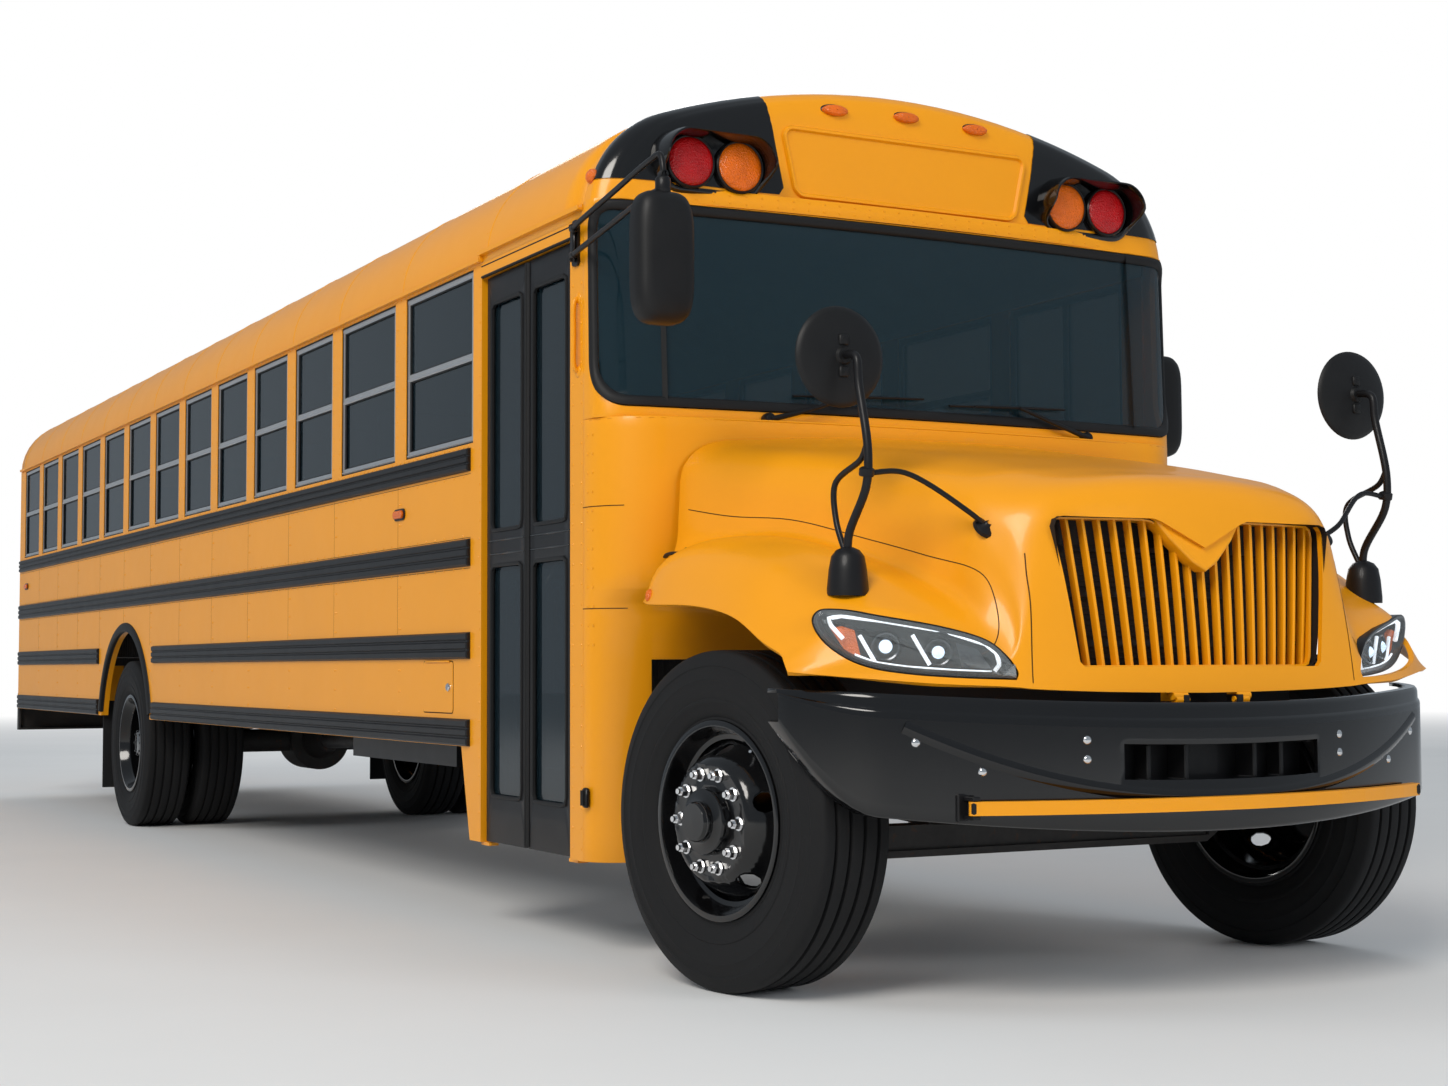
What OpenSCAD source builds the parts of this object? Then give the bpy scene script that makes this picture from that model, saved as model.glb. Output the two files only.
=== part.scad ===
// School bus with a tilting hood, built as separate named pieces.
// +X is forward, +Y is the driver's side, +Z is up. The origin lies on the ground at mid length.

/* [Body] */
// Width across the side walls
body_width = 2438; // [2030:2:2930]
// Thickness of the side walls, roof and rear wall
wall = 45; // [36:1:54]
// Top of the side walls, where the roof's curve begins
eave_z = 2484; // [2400:1:2700]
// Radius of the roof's crown
crown_radius = 2850; // [2400:10:3400]
// Radius of the roof's shoulders
shoulder_radius = 400; // [330:5:480]
// Bottom edge of the skirt
skirt_z = 667; // [600:1:720]
// Bottom edge of the panels beside the entrance door
entry_skirt_z = 320; // [270:1:380]
// Top of the cabin floor
floor_z = 1080; // [1070:1:1130]
// Thickness of the cabin floor
floor_t = 40; // [30:1:48]

/* [Windows] */
// Bottom of the window openings
sill_z = 1815; // [1760:1:1900]
// Height of the window openings
window_h = 662; // [550:1:662]
// Length of the window behind the entrance door
first_window = 751; // [620:1:900]
// Length of the next window
second_window = 716; // [590:1:860]
// Length of each other window
window_w = 574; // [478:1:690]
// Body panel between two windows
window_post = 131; // [109:1:158]
// Windows of the common length on each side
common_windows = 11; // [9:1:12]
// Panel between the last window and the rear wall
rear_corner = 151; // [120:1:200]
// Thickness of the glass
glass_t = 8; // [5:1:10]
// Size of the window frames' metal
frame_t = 28; // [20:1:34]

/* [Doors] */
// Clear length of the entrance
entry_w = 815; // [700:1:980]
// Top of the entrance
entry_top_z = 2430; // [2300:1:2450]
// Thickness of a door leaf
leaf_t = 38; // [30:1:42]
// Running gap round a door leaf
door_gap = 6; // [5:0.5:8]
// Width of the rear emergency door's opening
rear_door_w = 760; // [640:1:910]
// Height of the rear emergency door's opening
rear_door_h = 1250; // [1100:1:1290]

/* [Running gear] */
// Distance between the front and rear axles
wheelbase = 7700; // [6600:10:8700]
// Front axle to the middle of the front bumper's face
front_overhang = 968; // [940:1:1010]
// Outer radius of the tyres
tyre_r = 508; // [470:1:520]
// Width of a tyre
tyre_w = 280; // [240:1:300]
// Bead seat radius of the rims
rim_r = 286; // [270:1:300]
// How far the straight front tyre lies inside the body's side
tyre_inset = 14; // [5:1:40]
// Distance between the middles of twin tyres
twin_pitch = 325; // [315:1:345]
// Kingpin axis to the middle of the front tyre
king_offset = 185; // [170:1:200]
// Length of the steering arms
steer_arm = 200; // [170:1:230]
// Wheel angle as parked, to the left
steer_rest = 9; // [0:0.5:12]
// Radius of the kingpins
kingpin_r = 22; // [18:1:26]
// Radius of the front spindles
spindle_r = 38; // [32:1:42]
// Radius of the rear spindles
rear_spindle_r = 55; // [48:1:60]
// Radial running clearance of the turning joints
running = 0.05; // [0.02:0.01:0.1]
// Radius of the rear wheel arches
arch_r = 690; // [640:1:720]
// Depth of the frame rails
rail_h = 254; // [220:1:280]
// Wheel nuts on each hub
nut_count = 10; // [8:1:10]
// Pitch circle diameter of the wheel nuts
nut_pcd = 285.75; // [260:0.25:300]

/* [Hood and bumpers] */
// Height of the hood's hinge
hood_hinge_z = 866; // [860:1:872]
// Thickness of the hood's shell
hood_t = 18; // [12:1:22]
// Vanes on each half of the grille
vanes_per_half = 10; // [8:1:12]
// Depth of the front bumper's flanges
bumper_flange = 60; // [45:1:75]
// Thickness of the bumpers' metal
bumper_t = 14; // [10:1:18]
// Length of the crossing arm's chord
crossing_arm_length = 1700; // [1500:10:1780]

/* [Fittings] */
// Diameter of the warning lamps
warning_lamp_d = 176; // [150:1:190]
// Distance across the flats of the stop sign
stop_sign_w = 450; // [380:1:480]
// Width of a bench seat
bench_w = 960; // [800:5:980]
// Diameter of the steering wheel
steering_wheel_d = 460; // [400:5:500]
// Diameter of the licence plate holes
plate_hole_d = 7; // [6:0.5:8]
// Spacing of the licence plate holes across the bus
plate_hole_y = 178; // [150:1:200]
// Spacing of the licence plate holes up and down
plate_hole_z = 121; // [100:1:140]
// Bore diameter of the tow eyes
tow_eye_d = 44; // [36:1:50]

/* [Hidden] */
$fn = 48;

yellow = "orange";
seat = 0.3;
cut = 5;
half_w = body_width / 2;
inner_w = half_w - wall;

// Stations along the body, measured from the front axle and negative to the rear
pillar_x = -829;
entry_front_x = -935;
entry_rear_x = entry_front_x - entry_w;
first_window_x = entry_rear_x - 86;
function window_len(i) = i == 0 ? first_window : i == 1 ? second_window : window_w;
function window_front(i) = i == 0 ? first_window_x : window_front(i - 1) - window_len(i - 1) - window_post;
window_total = common_windows + 2;
body_rear_x = window_front(window_total - 1) - window_w - rear_corner;
rear_face_x = body_rear_x - wall;
rear_bumper_depth = 75;
crossing_lead = 34;
crossing_r = 17;
nose_x = front_overhang + crossing_lead + crossing_r;
overall_length = nose_x + rear_bumper_depth - rear_face_x;
axle_x = overall_length / 2 - nose_x;
bus_rear_x = -overall_length / 2;

// Heights and roof section
header_z = sill_z + window_h;
crown_z0 = eave_z - sqrt(pow(crown_radius - shoulder_radius, 2) - pow(half_w - shoulder_radius, 2));
roof_z = crown_z0 + crown_radius;
shoulder_angle = atan2(eave_z - crown_z0, half_w - shoulder_radius);
rail_top = floor_z - floor_t - 50;
rail_bottom = rail_top - rail_h;

// Running gear
axle_z = tyre_r;
front_tyre_y = half_w - tyre_inset - tyre_w / 2;
king_y = front_tyre_y - king_offset;
rear_outer_y = half_w - 19 - tyre_w / 2;
rear_inner_y = rear_outer_y - twin_pitch;
spring_w = 76;
spring_y = rear_inner_y - tyre_w / 2 - 47 - spring_w / 2;
rail_y = spring_y - spring_w / 2 - 40;
rail_flange = 90;
rear_axle_x = -wheelbase;
hood_hinge_x = 885;
rail_front_x = 742;

function arc(cx, cy, r, a0, a1, n) = [for (i = [0:n]) let (a = a0 + (a1 - a0) * i / n)
    [cx + r * cos(a), cy + r * sin(a)]];
function flip(points) = [for (i = [len(points) - 1:-1:0]) points[i]];
function bow(inset) = let (half = concat(
        arc(half_w - shoulder_radius, eave_z, shoulder_radius - inset, 0, shoulder_angle, 7),
        [for (i = [1:6]) let (a = shoulder_angle + (90 - shoulder_angle) * i / 6)
            [(crown_radius - inset) * cos(a), crown_z0 + (crown_radius - inset) * sin(a)]]))
    concat(half, [for (i = [len(half) - 2:-1:0]) [-half[i][0], half[i][1]]]);

module station(x) { translate([axle_x + x, 0, 0]) children(); }
module both_sides() { children(); mirror([0, 1, 0]) children(); }
module block(low, high) { translate(low) cube(high - low); }
// Extrudes a (y, z) outline along the body from x0 to x1
module along_x(x0, x1) {
    translate([axle_x + x0, 0, 0]) rotate([90, 0, 90]) linear_extrude(x1 - x0) children();
}
// Extrudes an (x, z) outline across the body from y0 to y1
module across(y0, y1) {
    translate([axle_x, y1, 0]) rotate([90, 0, 0]) linear_extrude(y1 - y0) children();
}
module rod(a, b, r) {
    d = b - a;
    translate(a) rotate([0, atan2(norm([d[0], d[1]]), d[2]), atan2(d[1], d[0])]) cylinder(r = r, h = norm(d));
}
// Skins a list of closed rings, each with the same number of points and running
// anticlockwise as seen from the last ring's side; points i and n - 1 - i face each other
module loft(rings) {
    n = len(rings[0]);
    last = len(rings) - 1;
    points = [for (ring = rings) each ring];
    sides = [for (k = [0:last - 1], i = [0:n - 1]) let (j = (i + 1) % n)
        each [[k * n + i, (k + 1) * n + j, k * n + j], [k * n + i, (k + 1) * n + i, (k + 1) * n + j]]];
    caps = [for (i = [0:floor((n - 1) / 2) - 1]) let (j = n - 1 - i, more = j - 1 > i + 1)
        each concat([[i, i + 1, j], [last * n + j, last * n + i + 1, last * n + i]],
            more ? [[i + 1, j - 1, j], [last * n + j, last * n + j - 1, last * n + i + 1]] : [])];
    polyhedron(points, concat(sides, caps), convexity = 8);
}

// Plan of a body front: bulged across the middle, with elliptical corners that end at
// x_corner and straight sides back to x_end
function front_plan(xf, bulge, x_corner, cy, x_end, inset) = let (
    flat_y = half_w - cy,
    cx = xf - bulge - x_corner,
    mid = [for (i = [0:4]) let (y = flat_y * i / 4) [xf - bulge * pow(y / flat_y, 2) - inset, y]],
    corner = [for (i = [1:6]) let (a = 90 * i / 6)
        [x_corner + (cx - inset) * cos(a), flat_y + (cy - inset) * sin(a)]],
    half = concat(mid, corner, [[x_end, half_w - inset]]))
    concat([for (i = [len(half) - 1:-1:1]) [half[i][0], -half[i][1]]], half);
function plan_ring(z, xf, bulge, x_corner, cy, x_end, inset, t) = let (
    outer = front_plan(xf, bulge, x_corner, cy, x_end, inset),
    inner = front_plan(xf, bulge, x_corner, cy, x_end, inset + t))
    [for (p = concat(outer, flip(inner))) [axle_x + p[0], p[1], z]];

/* ---- Frame and running gear ---- */

module chassis_frame() {
    color("dimgray") {
        both_sides() difference() {
            block([axle_x + body_rear_x + 20, rail_y - rail_flange, rail_bottom],
                [axle_x + rail_front_x, rail_y, rail_top]);
            block([axle_x + body_rear_x, rail_y - rail_flange - cut, rail_bottom + 10],
                [axle_x + rail_front_x + cut, rail_y - 10, rail_top - 10]);
        }
        for (x = [rail_front_x - 40, -1300, -3100, -4900, -6500, -8800, -10300, body_rear_x + 90])
            block([axle_x + x - 40, -rail_y + 10 + seat, rail_bottom + 30],
                [axle_x + x + 40, rail_y - 10 - seat, rail_top - 30]);
        both_sides() {
            block([axle_x + rail_front_x + seat, rail_y - rail_flange, rail_bottom],
                [axle_x + bumper_x(rail_y - 30) - bumper_t - 1.6, rail_y - 30, rail_bottom + 60]);
            difference() {
                union() {
                    block([axle_x + rail_front_x - 60, 90, rail_bottom + 60], [axle_x + 870, 110, 850]);
                    block([axle_x + hood_hinge_x - 35, 90, rail_bottom + 60],
                        [axle_x + hood_hinge_x + 13, 110, hood_hinge_z + 13]);
                }
                translate([axle_x + hood_hinge_x, 80, hood_hinge_z]) rotate([-90, 0, 0])
                    cylinder(d = 16 + 2 * running, h = 40);
            }
        }
        for (x = [axle_x + 560, axle_x + body_rear_x + 20]) both_sides() difference() {
            block([x, rail_y, rail_bottom - 70], [x + 110, rail_y + 20, rail_bottom + 90]);
            translate([x + 45, rail_y - cut, rail_bottom - 28]) rotate([-90, 0, 0])
                cylinder(d = tow_eye_d, h = 20 + 2 * cut);
        }
        block([axle_x + body_rear_x, -rail_y + 10 + seat, rail_bottom + 30],
            [axle_x + body_rear_x + 49, rail_y - 10 - seat, rail_top - 30]);
    }
}

module front_axle() {
    color("dimgray") station(0) difference() {
        union() {
            block([-48, -king_y + 180, axle_z - 140], [48, king_y - 180, axle_z - 40]);
            both_sides() {
                hull() {
                    block([-48, king_y - 190, axle_z - 140], [48, king_y - 180, axle_z - 40]);
                    block([-38, king_y - 46, axle_z - 52], [38, king_y - 36, axle_z + 52]);
                }
                translate([0, king_y, axle_z - boss_half]) cylinder(r = 40, h = 2 * boss_half);
            }
        }
        both_sides() translate([0, king_y, 0]) cylinder(r = kingpin_r + running, h = 2 * axle_z);
        for (x = [-48, 48]) block([x - 14, -king_y + 170, axle_z - 118], [x + 14, king_y - 170, axle_z - 62]);
    }
}

// Steering knuckle about a kingpin at the origin, its wheel outboard along +Y
boss_half = 64;
ear_h = 38;
pin_r = 12;
module knuckle_shape() {
    low = -boss_half - 1 - ear_h;
    for (z = [low, boss_half + 1]) {
        translate([0, 0, z]) cylinder(r = 44, h = ear_h);
        block([-36, 20, z], [36, 50, z + ear_h]);
    }
    block([-46, 46, low], [46, 82, -low]);
    translate([0, 70, 0]) rotate([-90, 0, 0]) cylinder(r = spindle_r, h = king_offset + 58 - 70);
    translate([0, 0, low]) cylinder(r = kingpin_r, h = -2 * low);
    block([-steer_arm, -22, low], [-20, 22, low + 20]);
    translate([-steer_arm, 0, low]) cylinder(r = 30, h = 20);
    translate([-steer_arm, 0, low - 57]) cylinder(r = pin_r, h = 60);
}
module steered(side) {
    translate([axle_x, side * king_y, axle_z]) rotate([0, 0, steer_rest]) children();
}
module knuckle_left() { color("gray") steered(1) knuckle_shape(); }
module knuckle_right() { color("gray") steered(-1) mirror([0, 1, 0]) knuckle_shape(); }

arm_end = [-steer_arm * cos(steer_rest), -steer_arm * sin(steer_rest)];
module tie_rod() {
    color("gray") translate([axle_x + arm_end[0], arm_end[1], axle_z - 130]) difference() {
        union() {
            rod([0, -king_y, 0], [0, king_y, 0], 17);
            for (y = [-king_y, king_y]) translate([0, y, -22]) cylinder(r = 30, h = 44);
        }
        translate([0, king_y, -50]) cylinder(r = pin_r + running, h = 100);
        translate([0, -king_y, -50]) cylinder(r = pin_r + 0.5, h = 100);
    }
}

// Tyre about the Y axis, its middle at the origin
module tyre() {
    w = tyre_w / 2;
    rotate([-90, 0, 0]) rotate_extrude($fn = 96) polygon([
        [rim_r + seat, -w + 36], [rim_r + 40, -w + 14], [rim_r + 110, -w], [tyre_r - 60, -w + 4],
        [tyre_r - 22, -w + 16], [tyre_r - 3, -w + 38], [tyre_r, -w + 60], [tyre_r, w - 60],
        [tyre_r - 3, w - 38], [tyre_r - 22, w - 16], [tyre_r - 60, w - 4], [rim_r + 110, w],
        [rim_r + 40, w - 14], [rim_r + seat, w - 36]]);
}
// Rim barrel and disc about the Y axis; the disc meets the hub at disc_y
module rim(disc_y, hub_r) {
    w = tyre_w / 2 - 14;
    barrel_r = rim_r - 14;
    s = disc_y > 0 ? 1 : -1;
    rotate([-90, 0, 0]) difference() {
        union() {
            rotate_extrude($fn = 96) polygon([
                [barrel_r - 30, -w + 60], [barrel_r, -w + 20], [barrel_r, -w], [rim_r + 12, -w],
                [rim_r + 12, -w + 10], [rim_r, -w + 22], [rim_r, -w + 40], [barrel_r - 16, -w + 66],
                [barrel_r - 16, w - 66], [rim_r, w - 40], [rim_r, w - 22], [rim_r + 12, w - 10],
                [rim_r + 12, w], [barrel_r, w], [barrel_r, w - 20], [barrel_r - 30, w - 60]]);
            rotate_extrude($fn = 96) polygon([
                [barrel_r - 17, disc_y - s * 96], [barrel_r - 17, disc_y - s * 84],
                [nut_pcd / 2 + 36, disc_y], [hub_r - 10, disc_y], [hub_r - 10, disc_y - s * 14],
                [nut_pcd / 2 + 30, disc_y - s * 14], [barrel_r - 45, disc_y - s * 96]]);
        }
        for (i = [0:4]) rotate([0, 0, 72 * i + 18])
            translate([(barrel_r - 17 + nut_pcd / 2 + 30) / 2, 0, -300]) cylinder(r = 26, h = 600);
    }
}
module nuts(face_y, s) {
    for (i = [0:nut_count - 1]) rotate([0, 360 * i / nut_count, 0])
        translate([nut_pcd / 2, face_y, 0]) rotate([-90 * s, 0, 0]) cylinder(r = 11, h = 46);
}
hub_out = 62;
module front_wheel_hub() {
    disc_y = tyre_w / 2 + 8;
    rotate([-90, 0, 0]) difference() {
        union() {
            translate([0, 0, -50]) cylinder(r = 90, h = disc_y - 14 + 50);
            translate([0, 0, disc_y - 34]) cylinder(r = nut_pcd / 2 + 26, h = 20);
            translate([0, 0, disc_y - 14]) cylinder(r = 100, h = 40 + 14);
            translate([0, 0, disc_y]) cylinder(r = 60, h = hub_out);
        }
        translate([0, 0, -60]) cylinder(r = spindle_r + running, h = 60 + 58 + 5);
    }
    nuts(disc_y - 14, 1);
}
module front_rim() {
    rim(tyre_w / 2 + 8, 90);
    front_wheel_hub();
}
module front_wheel_place(side) {
    steered(side) translate([0, side * king_offset, 0]) mirror([0, side > 0 ? 0 : 1, 0]) children();
}
module front_tyre_left() { color("black") front_wheel_place(1) tyre(); }
module front_tyre_right() { color("black") front_wheel_place(-1) tyre(); }
module front_rim_left() { color("black") front_wheel_place(1) front_rim(); }
module front_rim_right() { color("black") front_wheel_place(-1) front_rim(); }

module rear_axle() {
    flange_y = rear_inner_y - tyre_w / 2 + 20;
    color("dimgray") station(rear_axle_x) translate([0, 0, axle_z]) {
        rotate([90, 0, 0]) translate([0, 0, -flange_y]) cylinder(r = 72, h = 2 * flange_y);
        rotate([90, 0, 0]) translate([0, 0, -(rear_inner_y + 230)])
            cylinder(r = rear_spindle_r, h = 2 * (rear_inner_y + 230));
        rotate([0, 90, 0]) translate([0, 0, -190]) cylinder(r = 190, h = 290);
        rotate([0, 90, 0]) translate([0, 0, 100]) cylinder(r1 = 120, r2 = 70, h = 180);
    }
}
module rear_wheel_place(side) {
    translate([axle_x + rear_axle_x, side * (rear_outer_y + rear_inner_y) / 2, axle_z])
        mirror([0, side > 0 ? 0 : 1, 0]) children();
}
module rear_tyres() {
    for (s = [-1, 1]) translate([0, s * twin_pitch / 2, 0]) tyre();
}
module rear_rims() {
    inner_face = 14;
    translate([0, twin_pitch / 2, 0]) rim(-twin_pitch / 2, 100);
    translate([0, -twin_pitch / 2, 0]) rim(twin_pitch / 2, 100);
    rotate([-90, 0, 0]) difference() {
        union() {
            translate([0, 0, -120]) cylinder(r = 108, h = 240);
            translate([0, 0, -34]) cylinder(r = nut_pcd / 2 + 26, h = 34);
            translate([0, 0, 120]) cylinder(r = 96, h = 60);
            translate([0, 0, 180]) cylinder(r = 84, h = 60);
        }
        translate([0, 0, -130]) cylinder(r = rear_spindle_r + running, h = 130 + 230 - twin_pitch / 2 + 5);
    }
    nuts(inner_face, 1);
}
module rear_tyres_left() { color("black") rear_wheel_place(1) rear_tyres(); }
module rear_tyres_right() { color("black") rear_wheel_place(-1) rear_tyres(); }
module rear_rims_left() { color("black") rear_wheel_place(1) rear_rims(); }
module rear_rims_right() { color("black") rear_wheel_place(-1) rear_rims(); }

// One leaf pack over an axle: seat at z0, ends raised to the hangers under the rail
module leaf_pack(x, y, z0, z1, length) {
    half = length / 2;
    rise = 90;
    radius = (half * half + rise * rise) / (2 * rise);
    a = asin(half / radius);
    leaf = 14;
    count = 4;
    function end(i) = a * (1 - 0.2 * i);
    function low(i) = radius + leaf * (count - 1 - i);
    right = [for (i = [0:count - 2]) each arc(0, low(i), radius, 270 + end(i), 270 + end(i + 1), 3)];
    station(x) {
        translate([0, y + spring_w / 2, z0]) rotate([90, 0, 0]) linear_extrude(spring_w) polygon(concat(
            arc(0, radius + leaf * count, radius, 270 - a, 270 + a, 12), right,
            arc(0, radius, radius, 270 + end(count - 1), 270 - end(count - 1), 6),
            flip([for (p = right) [-p[0], p[1]]])));
        for (s = [-1, 1]) block([s * (half - 30) - 30, y - spring_w / 2, z0 + rise + 20],
            [s * (half - 30) + 30, y + spring_w / 2, z1]);
        block([-60, y - spring_w / 2 - 8, z0], [60, y + spring_w / 2 + 8, z0 + 60]);
    }
}
module leaf_springs() {
    color("black") both_sides() {
        leaf_pack(0, rail_y - rail_flange / 2, axle_z - 40, rail_bottom, 1240);
        leaf_pack(rear_axle_x, spring_y, axle_z + 72, rail_bottom + 40, 1420);
        for (s = [-1, 1]) station(rear_axle_x + s * 680)
            block([-30, rail_y, rail_bottom + 20], [30, spring_y + spring_w / 2, rail_bottom + 60]);
    }
}

module engine_and_gearbox() {
    color("gray") {
        block([axle_x - 430, -rail_y + rail_flange + 12, 620], [axle_x + 600, rail_y - rail_flange - 12, 1330]);
        block([axle_x - 1120, -190, 600], [axle_x - 430, 190, rail_top - 12]);
        for (x = [-300, 300]) both_sides()
            block([axle_x + x - 50, rail_y - rail_flange - 12, 830], [axle_x + x + 50, rail_y - 10, 880]);
        block([axle_x + 600, -rail_y + rail_flange + 12, 780], [axle_x + 660, rail_y - rail_flange - 12, 1340]);
    }
}
module driveshaft() {
    color("dimgray") {
        rod([axle_x - 1121.7, 0, 690], [axle_x + rear_axle_x + 281.7, 0, axle_z], 48);
        block([axle_x - 4930, -90, 520], [axle_x - 4870, 90, rail_bottom + 30]);
    }
}
module fuel_tank() {
    tank_in = rail_y + 25;
    color("black") {
        difference() {
            block([axle_x - 3650, -inner_w + 90, 570], [axle_x - 2350, -tank_in, 965]);
            for (x = [-3300, -2700]) block([axle_x + x - 31, -inner_w + 80, 560], [axle_x + x + 31, -tank_in + 10, 567]);
        }
        for (x = [-3300, -2700])
            block([axle_x + x - 30, -tank_in, 700], [axle_x + x + 30, -rail_y, 760]);
    }
}
module exhaust() {
    muffler_y = rail_y + 290;
    pipe_y = rail_y - rail_flange - 62;
    pipe_r = 42;
    pipe_z = 685;
    tail_z = 655;
    color("gray") {
        rod([axle_x - 1700, muffler_y, pipe_z], [axle_x - 2800, muffler_y, pipe_z], 115);
        rod([axle_x - 2750, muffler_y, pipe_z], [axle_x - 2950, muffler_y, tail_z], pipe_r);
        rod([axle_x - 2950, muffler_y + pipe_r, tail_z], [axle_x - 2950, pipe_y - pipe_r, tail_z], pipe_r);
        rod([axle_x - 2950, pipe_y, tail_z], [axle_x + body_rear_x + 70, pipe_y, tail_z], pipe_r);
        rod([axle_x - 1760, muffler_y, pipe_z], [axle_x - 1620, muffler_y, pipe_z], pipe_r);
        rod([axle_x - 1640, muffler_y, pipe_z], [axle_x - 1640, pipe_y - 30, pipe_z], pipe_r);
        rod([axle_x - 1640, pipe_y - 30, pipe_z], [axle_x - 430 - seat, pipe_y - 30, pipe_z], pipe_r);
        for (x = [-1900, -2600]) block([axle_x + x - 20, rail_y, 750], [axle_x + x + 20, muffler_y - 60, 780]);
        for (x = [-4500, -6100, -9400, -10800]) block([axle_x + x - 15, pipe_y - 10, 680],
            [axle_x + x + 15, pipe_y + 62 + 20, rail_bottom]);
    }
}

/* ---- Floor and body shell ---- */

well_depth = 560;
wheelhouse_half = arch_r + 20;
wheelhouse_y = rear_inner_y - tyre_w / 2 - 30;
// Treads, risers and end plates, each a plate of its own
module step_well() {
    x0 = entry_rear_x - 30;
    x1 = entry_front_x + 30;
    rise = (floor_z - entry_skirt_z - 25) / 3;
    tread = well_depth / 3;
    station(0) {
        for (i = [0:2]) {
            z = entry_skirt_z + 25 + rise * i;
            block([x0 + 20 + seat, -inner_w + max(14, tread * i + seat), z - 20],
                [x1 - 20 - seat, -inner_w + tread * (i + 1) - 20 - seat, z]);
            block([x0 + 20 + seat, -inner_w + tread * (i + 1) - 20, z - 20],
                [x1 - 20 - seat, -inner_w + tread * (i + 1), z + rise]);
        }
        for (x = [x0, x1 - 20]) block([x, -inner_w, entry_skirt_z + 5], [x + 20, -inner_w + well_depth, floor_z]);
    }
}
// Walls and top over one rear wheel
module wheelhouse(w0, w1, low) {
    top = axle_z + arch_r + 35;
    both_sides() station(0) {
        for (x = [w0, w1 - 25]) block([x, wheelhouse_y - 25, low], [x + 25, inner_w, top]);
        block([w0 + 25 + seat, wheelhouse_y - 25, low], [w1 - 25 - seat, wheelhouse_y, top]);
        block([w0 + 25 + seat, wheelhouse_y + seat, top - 25], [w1 - 25 - seat, inner_w, top]);
    }
}
module floor() {
    front = front_plan(-672, 0, -815, 235, pillar_x, 36);
    w0 = rear_axle_x - wheelhouse_half - 25;
    w1 = rear_axle_x + wheelhouse_half + 25;
    e0 = entry_rear_x - 30;
    e1 = entry_front_x + 30;
    low = floor_z - floor_t;
    color("dimgray") {
        station(0) {
            block([body_rear_x, -inner_w, low], [w0 - seat, inner_w, floor_z]);
            block([w0, -wheelhouse_y + 25 + seat, low], [w1, wheelhouse_y - 25 - seat, floor_z]);
            block([w1 + seat, -inner_w, low], [e0 - seat, inner_w, floor_z]);
            block([e0, -inner_w + well_depth + seat, low], [e1, inner_w, floor_z]);
            translate([0, 0, low]) linear_extrude(floor_t) polygon(concat(
                [[e1 + seat, -inner_w], [pillar_x, -inner_w]], front, [[pillar_x, inner_w], [e1 + seat, inner_w]]));
        }
        step_well();
        wheelhouse(w0, w1, low);
        for (i = [0:window_total - 1]) {
            x = window_front(i) - window_len(i) - window_post / 2;
            near_axle = abs(x - rear_axle_x) < wheelhouse_half + 30;
            reach = near_axle ? wheelhouse_y - 30 : inner_w;
            block([axle_x + x - 25, -reach, rail_top], [axle_x + x + 25, reach, low - seat]);
        }
        block([axle_x - 760, -rail_y, rail_top], [axle_x - 710, rail_y, low - seat]);
    }
}

module wall_outline(low_front) {
    polygon(low_front
        ? [[body_rear_x, skirt_z], [entry_rear_x - 200, skirt_z], [entry_rear_x - 110, entry_skirt_z],
            [pillar_x, entry_skirt_z], [pillar_x, eave_z], [body_rear_x, eave_z]]
        : [[body_rear_x, skirt_z], [pillar_x, skirt_z], [pillar_x, eave_z], [body_rear_x, eave_z]]);
}
module side_wall(y0, low_front) {
    difference() {
        across(y0, y0 + wall) wall_outline(low_front);
        for (i = [0:window_total - 1])
            block([axle_x + window_front(i) - window_len(i), y0 - cut, sill_z],
                [axle_x + window_front(i), y0 + wall + cut, header_z]);
        translate([axle_x + rear_axle_x, y0 - cut, axle_z]) rotate([-90, 0, 0])
            cylinder(r = arch_r, h = wall + 2 * cut, $fn = 96);
        if (low_front)
            block([axle_x + entry_rear_x, y0 - cut, entry_skirt_z - cut],
                [axle_x + entry_front_x, y0 + wall + cut, entry_top_z]);
        else
            block([axle_x + entry_rear_x + 40, y0 - cut, sill_z - 110],
                [axle_x + entry_front_x - 20, y0 + wall + cut, header_z]);
    }
}
module side_wall_right() {
    color(yellow) side_wall(-half_w, true);
    color("black") entry_pivots();
}
module side_wall_left() {
    color(yellow) side_wall(inner_w, false);
    color("black") stop_hinge();
}

module roof() {
    color(yellow) along_x(body_rear_x, pillar_x) difference() {
        polygon(bow(0));
        polygon(concat([[-inner_w, eave_z - cut]], flip(bow(wall)), [[inner_w, eave_z - cut]]));
    }
}

// Windshield surround from the cowl to the cap
shield_low_z = 1838;
shield_high_z = 2530;
cap_low_z = 2538;
cowl_top_z = 1796;
shield_corner_x = -760;
surround_t = 40;
function shield_x(z) = -612 - 50 * (z - shield_low_z) / (shield_high_z - shield_low_z);
module surround_band(z_list, inset, t, x_end) {
    loft([for (z = z_list) plan_ring(z, shield_x(z), 52, shield_corner_x, 205, x_end, inset, t)]);
}
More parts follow.
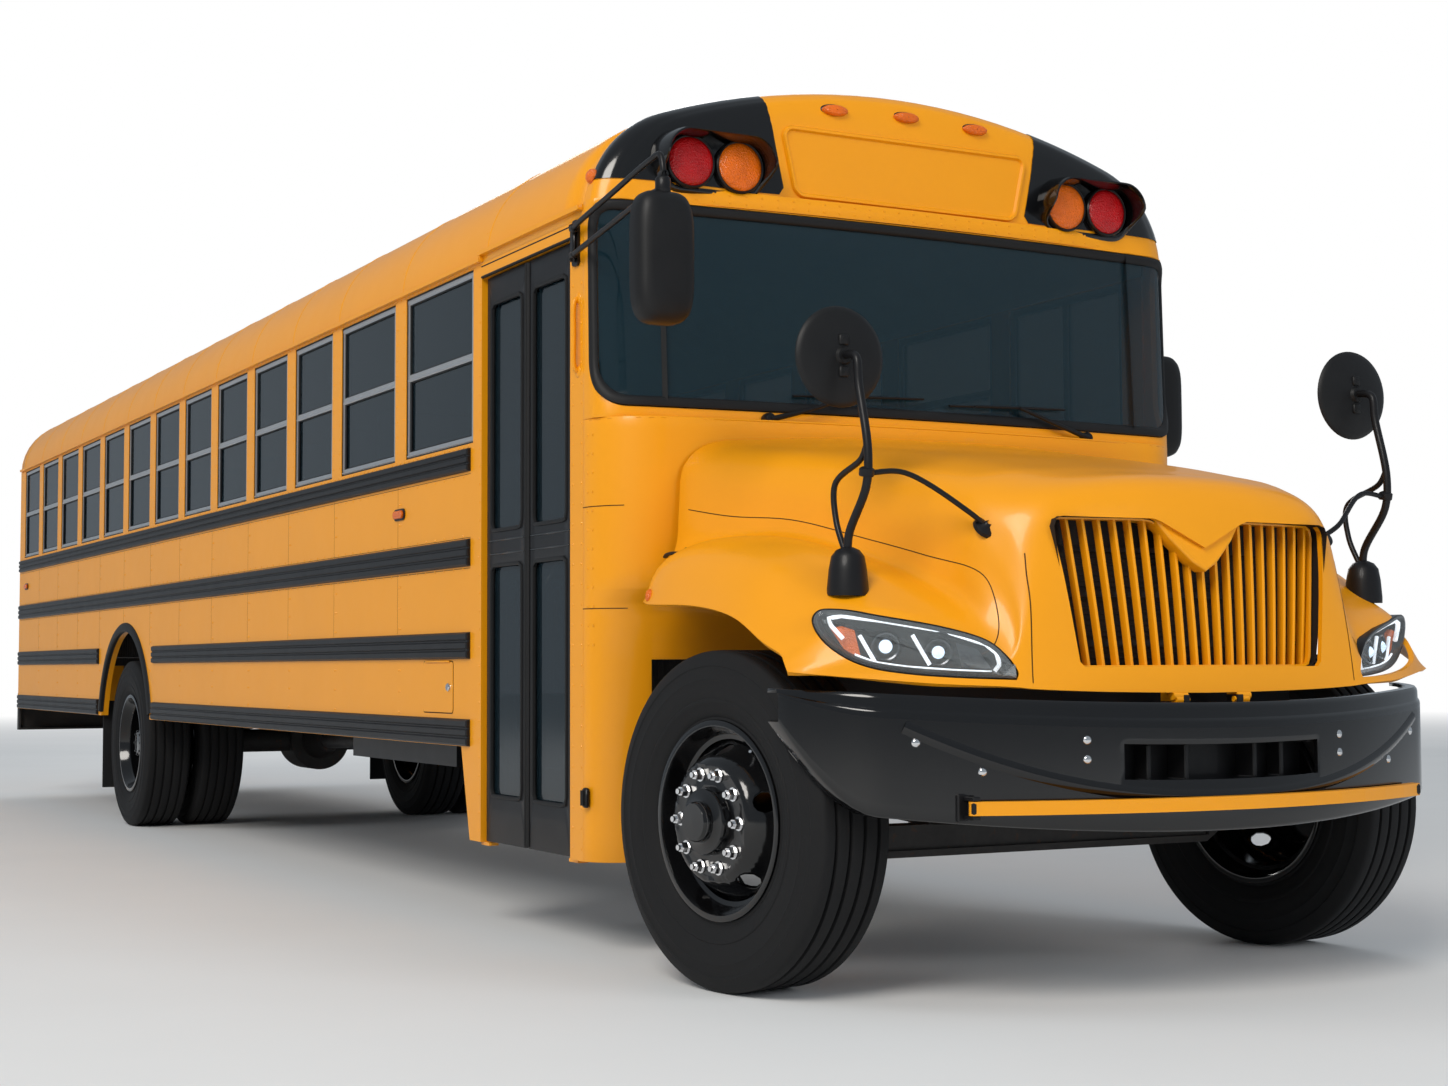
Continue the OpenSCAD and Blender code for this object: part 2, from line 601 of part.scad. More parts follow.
// Roof section above the cap's lower edge, shrunk towards the middle of that edge by a factor
function cap_section() = let (
    a0 = asin((cap_low_z - eave_z) / shoulder_radius),
    half = concat(arc(half_w - shoulder_radius, eave_z, shoulder_radius, a0, shoulder_angle, 6),
        [for (i = [1:5]) let (a = shoulder_angle + (90 - shoulder_angle) * i / 5)
            [crown_radius * cos(a), crown_z0 + crown_radius * sin(a)]]))
    concat(half, [for (i = [len(half) - 2:-1:0]) [-half[i][0], half[i][1]]]);
function cap_ring(x, k) = [for (p = cap_section())
    [axle_x + x, p[0] * k, cap_low_z + (p[1] - cap_low_z) * k]];
cap_face_x = -694;
pod_x = -688;
module front_cap() {
    color(yellow) {
        difference() {
            surround_band([cowl_top_z, cap_low_z - seat], 0, surround_t, pillar_x);
            block([axle_x + shield_corner_x - 4, -half_w - cut, shield_low_z], [axle_x, half_w + cut, shield_high_z]);
        }
        difference() {
            loft([cap_ring(pillar_x, 1), cap_ring(-775, 1), cap_ring(-748, 0.985),
                cap_ring(-726, 0.955), cap_ring(-708, 0.9), cap_ring(cap_face_x, 0.6)]);
            along_x(pillar_x - cut, -745) polygon([for (p = cap_section())
                [p[0] * 0.88, cap_low_z + wall + (p[1] - cap_low_z) * 0.75]]);
        }
    }
    color("black") both_sides()
        block([axle_x - 730, 590 * hood_spread, 2570], [axle_x + pod_x, 990 * hood_spread, 2770]);
}
module windshield() {
    color("lightblue") surround_band([shield_low_z + seat, shield_high_z - seat], 6, glass_t, shield_corner_x - 4 + seat);
}

function cowl_ring(z, xf, bulge, x_corner) = plan_ring(z, xf, bulge, x_corner, 235, pillar_x, 0, 30);
module cowl() {
    color(yellow) {
        difference() {
            loft([cowl_ring(entry_skirt_z, -690, 0, -822), cowl_ring(1000, -672, 0, -815),
                cowl_ring(1170, -640, 20, -812), cowl_ring(1230, -560, 60, -810),
                cowl_ring(1560, -530, 75, -810), cowl_ring(cowl_top_z, -520, 80, -815)]);
            block([axle_x - 900, -half_w + 180, 0], [axle_x, half_w - 180, rail_top]);
            block([axle_x - 900, 0, 0], [axle_x, half_w + cut, skirt_z]);
        }
        translate([axle_x, 0, cowl_top_z - 30]) linear_extrude(30)
            polygon(front_plan(-520, 80, -815, 235, pillar_x, 20));
    }
}

rear_hinge_x = rear_face_x - 12;
rear_hinge_y = -rear_door_w / 2 + 3;
rear_hinges = [floor_z + 160, floor_z + rear_door_h - 160];
hinge_half = 40;
plate_y = 780;
plate_z = 950;
module rear_wall() {
    door_y = rear_door_w / 2;
    color(yellow) difference() {
        along_x(rear_face_x, body_rear_x) polygon(concat([[half_w, skirt_z]], bow(0), [[-half_w, skirt_z]]));
        block([axle_x + rear_face_x - cut, -door_y, floor_z],
            [axle_x + body_rear_x + cut, door_y, floor_z + rear_door_h]);
        both_sides() block([axle_x + rear_face_x - cut, door_y + 130, sill_z - 60],
            [axle_x + body_rear_x + cut, half_w - 170, header_z - 60]);
        for (y = [-1, 1], z = [-1, 1])
            translate([axle_x + rear_face_x - cut, plate_y + y * plate_hole_y / 2, plate_z + z * plate_hole_z / 2])
                rotate([0, 90, 0]) cylinder(d = plate_hole_d, h = wall + 2 * cut);
    }
    color("black") for (z = rear_hinges) {
        for (low = [z - hinge_half - 21, z + hinge_half + 1])
            block([axle_x + rear_hinge_x - 10, -door_y - 30, low], [axle_x + rear_face_x + 1, -door_y + 5, low + 20]);
        translate([axle_x + rear_hinge_x, rear_hinge_y, z - hinge_half - 21]) cylinder(r = 5, h = 2 * hinge_half + 42);
    }
}
module rear_door() {
    w = rear_door_w / 2 - door_gap;
    low = floor_z + door_gap;
    high = floor_z + rear_door_h - door_gap;
    panes = [[sill_z - 60, header_z - 200], [low + 110, sill_z - 260]];
    color(yellow) {
        difference() {
            block([axle_x + rear_face_x + 2, -w, low], [axle_x + rear_face_x + 2 + leaf_t, w, high]);
            for (p = panes) block([axle_x + rear_face_x - cut, -w + 90, p[0]], [axle_x + body_rear_x + cut, w - 90, p[1]]);
        }
        for (z = rear_hinges) difference() {
            union() {
                translate([axle_x + rear_hinge_x, rear_hinge_y, z - hinge_half]) cylinder(r = 10, h = 2 * hinge_half);
                block([axle_x + rear_hinge_x, rear_hinge_y, z - hinge_half], [axle_x + rear_face_x + 3, -w + 85, z + hinge_half]);
            }
            translate([axle_x + rear_hinge_x, rear_hinge_y, z - 100]) cylinder(r = 5 + running, h = 200);
        }
    }
    color("lightblue") for (p = panes)
        block([axle_x + rear_face_x + 16, -w + 90, p[0]], [axle_x + rear_face_x + 16 + glass_t, w - 90, p[1]]);
}

/* ---- Windows ---- */

module window_frames() {
    rail = 14;
    color("silver") both_sides() for (i = [0:window_total - 1]) {
        x0 = axle_x + window_front(i) - window_len(i);
        x1 = axle_x + window_front(i);
        difference() {
            block([x0, half_w - 34, sill_z], [x1, half_w - 6, header_z]);
            block([x0 + frame_t, half_w - 40, sill_z + frame_t],
                [x1 - frame_t, half_w, sill_z + window_h / 2 - rail]);
            block([x0 + frame_t, half_w - 40, sill_z + window_h / 2 + rail],
                [x1 - frame_t, half_w, header_z - frame_t]);
        }
    }
    color("silver") difference() {
        block([axle_x + entry_rear_x + 40, half_w - 34, sill_z - 110], [axle_x + entry_front_x - 20, half_w - 6, header_z]);
        for (s = [0, 1]) let (w = (entry_w - 60 - 3 * frame_t) / 2, x0 = axle_x + entry_rear_x + 40 + frame_t + s * (w + frame_t))
            block([x0, half_w - 40, sill_z - 110 + frame_t], [x0 + w, half_w, header_z - frame_t]);
    }
}
module pane(x0, x1, z0, z1) { block([x0, half_w - 24, z0], [x1, half_w - 24 + glass_t, z1]); }
module window_glass() {
    color("lightblue") {
        both_sides() for (i = [0:window_total - 1]) {
            x0 = axle_x + window_front(i) - window_len(i) + frame_t;
            x1 = axle_x + window_front(i) - frame_t;
            pane(x0, x1, sill_z + frame_t, sill_z + window_h / 2 - 14);
            pane(x0, x1, sill_z + window_h / 2 + 14, header_z - frame_t);
        }
        for (s = [0, 1]) let (w = (entry_w - 60 - 3 * frame_t) / 2, x0 = axle_x + entry_rear_x + 40 + frame_t + s * (w + frame_t))
            pane(x0, x0 + w, sill_z - 110 + frame_t, header_z - frame_t);
        both_sides() block([axle_x + rear_face_x + 16, rear_door_w / 2 + 130, sill_z - 60],
            [axle_x + rear_face_x + 16 + glass_t, half_w - 170, header_z - 60]);
    }
}

/* ---- Entrance doors ---- */

// Each leaf turns about a pivot in its rounded hinge stile
leaf_face_y = -half_w + 15;
leaf_axis_y = leaf_face_y + leaf_t / 2;
leaf_axis_in = leaf_t / 2 + door_gap;
leaf_low_z = entry_skirt_z + 5;
leaf_high_z = entry_top_z - door_gap;
leaf_reach = entry_w / 2 - leaf_axis_in - door_gap / 2;
entry_mid_low = 1353;
entry_mid_high = 1468;
pivot_r = 8;
module entry_axis(s) {
    translate([axle_x + (s > 0 ? entry_front_x - leaf_axis_in : entry_rear_x + leaf_axis_in), leaf_axis_y, 0]) children();
}
// One leaf from its pivot at the origin to its meeting edge at x = -leaf_reach
module leaf_shape() {
    stile = 52;
    h = leaf_t / 2;
    panes = [[leaf_low_z + 165, entry_mid_low - 10], [entry_mid_high, leaf_high_z - 100]];
    color("black") difference() {
        union() {
            translate([0, 0, leaf_low_z]) cylinder(r = h, h = leaf_high_z - leaf_low_z);
            block([-leaf_reach, -h, leaf_low_z], [0, h, leaf_high_z]);
        }
        for (p = panes) block([-leaf_reach + stile, -h - cut, p[0]], [-stile + h, h + cut, p[1]]);
        translate([0, 0, leaf_low_z - cut]) cylinder(r = pivot_r + running, h = 35 + cut);
        translate([0, 0, leaf_high_z - 35]) cylinder(r = pivot_r + running, h = 35 + cut);
    }
    color("lightblue") for (p = panes) block([-leaf_reach + stile, -4, p[0]], [-stile + h, -4 + glass_t, p[1]]);
}
module entry_door_front() { entry_axis(1) leaf_shape(); }
module entry_door_rear() { entry_axis(-1) mirror([1, 0, 0]) leaf_shape(); }
module entry_pivots() {
    for (s = [-1, 1]) entry_axis(s) {
        translate([0, 0, leaf_high_z - 30]) cylinder(r = pivot_r, h = 30 + door_gap + 10);
        translate([0, 0, entry_skirt_z - 12]) cylinder(r = pivot_r, h = 12 + 5 + 30);
        block([min(s * leaf_axis_in + s * 30, -20), -18, entry_skirt_z - 12],
            [max(s * leaf_axis_in + s * 30, 20), 20, entry_skirt_z]);
    }
}

/* ---- Hood, grille, headlights ---- */

// Control net of the hood's right half, from the middle outwards: [station, distance off centre, height]
hood_spread = half_w / 1219;
HOOD = [
    [[-505, 0, 1748], [-512, 350, 1744], [-540, 660, 1730], [-568, 880, 1706], [-582, 965, 1630],
        [-584, 982, 1490], [-584, 990, 1380], [-560, 1045, 1275], [-505, 1130, 1210], [-430, 1190, 1172]],
    [[-350, 0, 1718], [-350, 340, 1714], [-350, 630, 1698], [-350, 830, 1662], [-350, 900, 1580],
        [-350, 925, 1450], [-350, 960, 1376], [-350, 1065, 1346], [-350, 1170, 1284], [-330, 1214, 1162]],
    [[-50, 0, 1674], [-50, 330, 1669], [-50, 600, 1650], [-50, 770, 1607], [-50, 830, 1520],
        [-50, 855, 1420], [-50, 885, 1372], [-50, 1020, 1366], [-50, 1160, 1306], [-10, 1219, 1148]],
    [[250, 0, 1624], [250, 320, 1618], [250, 560, 1598], [250, 715, 1547], [250, 765, 1452],
        [250, 788, 1350], [250, 820, 1305], [250, 960, 1325], [250, 1125, 1262], [230, 1219, 1108]],
    [[480, 0, 1580], [480, 300, 1573], [480, 530, 1552], [480, 665, 1497], [480, 706, 1390],
        [480, 722, 1290], [480, 748, 1228], [480, 890, 1225], [440, 1070, 1180], [400, 1219, 1035]],
    [[650, 0, 1545], [650, 290, 1537], [645, 510, 1512], [640, 630, 1450], [645, 668, 1360],
        [650, 682, 1240], [655, 702, 1150], [640, 820, 1135], [570, 1020, 1135], [480, 1206, 1000]],
    [[815, 0, 1495], [808, 270, 1484], [785, 490, 1442], [752, 590, 1370], [742, 625, 1270],
        [732, 652, 1165], [730, 695, 1085], [722, 780, 1068], [610, 1010, 1108], [510, 1212, 978]],
    [[872, 0, 1300], [862, 255, 1300], [830, 480, 1290], [808, 575, 1220], [804, 612, 1120],
        [802, 640, 1030], [790, 695, 988], [760, 790, 985], [650, 1030, 1005], [530, 1217, 962]],
    [[893, 0, 885], [886, 250, 888], [868, 448, 893], [845, 600, 900], [836, 650, 905],
        [810, 740, 910], [765, 850, 915], [700, 970, 925], [620, 1100, 937], [546, 1219, 950]]
];
hood_rows = len(HOOD);
hood_cols = len(HOOD[0]);
function net_point(v, u) = let (p = HOOD[v][abs(u)]) [axle_x + p[0], sign(u) * p[1] * hood_spread, p[2]];
function clampi(i, n) = max(0, min(n, i));
// Seat on the outer facet beside net point (v, u): its middle and its outward normal
function facet_mid(v, u) = (net_point(v, u) + net_point(v, u + 1) + net_point(v + 1, u + 1)) / 3;
function facet_normal(v, u) = let (n = cross(net_point(v + 1, u + 1) - net_point(v, u),
    net_point(v, u + 1) - net_point(v, u))) n / norm(n);
function net_normal(v, u) = let (
    du = net_point(v, min(u + 1, hood_cols - 1)) - net_point(v, max(u - 1, 1 - hood_cols)),
    dv = net_point(clampi(v + 1, hood_rows - 1), u) - net_point(clampi(v - 1, hood_rows - 1), u),
    n = cross(dv, du)) n / norm(n);
module hood_shell() {
    n = 2 * hood_cols - 1;
    outer = [for (v = [0:hood_rows - 1], u = [1 - hood_cols:hood_cols - 1]) net_point(v, u)];
    inner = [for (v = [0:hood_rows - 1], u = [1 - hood_cols:hood_cols - 1]) net_point(v, u) - hood_t * net_normal(v, u)];
    base = len(outer);
    // Each cell starts at its inner corner, so both halves split along mirrored diagonals
    grid = [for (v = [0:hood_rows - 2], i = [0:n - 2]) let (a = v * n + i, b = a + n)
        i < hood_cols - 1 ? [a + 1, b + 1, b, a] : [a, a + 1, b + 1, b]];
    top = [for (q = grid) each [[q[0], q[1], q[2]], [q[0], q[2], q[3]]]];
    under = [for (q = grid) each [[base + q[0], base + q[2], base + q[1]], [base + q[0], base + q[3], base + q[2]]]];
    rim_path = concat([for (i = [0:n - 1]) i], [for (v = [1:hood_rows - 1]) v * n + n - 1],
        [for (i = [n - 2:-1:0]) (hood_rows - 1) * n + i], [for (v = [hood_rows - 2:-1:1]) v * n]);
    m = len(rim_path);
    edge = [for (i = [0:m - 1]) let (a = rim_path[i], b = rim_path[(i + 1) % m])
        each [[a, base + b, b], [a, base + a, base + b]]];
    polyhedron(concat(outer, inner), concat(top, under, edge), convexity = 10);
}
// Grille opening as a (y, z) outline, with the notch under the shield pad
grille_top_z = 1388;
grille_low_z = 960;
grille_top_y = 512;
grille_low_y = 450;
function grille_side(z) = grille_low_y + (grille_top_y - grille_low_y) * (z - grille_low_z) / (grille_top_z - grille_low_z);
function grille_outline(inset) = let (t = grille_top_z - inset, b = grille_low_z + inset)
    [[-grille_side(b) + inset, b], [grille_side(b) - inset, b], [grille_side(t) - inset, t],
        [170 + inset / 2, t], [0, 1306 - inset], [-170 - inset / 2, t], [-grille_side(t) + inset, t]];
// Headlight outline on a slanted plane, as distances outwards and upwards
light_angle = 30;
LIGHT = [[146, 925], [307, 931], [459, 943], [557, 960], [626, 988], [690, 1039], [716, 1094],
    [700, 1122], [639, 1127], [527, 1108], [333, 1072], [222, 1036], [173, 995], [141, 945]];
module light_prism(inset, depth0, depth1) {
    mid = [400, 1020];
    translate([axle_x, 0, 0]) rotate([0, 0, light_angle]) translate([depth0, 0, 0]) rotate([90, 0, 90])
        linear_extrude(depth1 - depth0) polygon([for (p = LIGHT) let (d = mid - p) p + inset * d / norm(d)]);
}
module hood() {
    color(yellow) difference() {
        hood_shell();
        along_x(640, 1000) polygon(grille_outline(0));
        both_sides() light_prism(0, 860, 1300);
    }
}
// Hinge knuckles under the hood's front edge, with pins through the frame's lugs
module hood_hinges() {
    color(yellow) both_sides() {
        translate([axle_x + hood_hinge_x, 112, hood_hinge_z]) rotate([-90, 0, 0]) cylinder(r = 13, h = 24);
        translate([axle_x + hood_hinge_x, 84, hood_hinge_z]) rotate([-90, 0, 0]) cylinder(r = 8, h = 40);
        block([axle_x + hood_hinge_x - 60, 112, hood_hinge_z - 5], [axle_x + hood_hinge_x, 136, hood_hinge_z + 12]);
        block([axle_x + hood_hinge_x - 60, 112, hood_hinge_z - 5], [axle_x + hood_hinge_x - 32, 136, 955]);
        block([axle_x + hood_hinge_x - 60, 112, 895], [axle_x + hood_hinge_x - 17.6, 136, 955]);
    }
}
function vane_x(f) = 852 - 62 * f * f;
module grille() {
    depth = 34;
    top = grille_top_z - 2 * seat;
    low = grille_low_z + 2 * seat;
    color(yellow) intersection() {
        along_x(700, 900) polygon(grille_outline(2 * seat));
        union() {
            for (s = [-1, 1], i = [0:vanes_per_half - 1]) let (f = (i + 0.35) / vanes_per_half,
                    yt = s * grille_top_y * f, yb = s * grille_low_y * f)
                hull_vane(vane_x(f), depth, yt, yb, top, low);
            for (z = [1020, 1270]) across_bar(z);
            both_sides() hull_vane(800, depth, grille_top_y - 4, grille_low_y - 4, top, low);
        }
    }
}
module hull_vane(x, depth, yt, yb, top, low) {
    w = 7;
    polyhedron([[axle_x + x - depth, yb - w, low - 9], [axle_x + x, yb - w, low - 9], [axle_x + x, yb + w, low - 9],
        [axle_x + x - depth, yb + w, low - 9], [axle_x + x - depth - 20, yt - w, top + 9], [axle_x + x - 20, yt - w, top + 9],
        [axle_x + x - 20, yt + w, top + 9], [axle_x + x - depth - 20, yt + w, top + 9]],
        [[0, 1, 2, 3], [7, 6, 5, 4], [0, 4, 5, 1], [1, 5, 6, 2], [2, 6, 7, 3], [3, 7, 4, 0]]);
}
module across_bar(z) {
    reach = grille_side(z);
    lean = 20 * (z - grille_low_z) / (grille_top_z - grille_low_z);
    translate([axle_x - lean, 0, z - 8]) linear_extrude(16) polygon(concat(
        [for (f = [-1:0.125:1]) [vane_x(f) - 22, f * reach]], [for (f = [1:-0.125:-1]) [vane_x(f) - 60, f * reach]]));
}
module headlights() {
    color("lightgray") both_sides() light_prism(seat, 970, 1036);
}

/* ---- Bumpers and arms ---- */

function bumper_x(y) = let (over = max(0, abs(y) - 0.82 * half_w) / (0.165 * half_w))
    front_overhang - 369 * pow(abs(y) / 1200, 2) - 143 * over * over;
function bumper_top(y) = 858 + 47 * pow(y / half_w, 2);
function bumper_low(y) = let (over = max(0, abs(y) - 0.84 * half_w) / (0.145 * half_w))
    494 + 80 * pow(y / half_w, 2) + 240 * over * over;
bumper_half = half_w - 19;
function bumper_ring(y) = let (x = axle_x + bumper_x(y), t = bumper_top(y), b = bumper_low(y), f = bumper_flange, m = bumper_t)
    [[x - f, y, b + m], [x - m, y, b + m], [x - m, y, t - m], [x - f, y, t - m],
        [x - f, y, t], [x, y, t], [x, y, b], [x - f, y, b]];
module front_bumper() {
    steps = [for (i = [-12:12]) bumper_half * sin(90 * i / 12)];
    color("black") difference() {
        loft([for (y = steps) bumper_ring(y)]);
        block([axle_x + 860, -360, 640], [axle_x + 1000, 360, 740]);
    }
    color("black") crossing_hinge();
}
module rear_bumper() {
    x = bus_rear_x;
    color("black") {
        difference() {
            block([x, -half_w + 10, 500], [x + rear_bumper_depth, half_w - 10, 780]);
            block([x + bumper_t, -half_w + 10 + bumper_t, 500 + bumper_t],
                [x + rear_bumper_depth + cut, half_w - 10 - bumper_t, 780 - bumper_t]);
        }
        both_sides() {
            block([x + bumper_t, rail_y - 60, 615], [axle_x + body_rear_x + 120, rail_y - 20, 645]);
            block([axle_x + body_rear_x + 60, rail_y - 60, 645], [axle_x + body_rear_x + 120, rail_y - 20, rail_bottom]);
        }
    }
}
crossing_hinge_y = -800;
crossing_hinge_x = bumper_x(crossing_hinge_y) + crossing_lead;
crossing_z = 575;
crossing_half = 19;
module crossing_arm() {
    n = 14;
    ys = [for (i = [0:n]) crossing_hinge_y + crossing_arm_length * i / n];
    difference() {
        union() {
            color(yellow) loft([for (y = ys) let (x = axle_x + bumper_x(y) + crossing_lead) [
                [x - crossing_r, y, crossing_z - crossing_half], [x - crossing_r, y, crossing_z + crossing_half],
                [x + crossing_r, y, crossing_z + crossing_half], [x + crossing_r, y, crossing_z - crossing_half]]]);
            color("black") translate([axle_x + crossing_hinge_x, crossing_hinge_y, crossing_z - crossing_half])
                cylinder(r = crossing_r, h = 2 * crossing_half);
        }
        translate([axle_x + crossing_hinge_x, crossing_hinge_y, crossing_z - 100]) cylinder(r = 6 + running, h = 200);
    }
}
module crossing_hinge() {
    for (z = [crossing_z - crossing_half - 13, crossing_z + crossing_half + 1])
        block([axle_x + bumper_x(crossing_hinge_y - 40) - 12, crossing_hinge_y - 14, z],
            [axle_x + crossing_hinge_x + 14, crossing_hinge_y + 10, z + 12]);
    translate([axle_x + crossing_hinge_x, crossing_hinge_y, crossing_z - crossing_half - 13])
        cylinder(r = 6, h = 2 * crossing_half + 26);
}

stop_hinge_x = -1080;
stop_hinge_y = half_w + 34;
stop_z = 1450;
stop_barrels = [stop_z - 90, stop_z + 90];
module stop_arm() {
    sign_x = axle_x + stop_hinge_x - 60 - stop_sign_w / 2;
    color("red") translate([sign_x, half_w + 22, stop_z]) rotate([-90, 0, 0]) rotate([0, 0, 22.5])
        cylinder(r = stop_sign_w / 2 / cos(22.5), h = 8, $fn = 8);
    color("black") for (z = stop_barrels) difference() {
        union() {
            block([sign_x - 100, half_w + 29, z - 16], [axle_x + stop_hinge_x, half_w + 38, z + 16]);
            translate([axle_x + stop_hinge_x, stop_hinge_y, z - 16]) cylinder(r = 12, h = 32);
        }
        translate([axle_x + stop_hinge_x, stop_hinge_y, z - 50]) cylinder(r = 6 + running, h = 100);
    }
}
module stop_hinge() {
    block([axle_x + stop_hinge_x - 14, half_w - 1, stop_barrels[0] + 17],
        [axle_x + stop_hinge_x + 14, stop_hinge_y + 12, stop_barrels[1] - 17]);
    translate([axle_x + stop_hinge_x, stop_hinge_y, stop_barrels[0] - 18])
        cylinder(r = 6, h = stop_barrels[1] - stop_barrels[0] + 36);
}

/* ---- Mirrors, lamps, rails ---- */

// Bent tube through a list of points
module bent(points, r) {
    for (i = [0:len(points) - 2]) rod(points[i], points[i + 1], r);
    if (len(points) > 2) for (i = [1:len(points) - 2]) translate(points[i]) sphere(r = r + 1.5);
}
mirror_y_out = half_w + 101;
module side_mirrors() {
    foot_x = axle_x - 878;
    color("black") for (h = [[-10, -1, 2200], [-900, 1, 1990]]) {
        x = axle_x + h[0];
        y = h[1] * mirror_y_out;
        block([x - 45, y - 100, h[2] - 205], [x + 45, y + 100, h[2] + 205]);
        wall_y = h[1] * half_w;
        block([foot_x - 22, min(wall_y, wall_y + h[1] * 24), 2330], [foot_x + 22, max(wall_y, wall_y + h[1] * 24), 2480]);
    }
    color("black") {
        for (s = [-1, 1]) rod([foot_x, -half_w - 16, 2405 + 43 * s], [axle_x - 20, -mirror_y_out, 2420 + 11 * s], 9.5);
        translate([axle_x - 20, -mirror_y_out, 2395]) cylinder(r = 24, h = 50);
        bent([[foot_x, half_w + 16, 2405], [axle_x - 900, mirror_y_out, 2300], [axle_x - 900, mirror_y_out, 2190]], 13);
    }
}
module crossover_mirrors() {
    foot = facet_mid(4, 7);
    up = facet_normal(4, 7);
    brace = facet_mid(5, 3);
    side = facet_normal(5, 3);
    boot = foot + [0, 0, 118];
    elbow = foot + [110, 0, 352];
    crown = foot + [60, 0, 676];
    color("black") both_sides() {
        rod(foot + seat * up, foot + 16 * up, 42);
        rod(foot + 16 * up, boot, 26);
        bent([boot, elbow, crown, crown - [70, 0, 0]], 12);
        translate(crown - [104, 0, 0]) rotate([0, 90, 0]) cylinder(r = 148, h = 34);
        rod(elbow - [6, 0, 24], brace + 14 * side, 9);
        rod(brace + seat * side, brace + 22 * side, 20);
    }
}
module lamps() {
    lamp_r = warning_lamp_d / 2;
    color("red") {
        both_sides() translate([axle_x + pod_x, 886 * hood_spread, 2672]) rotate([0, 90, 0]) cylinder(r = lamp_r, h = 34);
        both_sides() translate([axle_x + rear_face_x - 30, half_w - 200, 2660]) rotate([0, 90, 0]) cylinder(r = lamp_r, h = 30);
        both_sides() translate([axle_x + rear_face_x - 22, half_w - 190, 1480]) rotate([0, 90, 0]) cylinder(r = 90, h = 22);
    }
    color("orange") {
        both_sides() translate([axle_x + pod_x, 696 * hood_spread, 2672]) rotate([0, 90, 0]) cylinder(r = lamp_r, h = 34);
        both_sides() translate([axle_x + rear_face_x - 30, half_w - 400, 2680]) rotate([0, 90, 0]) cylinder(r = lamp_r, h = 30);
        both_sides() translate([axle_x + rear_face_x - 22, half_w - 190, 1260]) rotate([0, 90, 0]) cylinder(r = 90, h = 22);
    }
}

RAILS = [[1710, 1799], [1349, 1454], [998, 1100], [666, 771]];
module rub_rails() {
    rail_t = 18;
    front = entry_rear_x - 110;
    arch_gap = arch_r + 62;
    color("black") both_sides() for (i = [0:3]) difference() {
        block([axle_x + body_rear_x, half_w, max(RAILS[i][0], skirt_z + 2)], [axle_x + front, half_w + rail_t, RAILS[i][1]]);
        if (i > 1) block([axle_x + rear_axle_x - arch_gap, half_w - cut, 0], [axle_x + rear_axle_x + arch_gap, half_w + 40, 1150]);
    }
}

/* ---- Cabin ---- */

bench_rows = window_total - 1;
function bench_x(i) = -2560 - i * (window_w + window_post);
module seat_frames() {
    color("dimgray") both_sides() for (i = [0:bench_rows - 1])
        translate([axle_x + bench_x(i), inner_w - 6 - bench_w, 0]) {
            over_wheel = abs(bench_x(i) - 250 - rear_axle_x) < wheelhouse_half + 300;
            foot_z = floor_z;
            for (x = [-60, -400]) block([x - 15, 40, foot_z], [x + 15, 70, floor_z + 300]);
            if (!over_wheel) for (x = [-60, -400]) block([x - 15, bench_w - 90, foot_z], [x + 15, bench_w - 60, floor_z + 300]);
            block([-530, 30, floor_z + 300], [-30, bench_w - 50, floor_z + 322]);
            block([-530, 30, floor_z + 300], [-500, bench_w - 50, floor_z + 482 - seat]);
        }
}
module seat_cushions() {
    color("saddlebrown") both_sides() for (i = [0:bench_rows - 1])
        translate([axle_x + bench_x(i), inner_w - 6 - bench_w, floor_z]) {
            block([-424, 0, 322 + seat], [0, bench_w, 440]);
            translate([-430, 0, 322]) multmatrix([[1, 0, -0.12, 0], [0, 1, 0, 0], [0, 0, 1, 0]])
                block([-108, 0, 160], [-20, bench_w, 680]);
        }
}
driver_y = 560;
module driver_seat() {
    color("dimgray") translate([axle_x - 1640, driver_y * hood_spread, floor_z]) {
        block([-210, -200, 0], [210, 200, 120]);
        translate([0, 0, 120]) cylinder(r = 90, h = 180);
        block([-240, -250, 300], [240, 250, 420]);
        block([-320, -250, 421], [-220, 250, 1010]);
        block([-320, -250, 300], [-240, 250, 421]);
    }
}
wheel_tilt = 35;
wheel_centre = [-1150, driver_y, 1790];
module steering_place() {
    translate([axle_x + wheel_centre[0], wheel_centre[1] * hood_spread, wheel_centre[2]]) rotate([0, 180 - wheel_tilt, 0]) children();
}
module steering_wheel() {
    r = steering_wheel_d / 2;
    color("black") steering_place() difference() {
        union() {
            rotate_extrude() translate([r - 14, 0]) circle(r = 14);
            translate([0, 0, -10]) cylinder(r = 52, h = 50);
            for (a = [0, 120, 240]) rotate([0, 0, a]) block([40, -14, -6], [r - 16, 14, 8]);
        }
        translate([0, 0, 10]) cylinder(r = 16 + running, h = 60);
    }
}
module dashboard() {
    color("dimgray") {
        difference() {
            block([axle_x - 960, -inner_w + 380, 1400], [axle_x - 700, inner_w - 40, 1740]);
            block([axle_x - 970, -inner_w + 360, 1380], [axle_x - 860, driver_y - 330, 1560]);
        }
        block([axle_x - 800, -inner_w + 700, floor_z], [axle_x - 730, inner_w - 260, 1400]);
        steering_place() translate([0, 0, 15]) cylinder(r = 16, h = 345);
    }
}

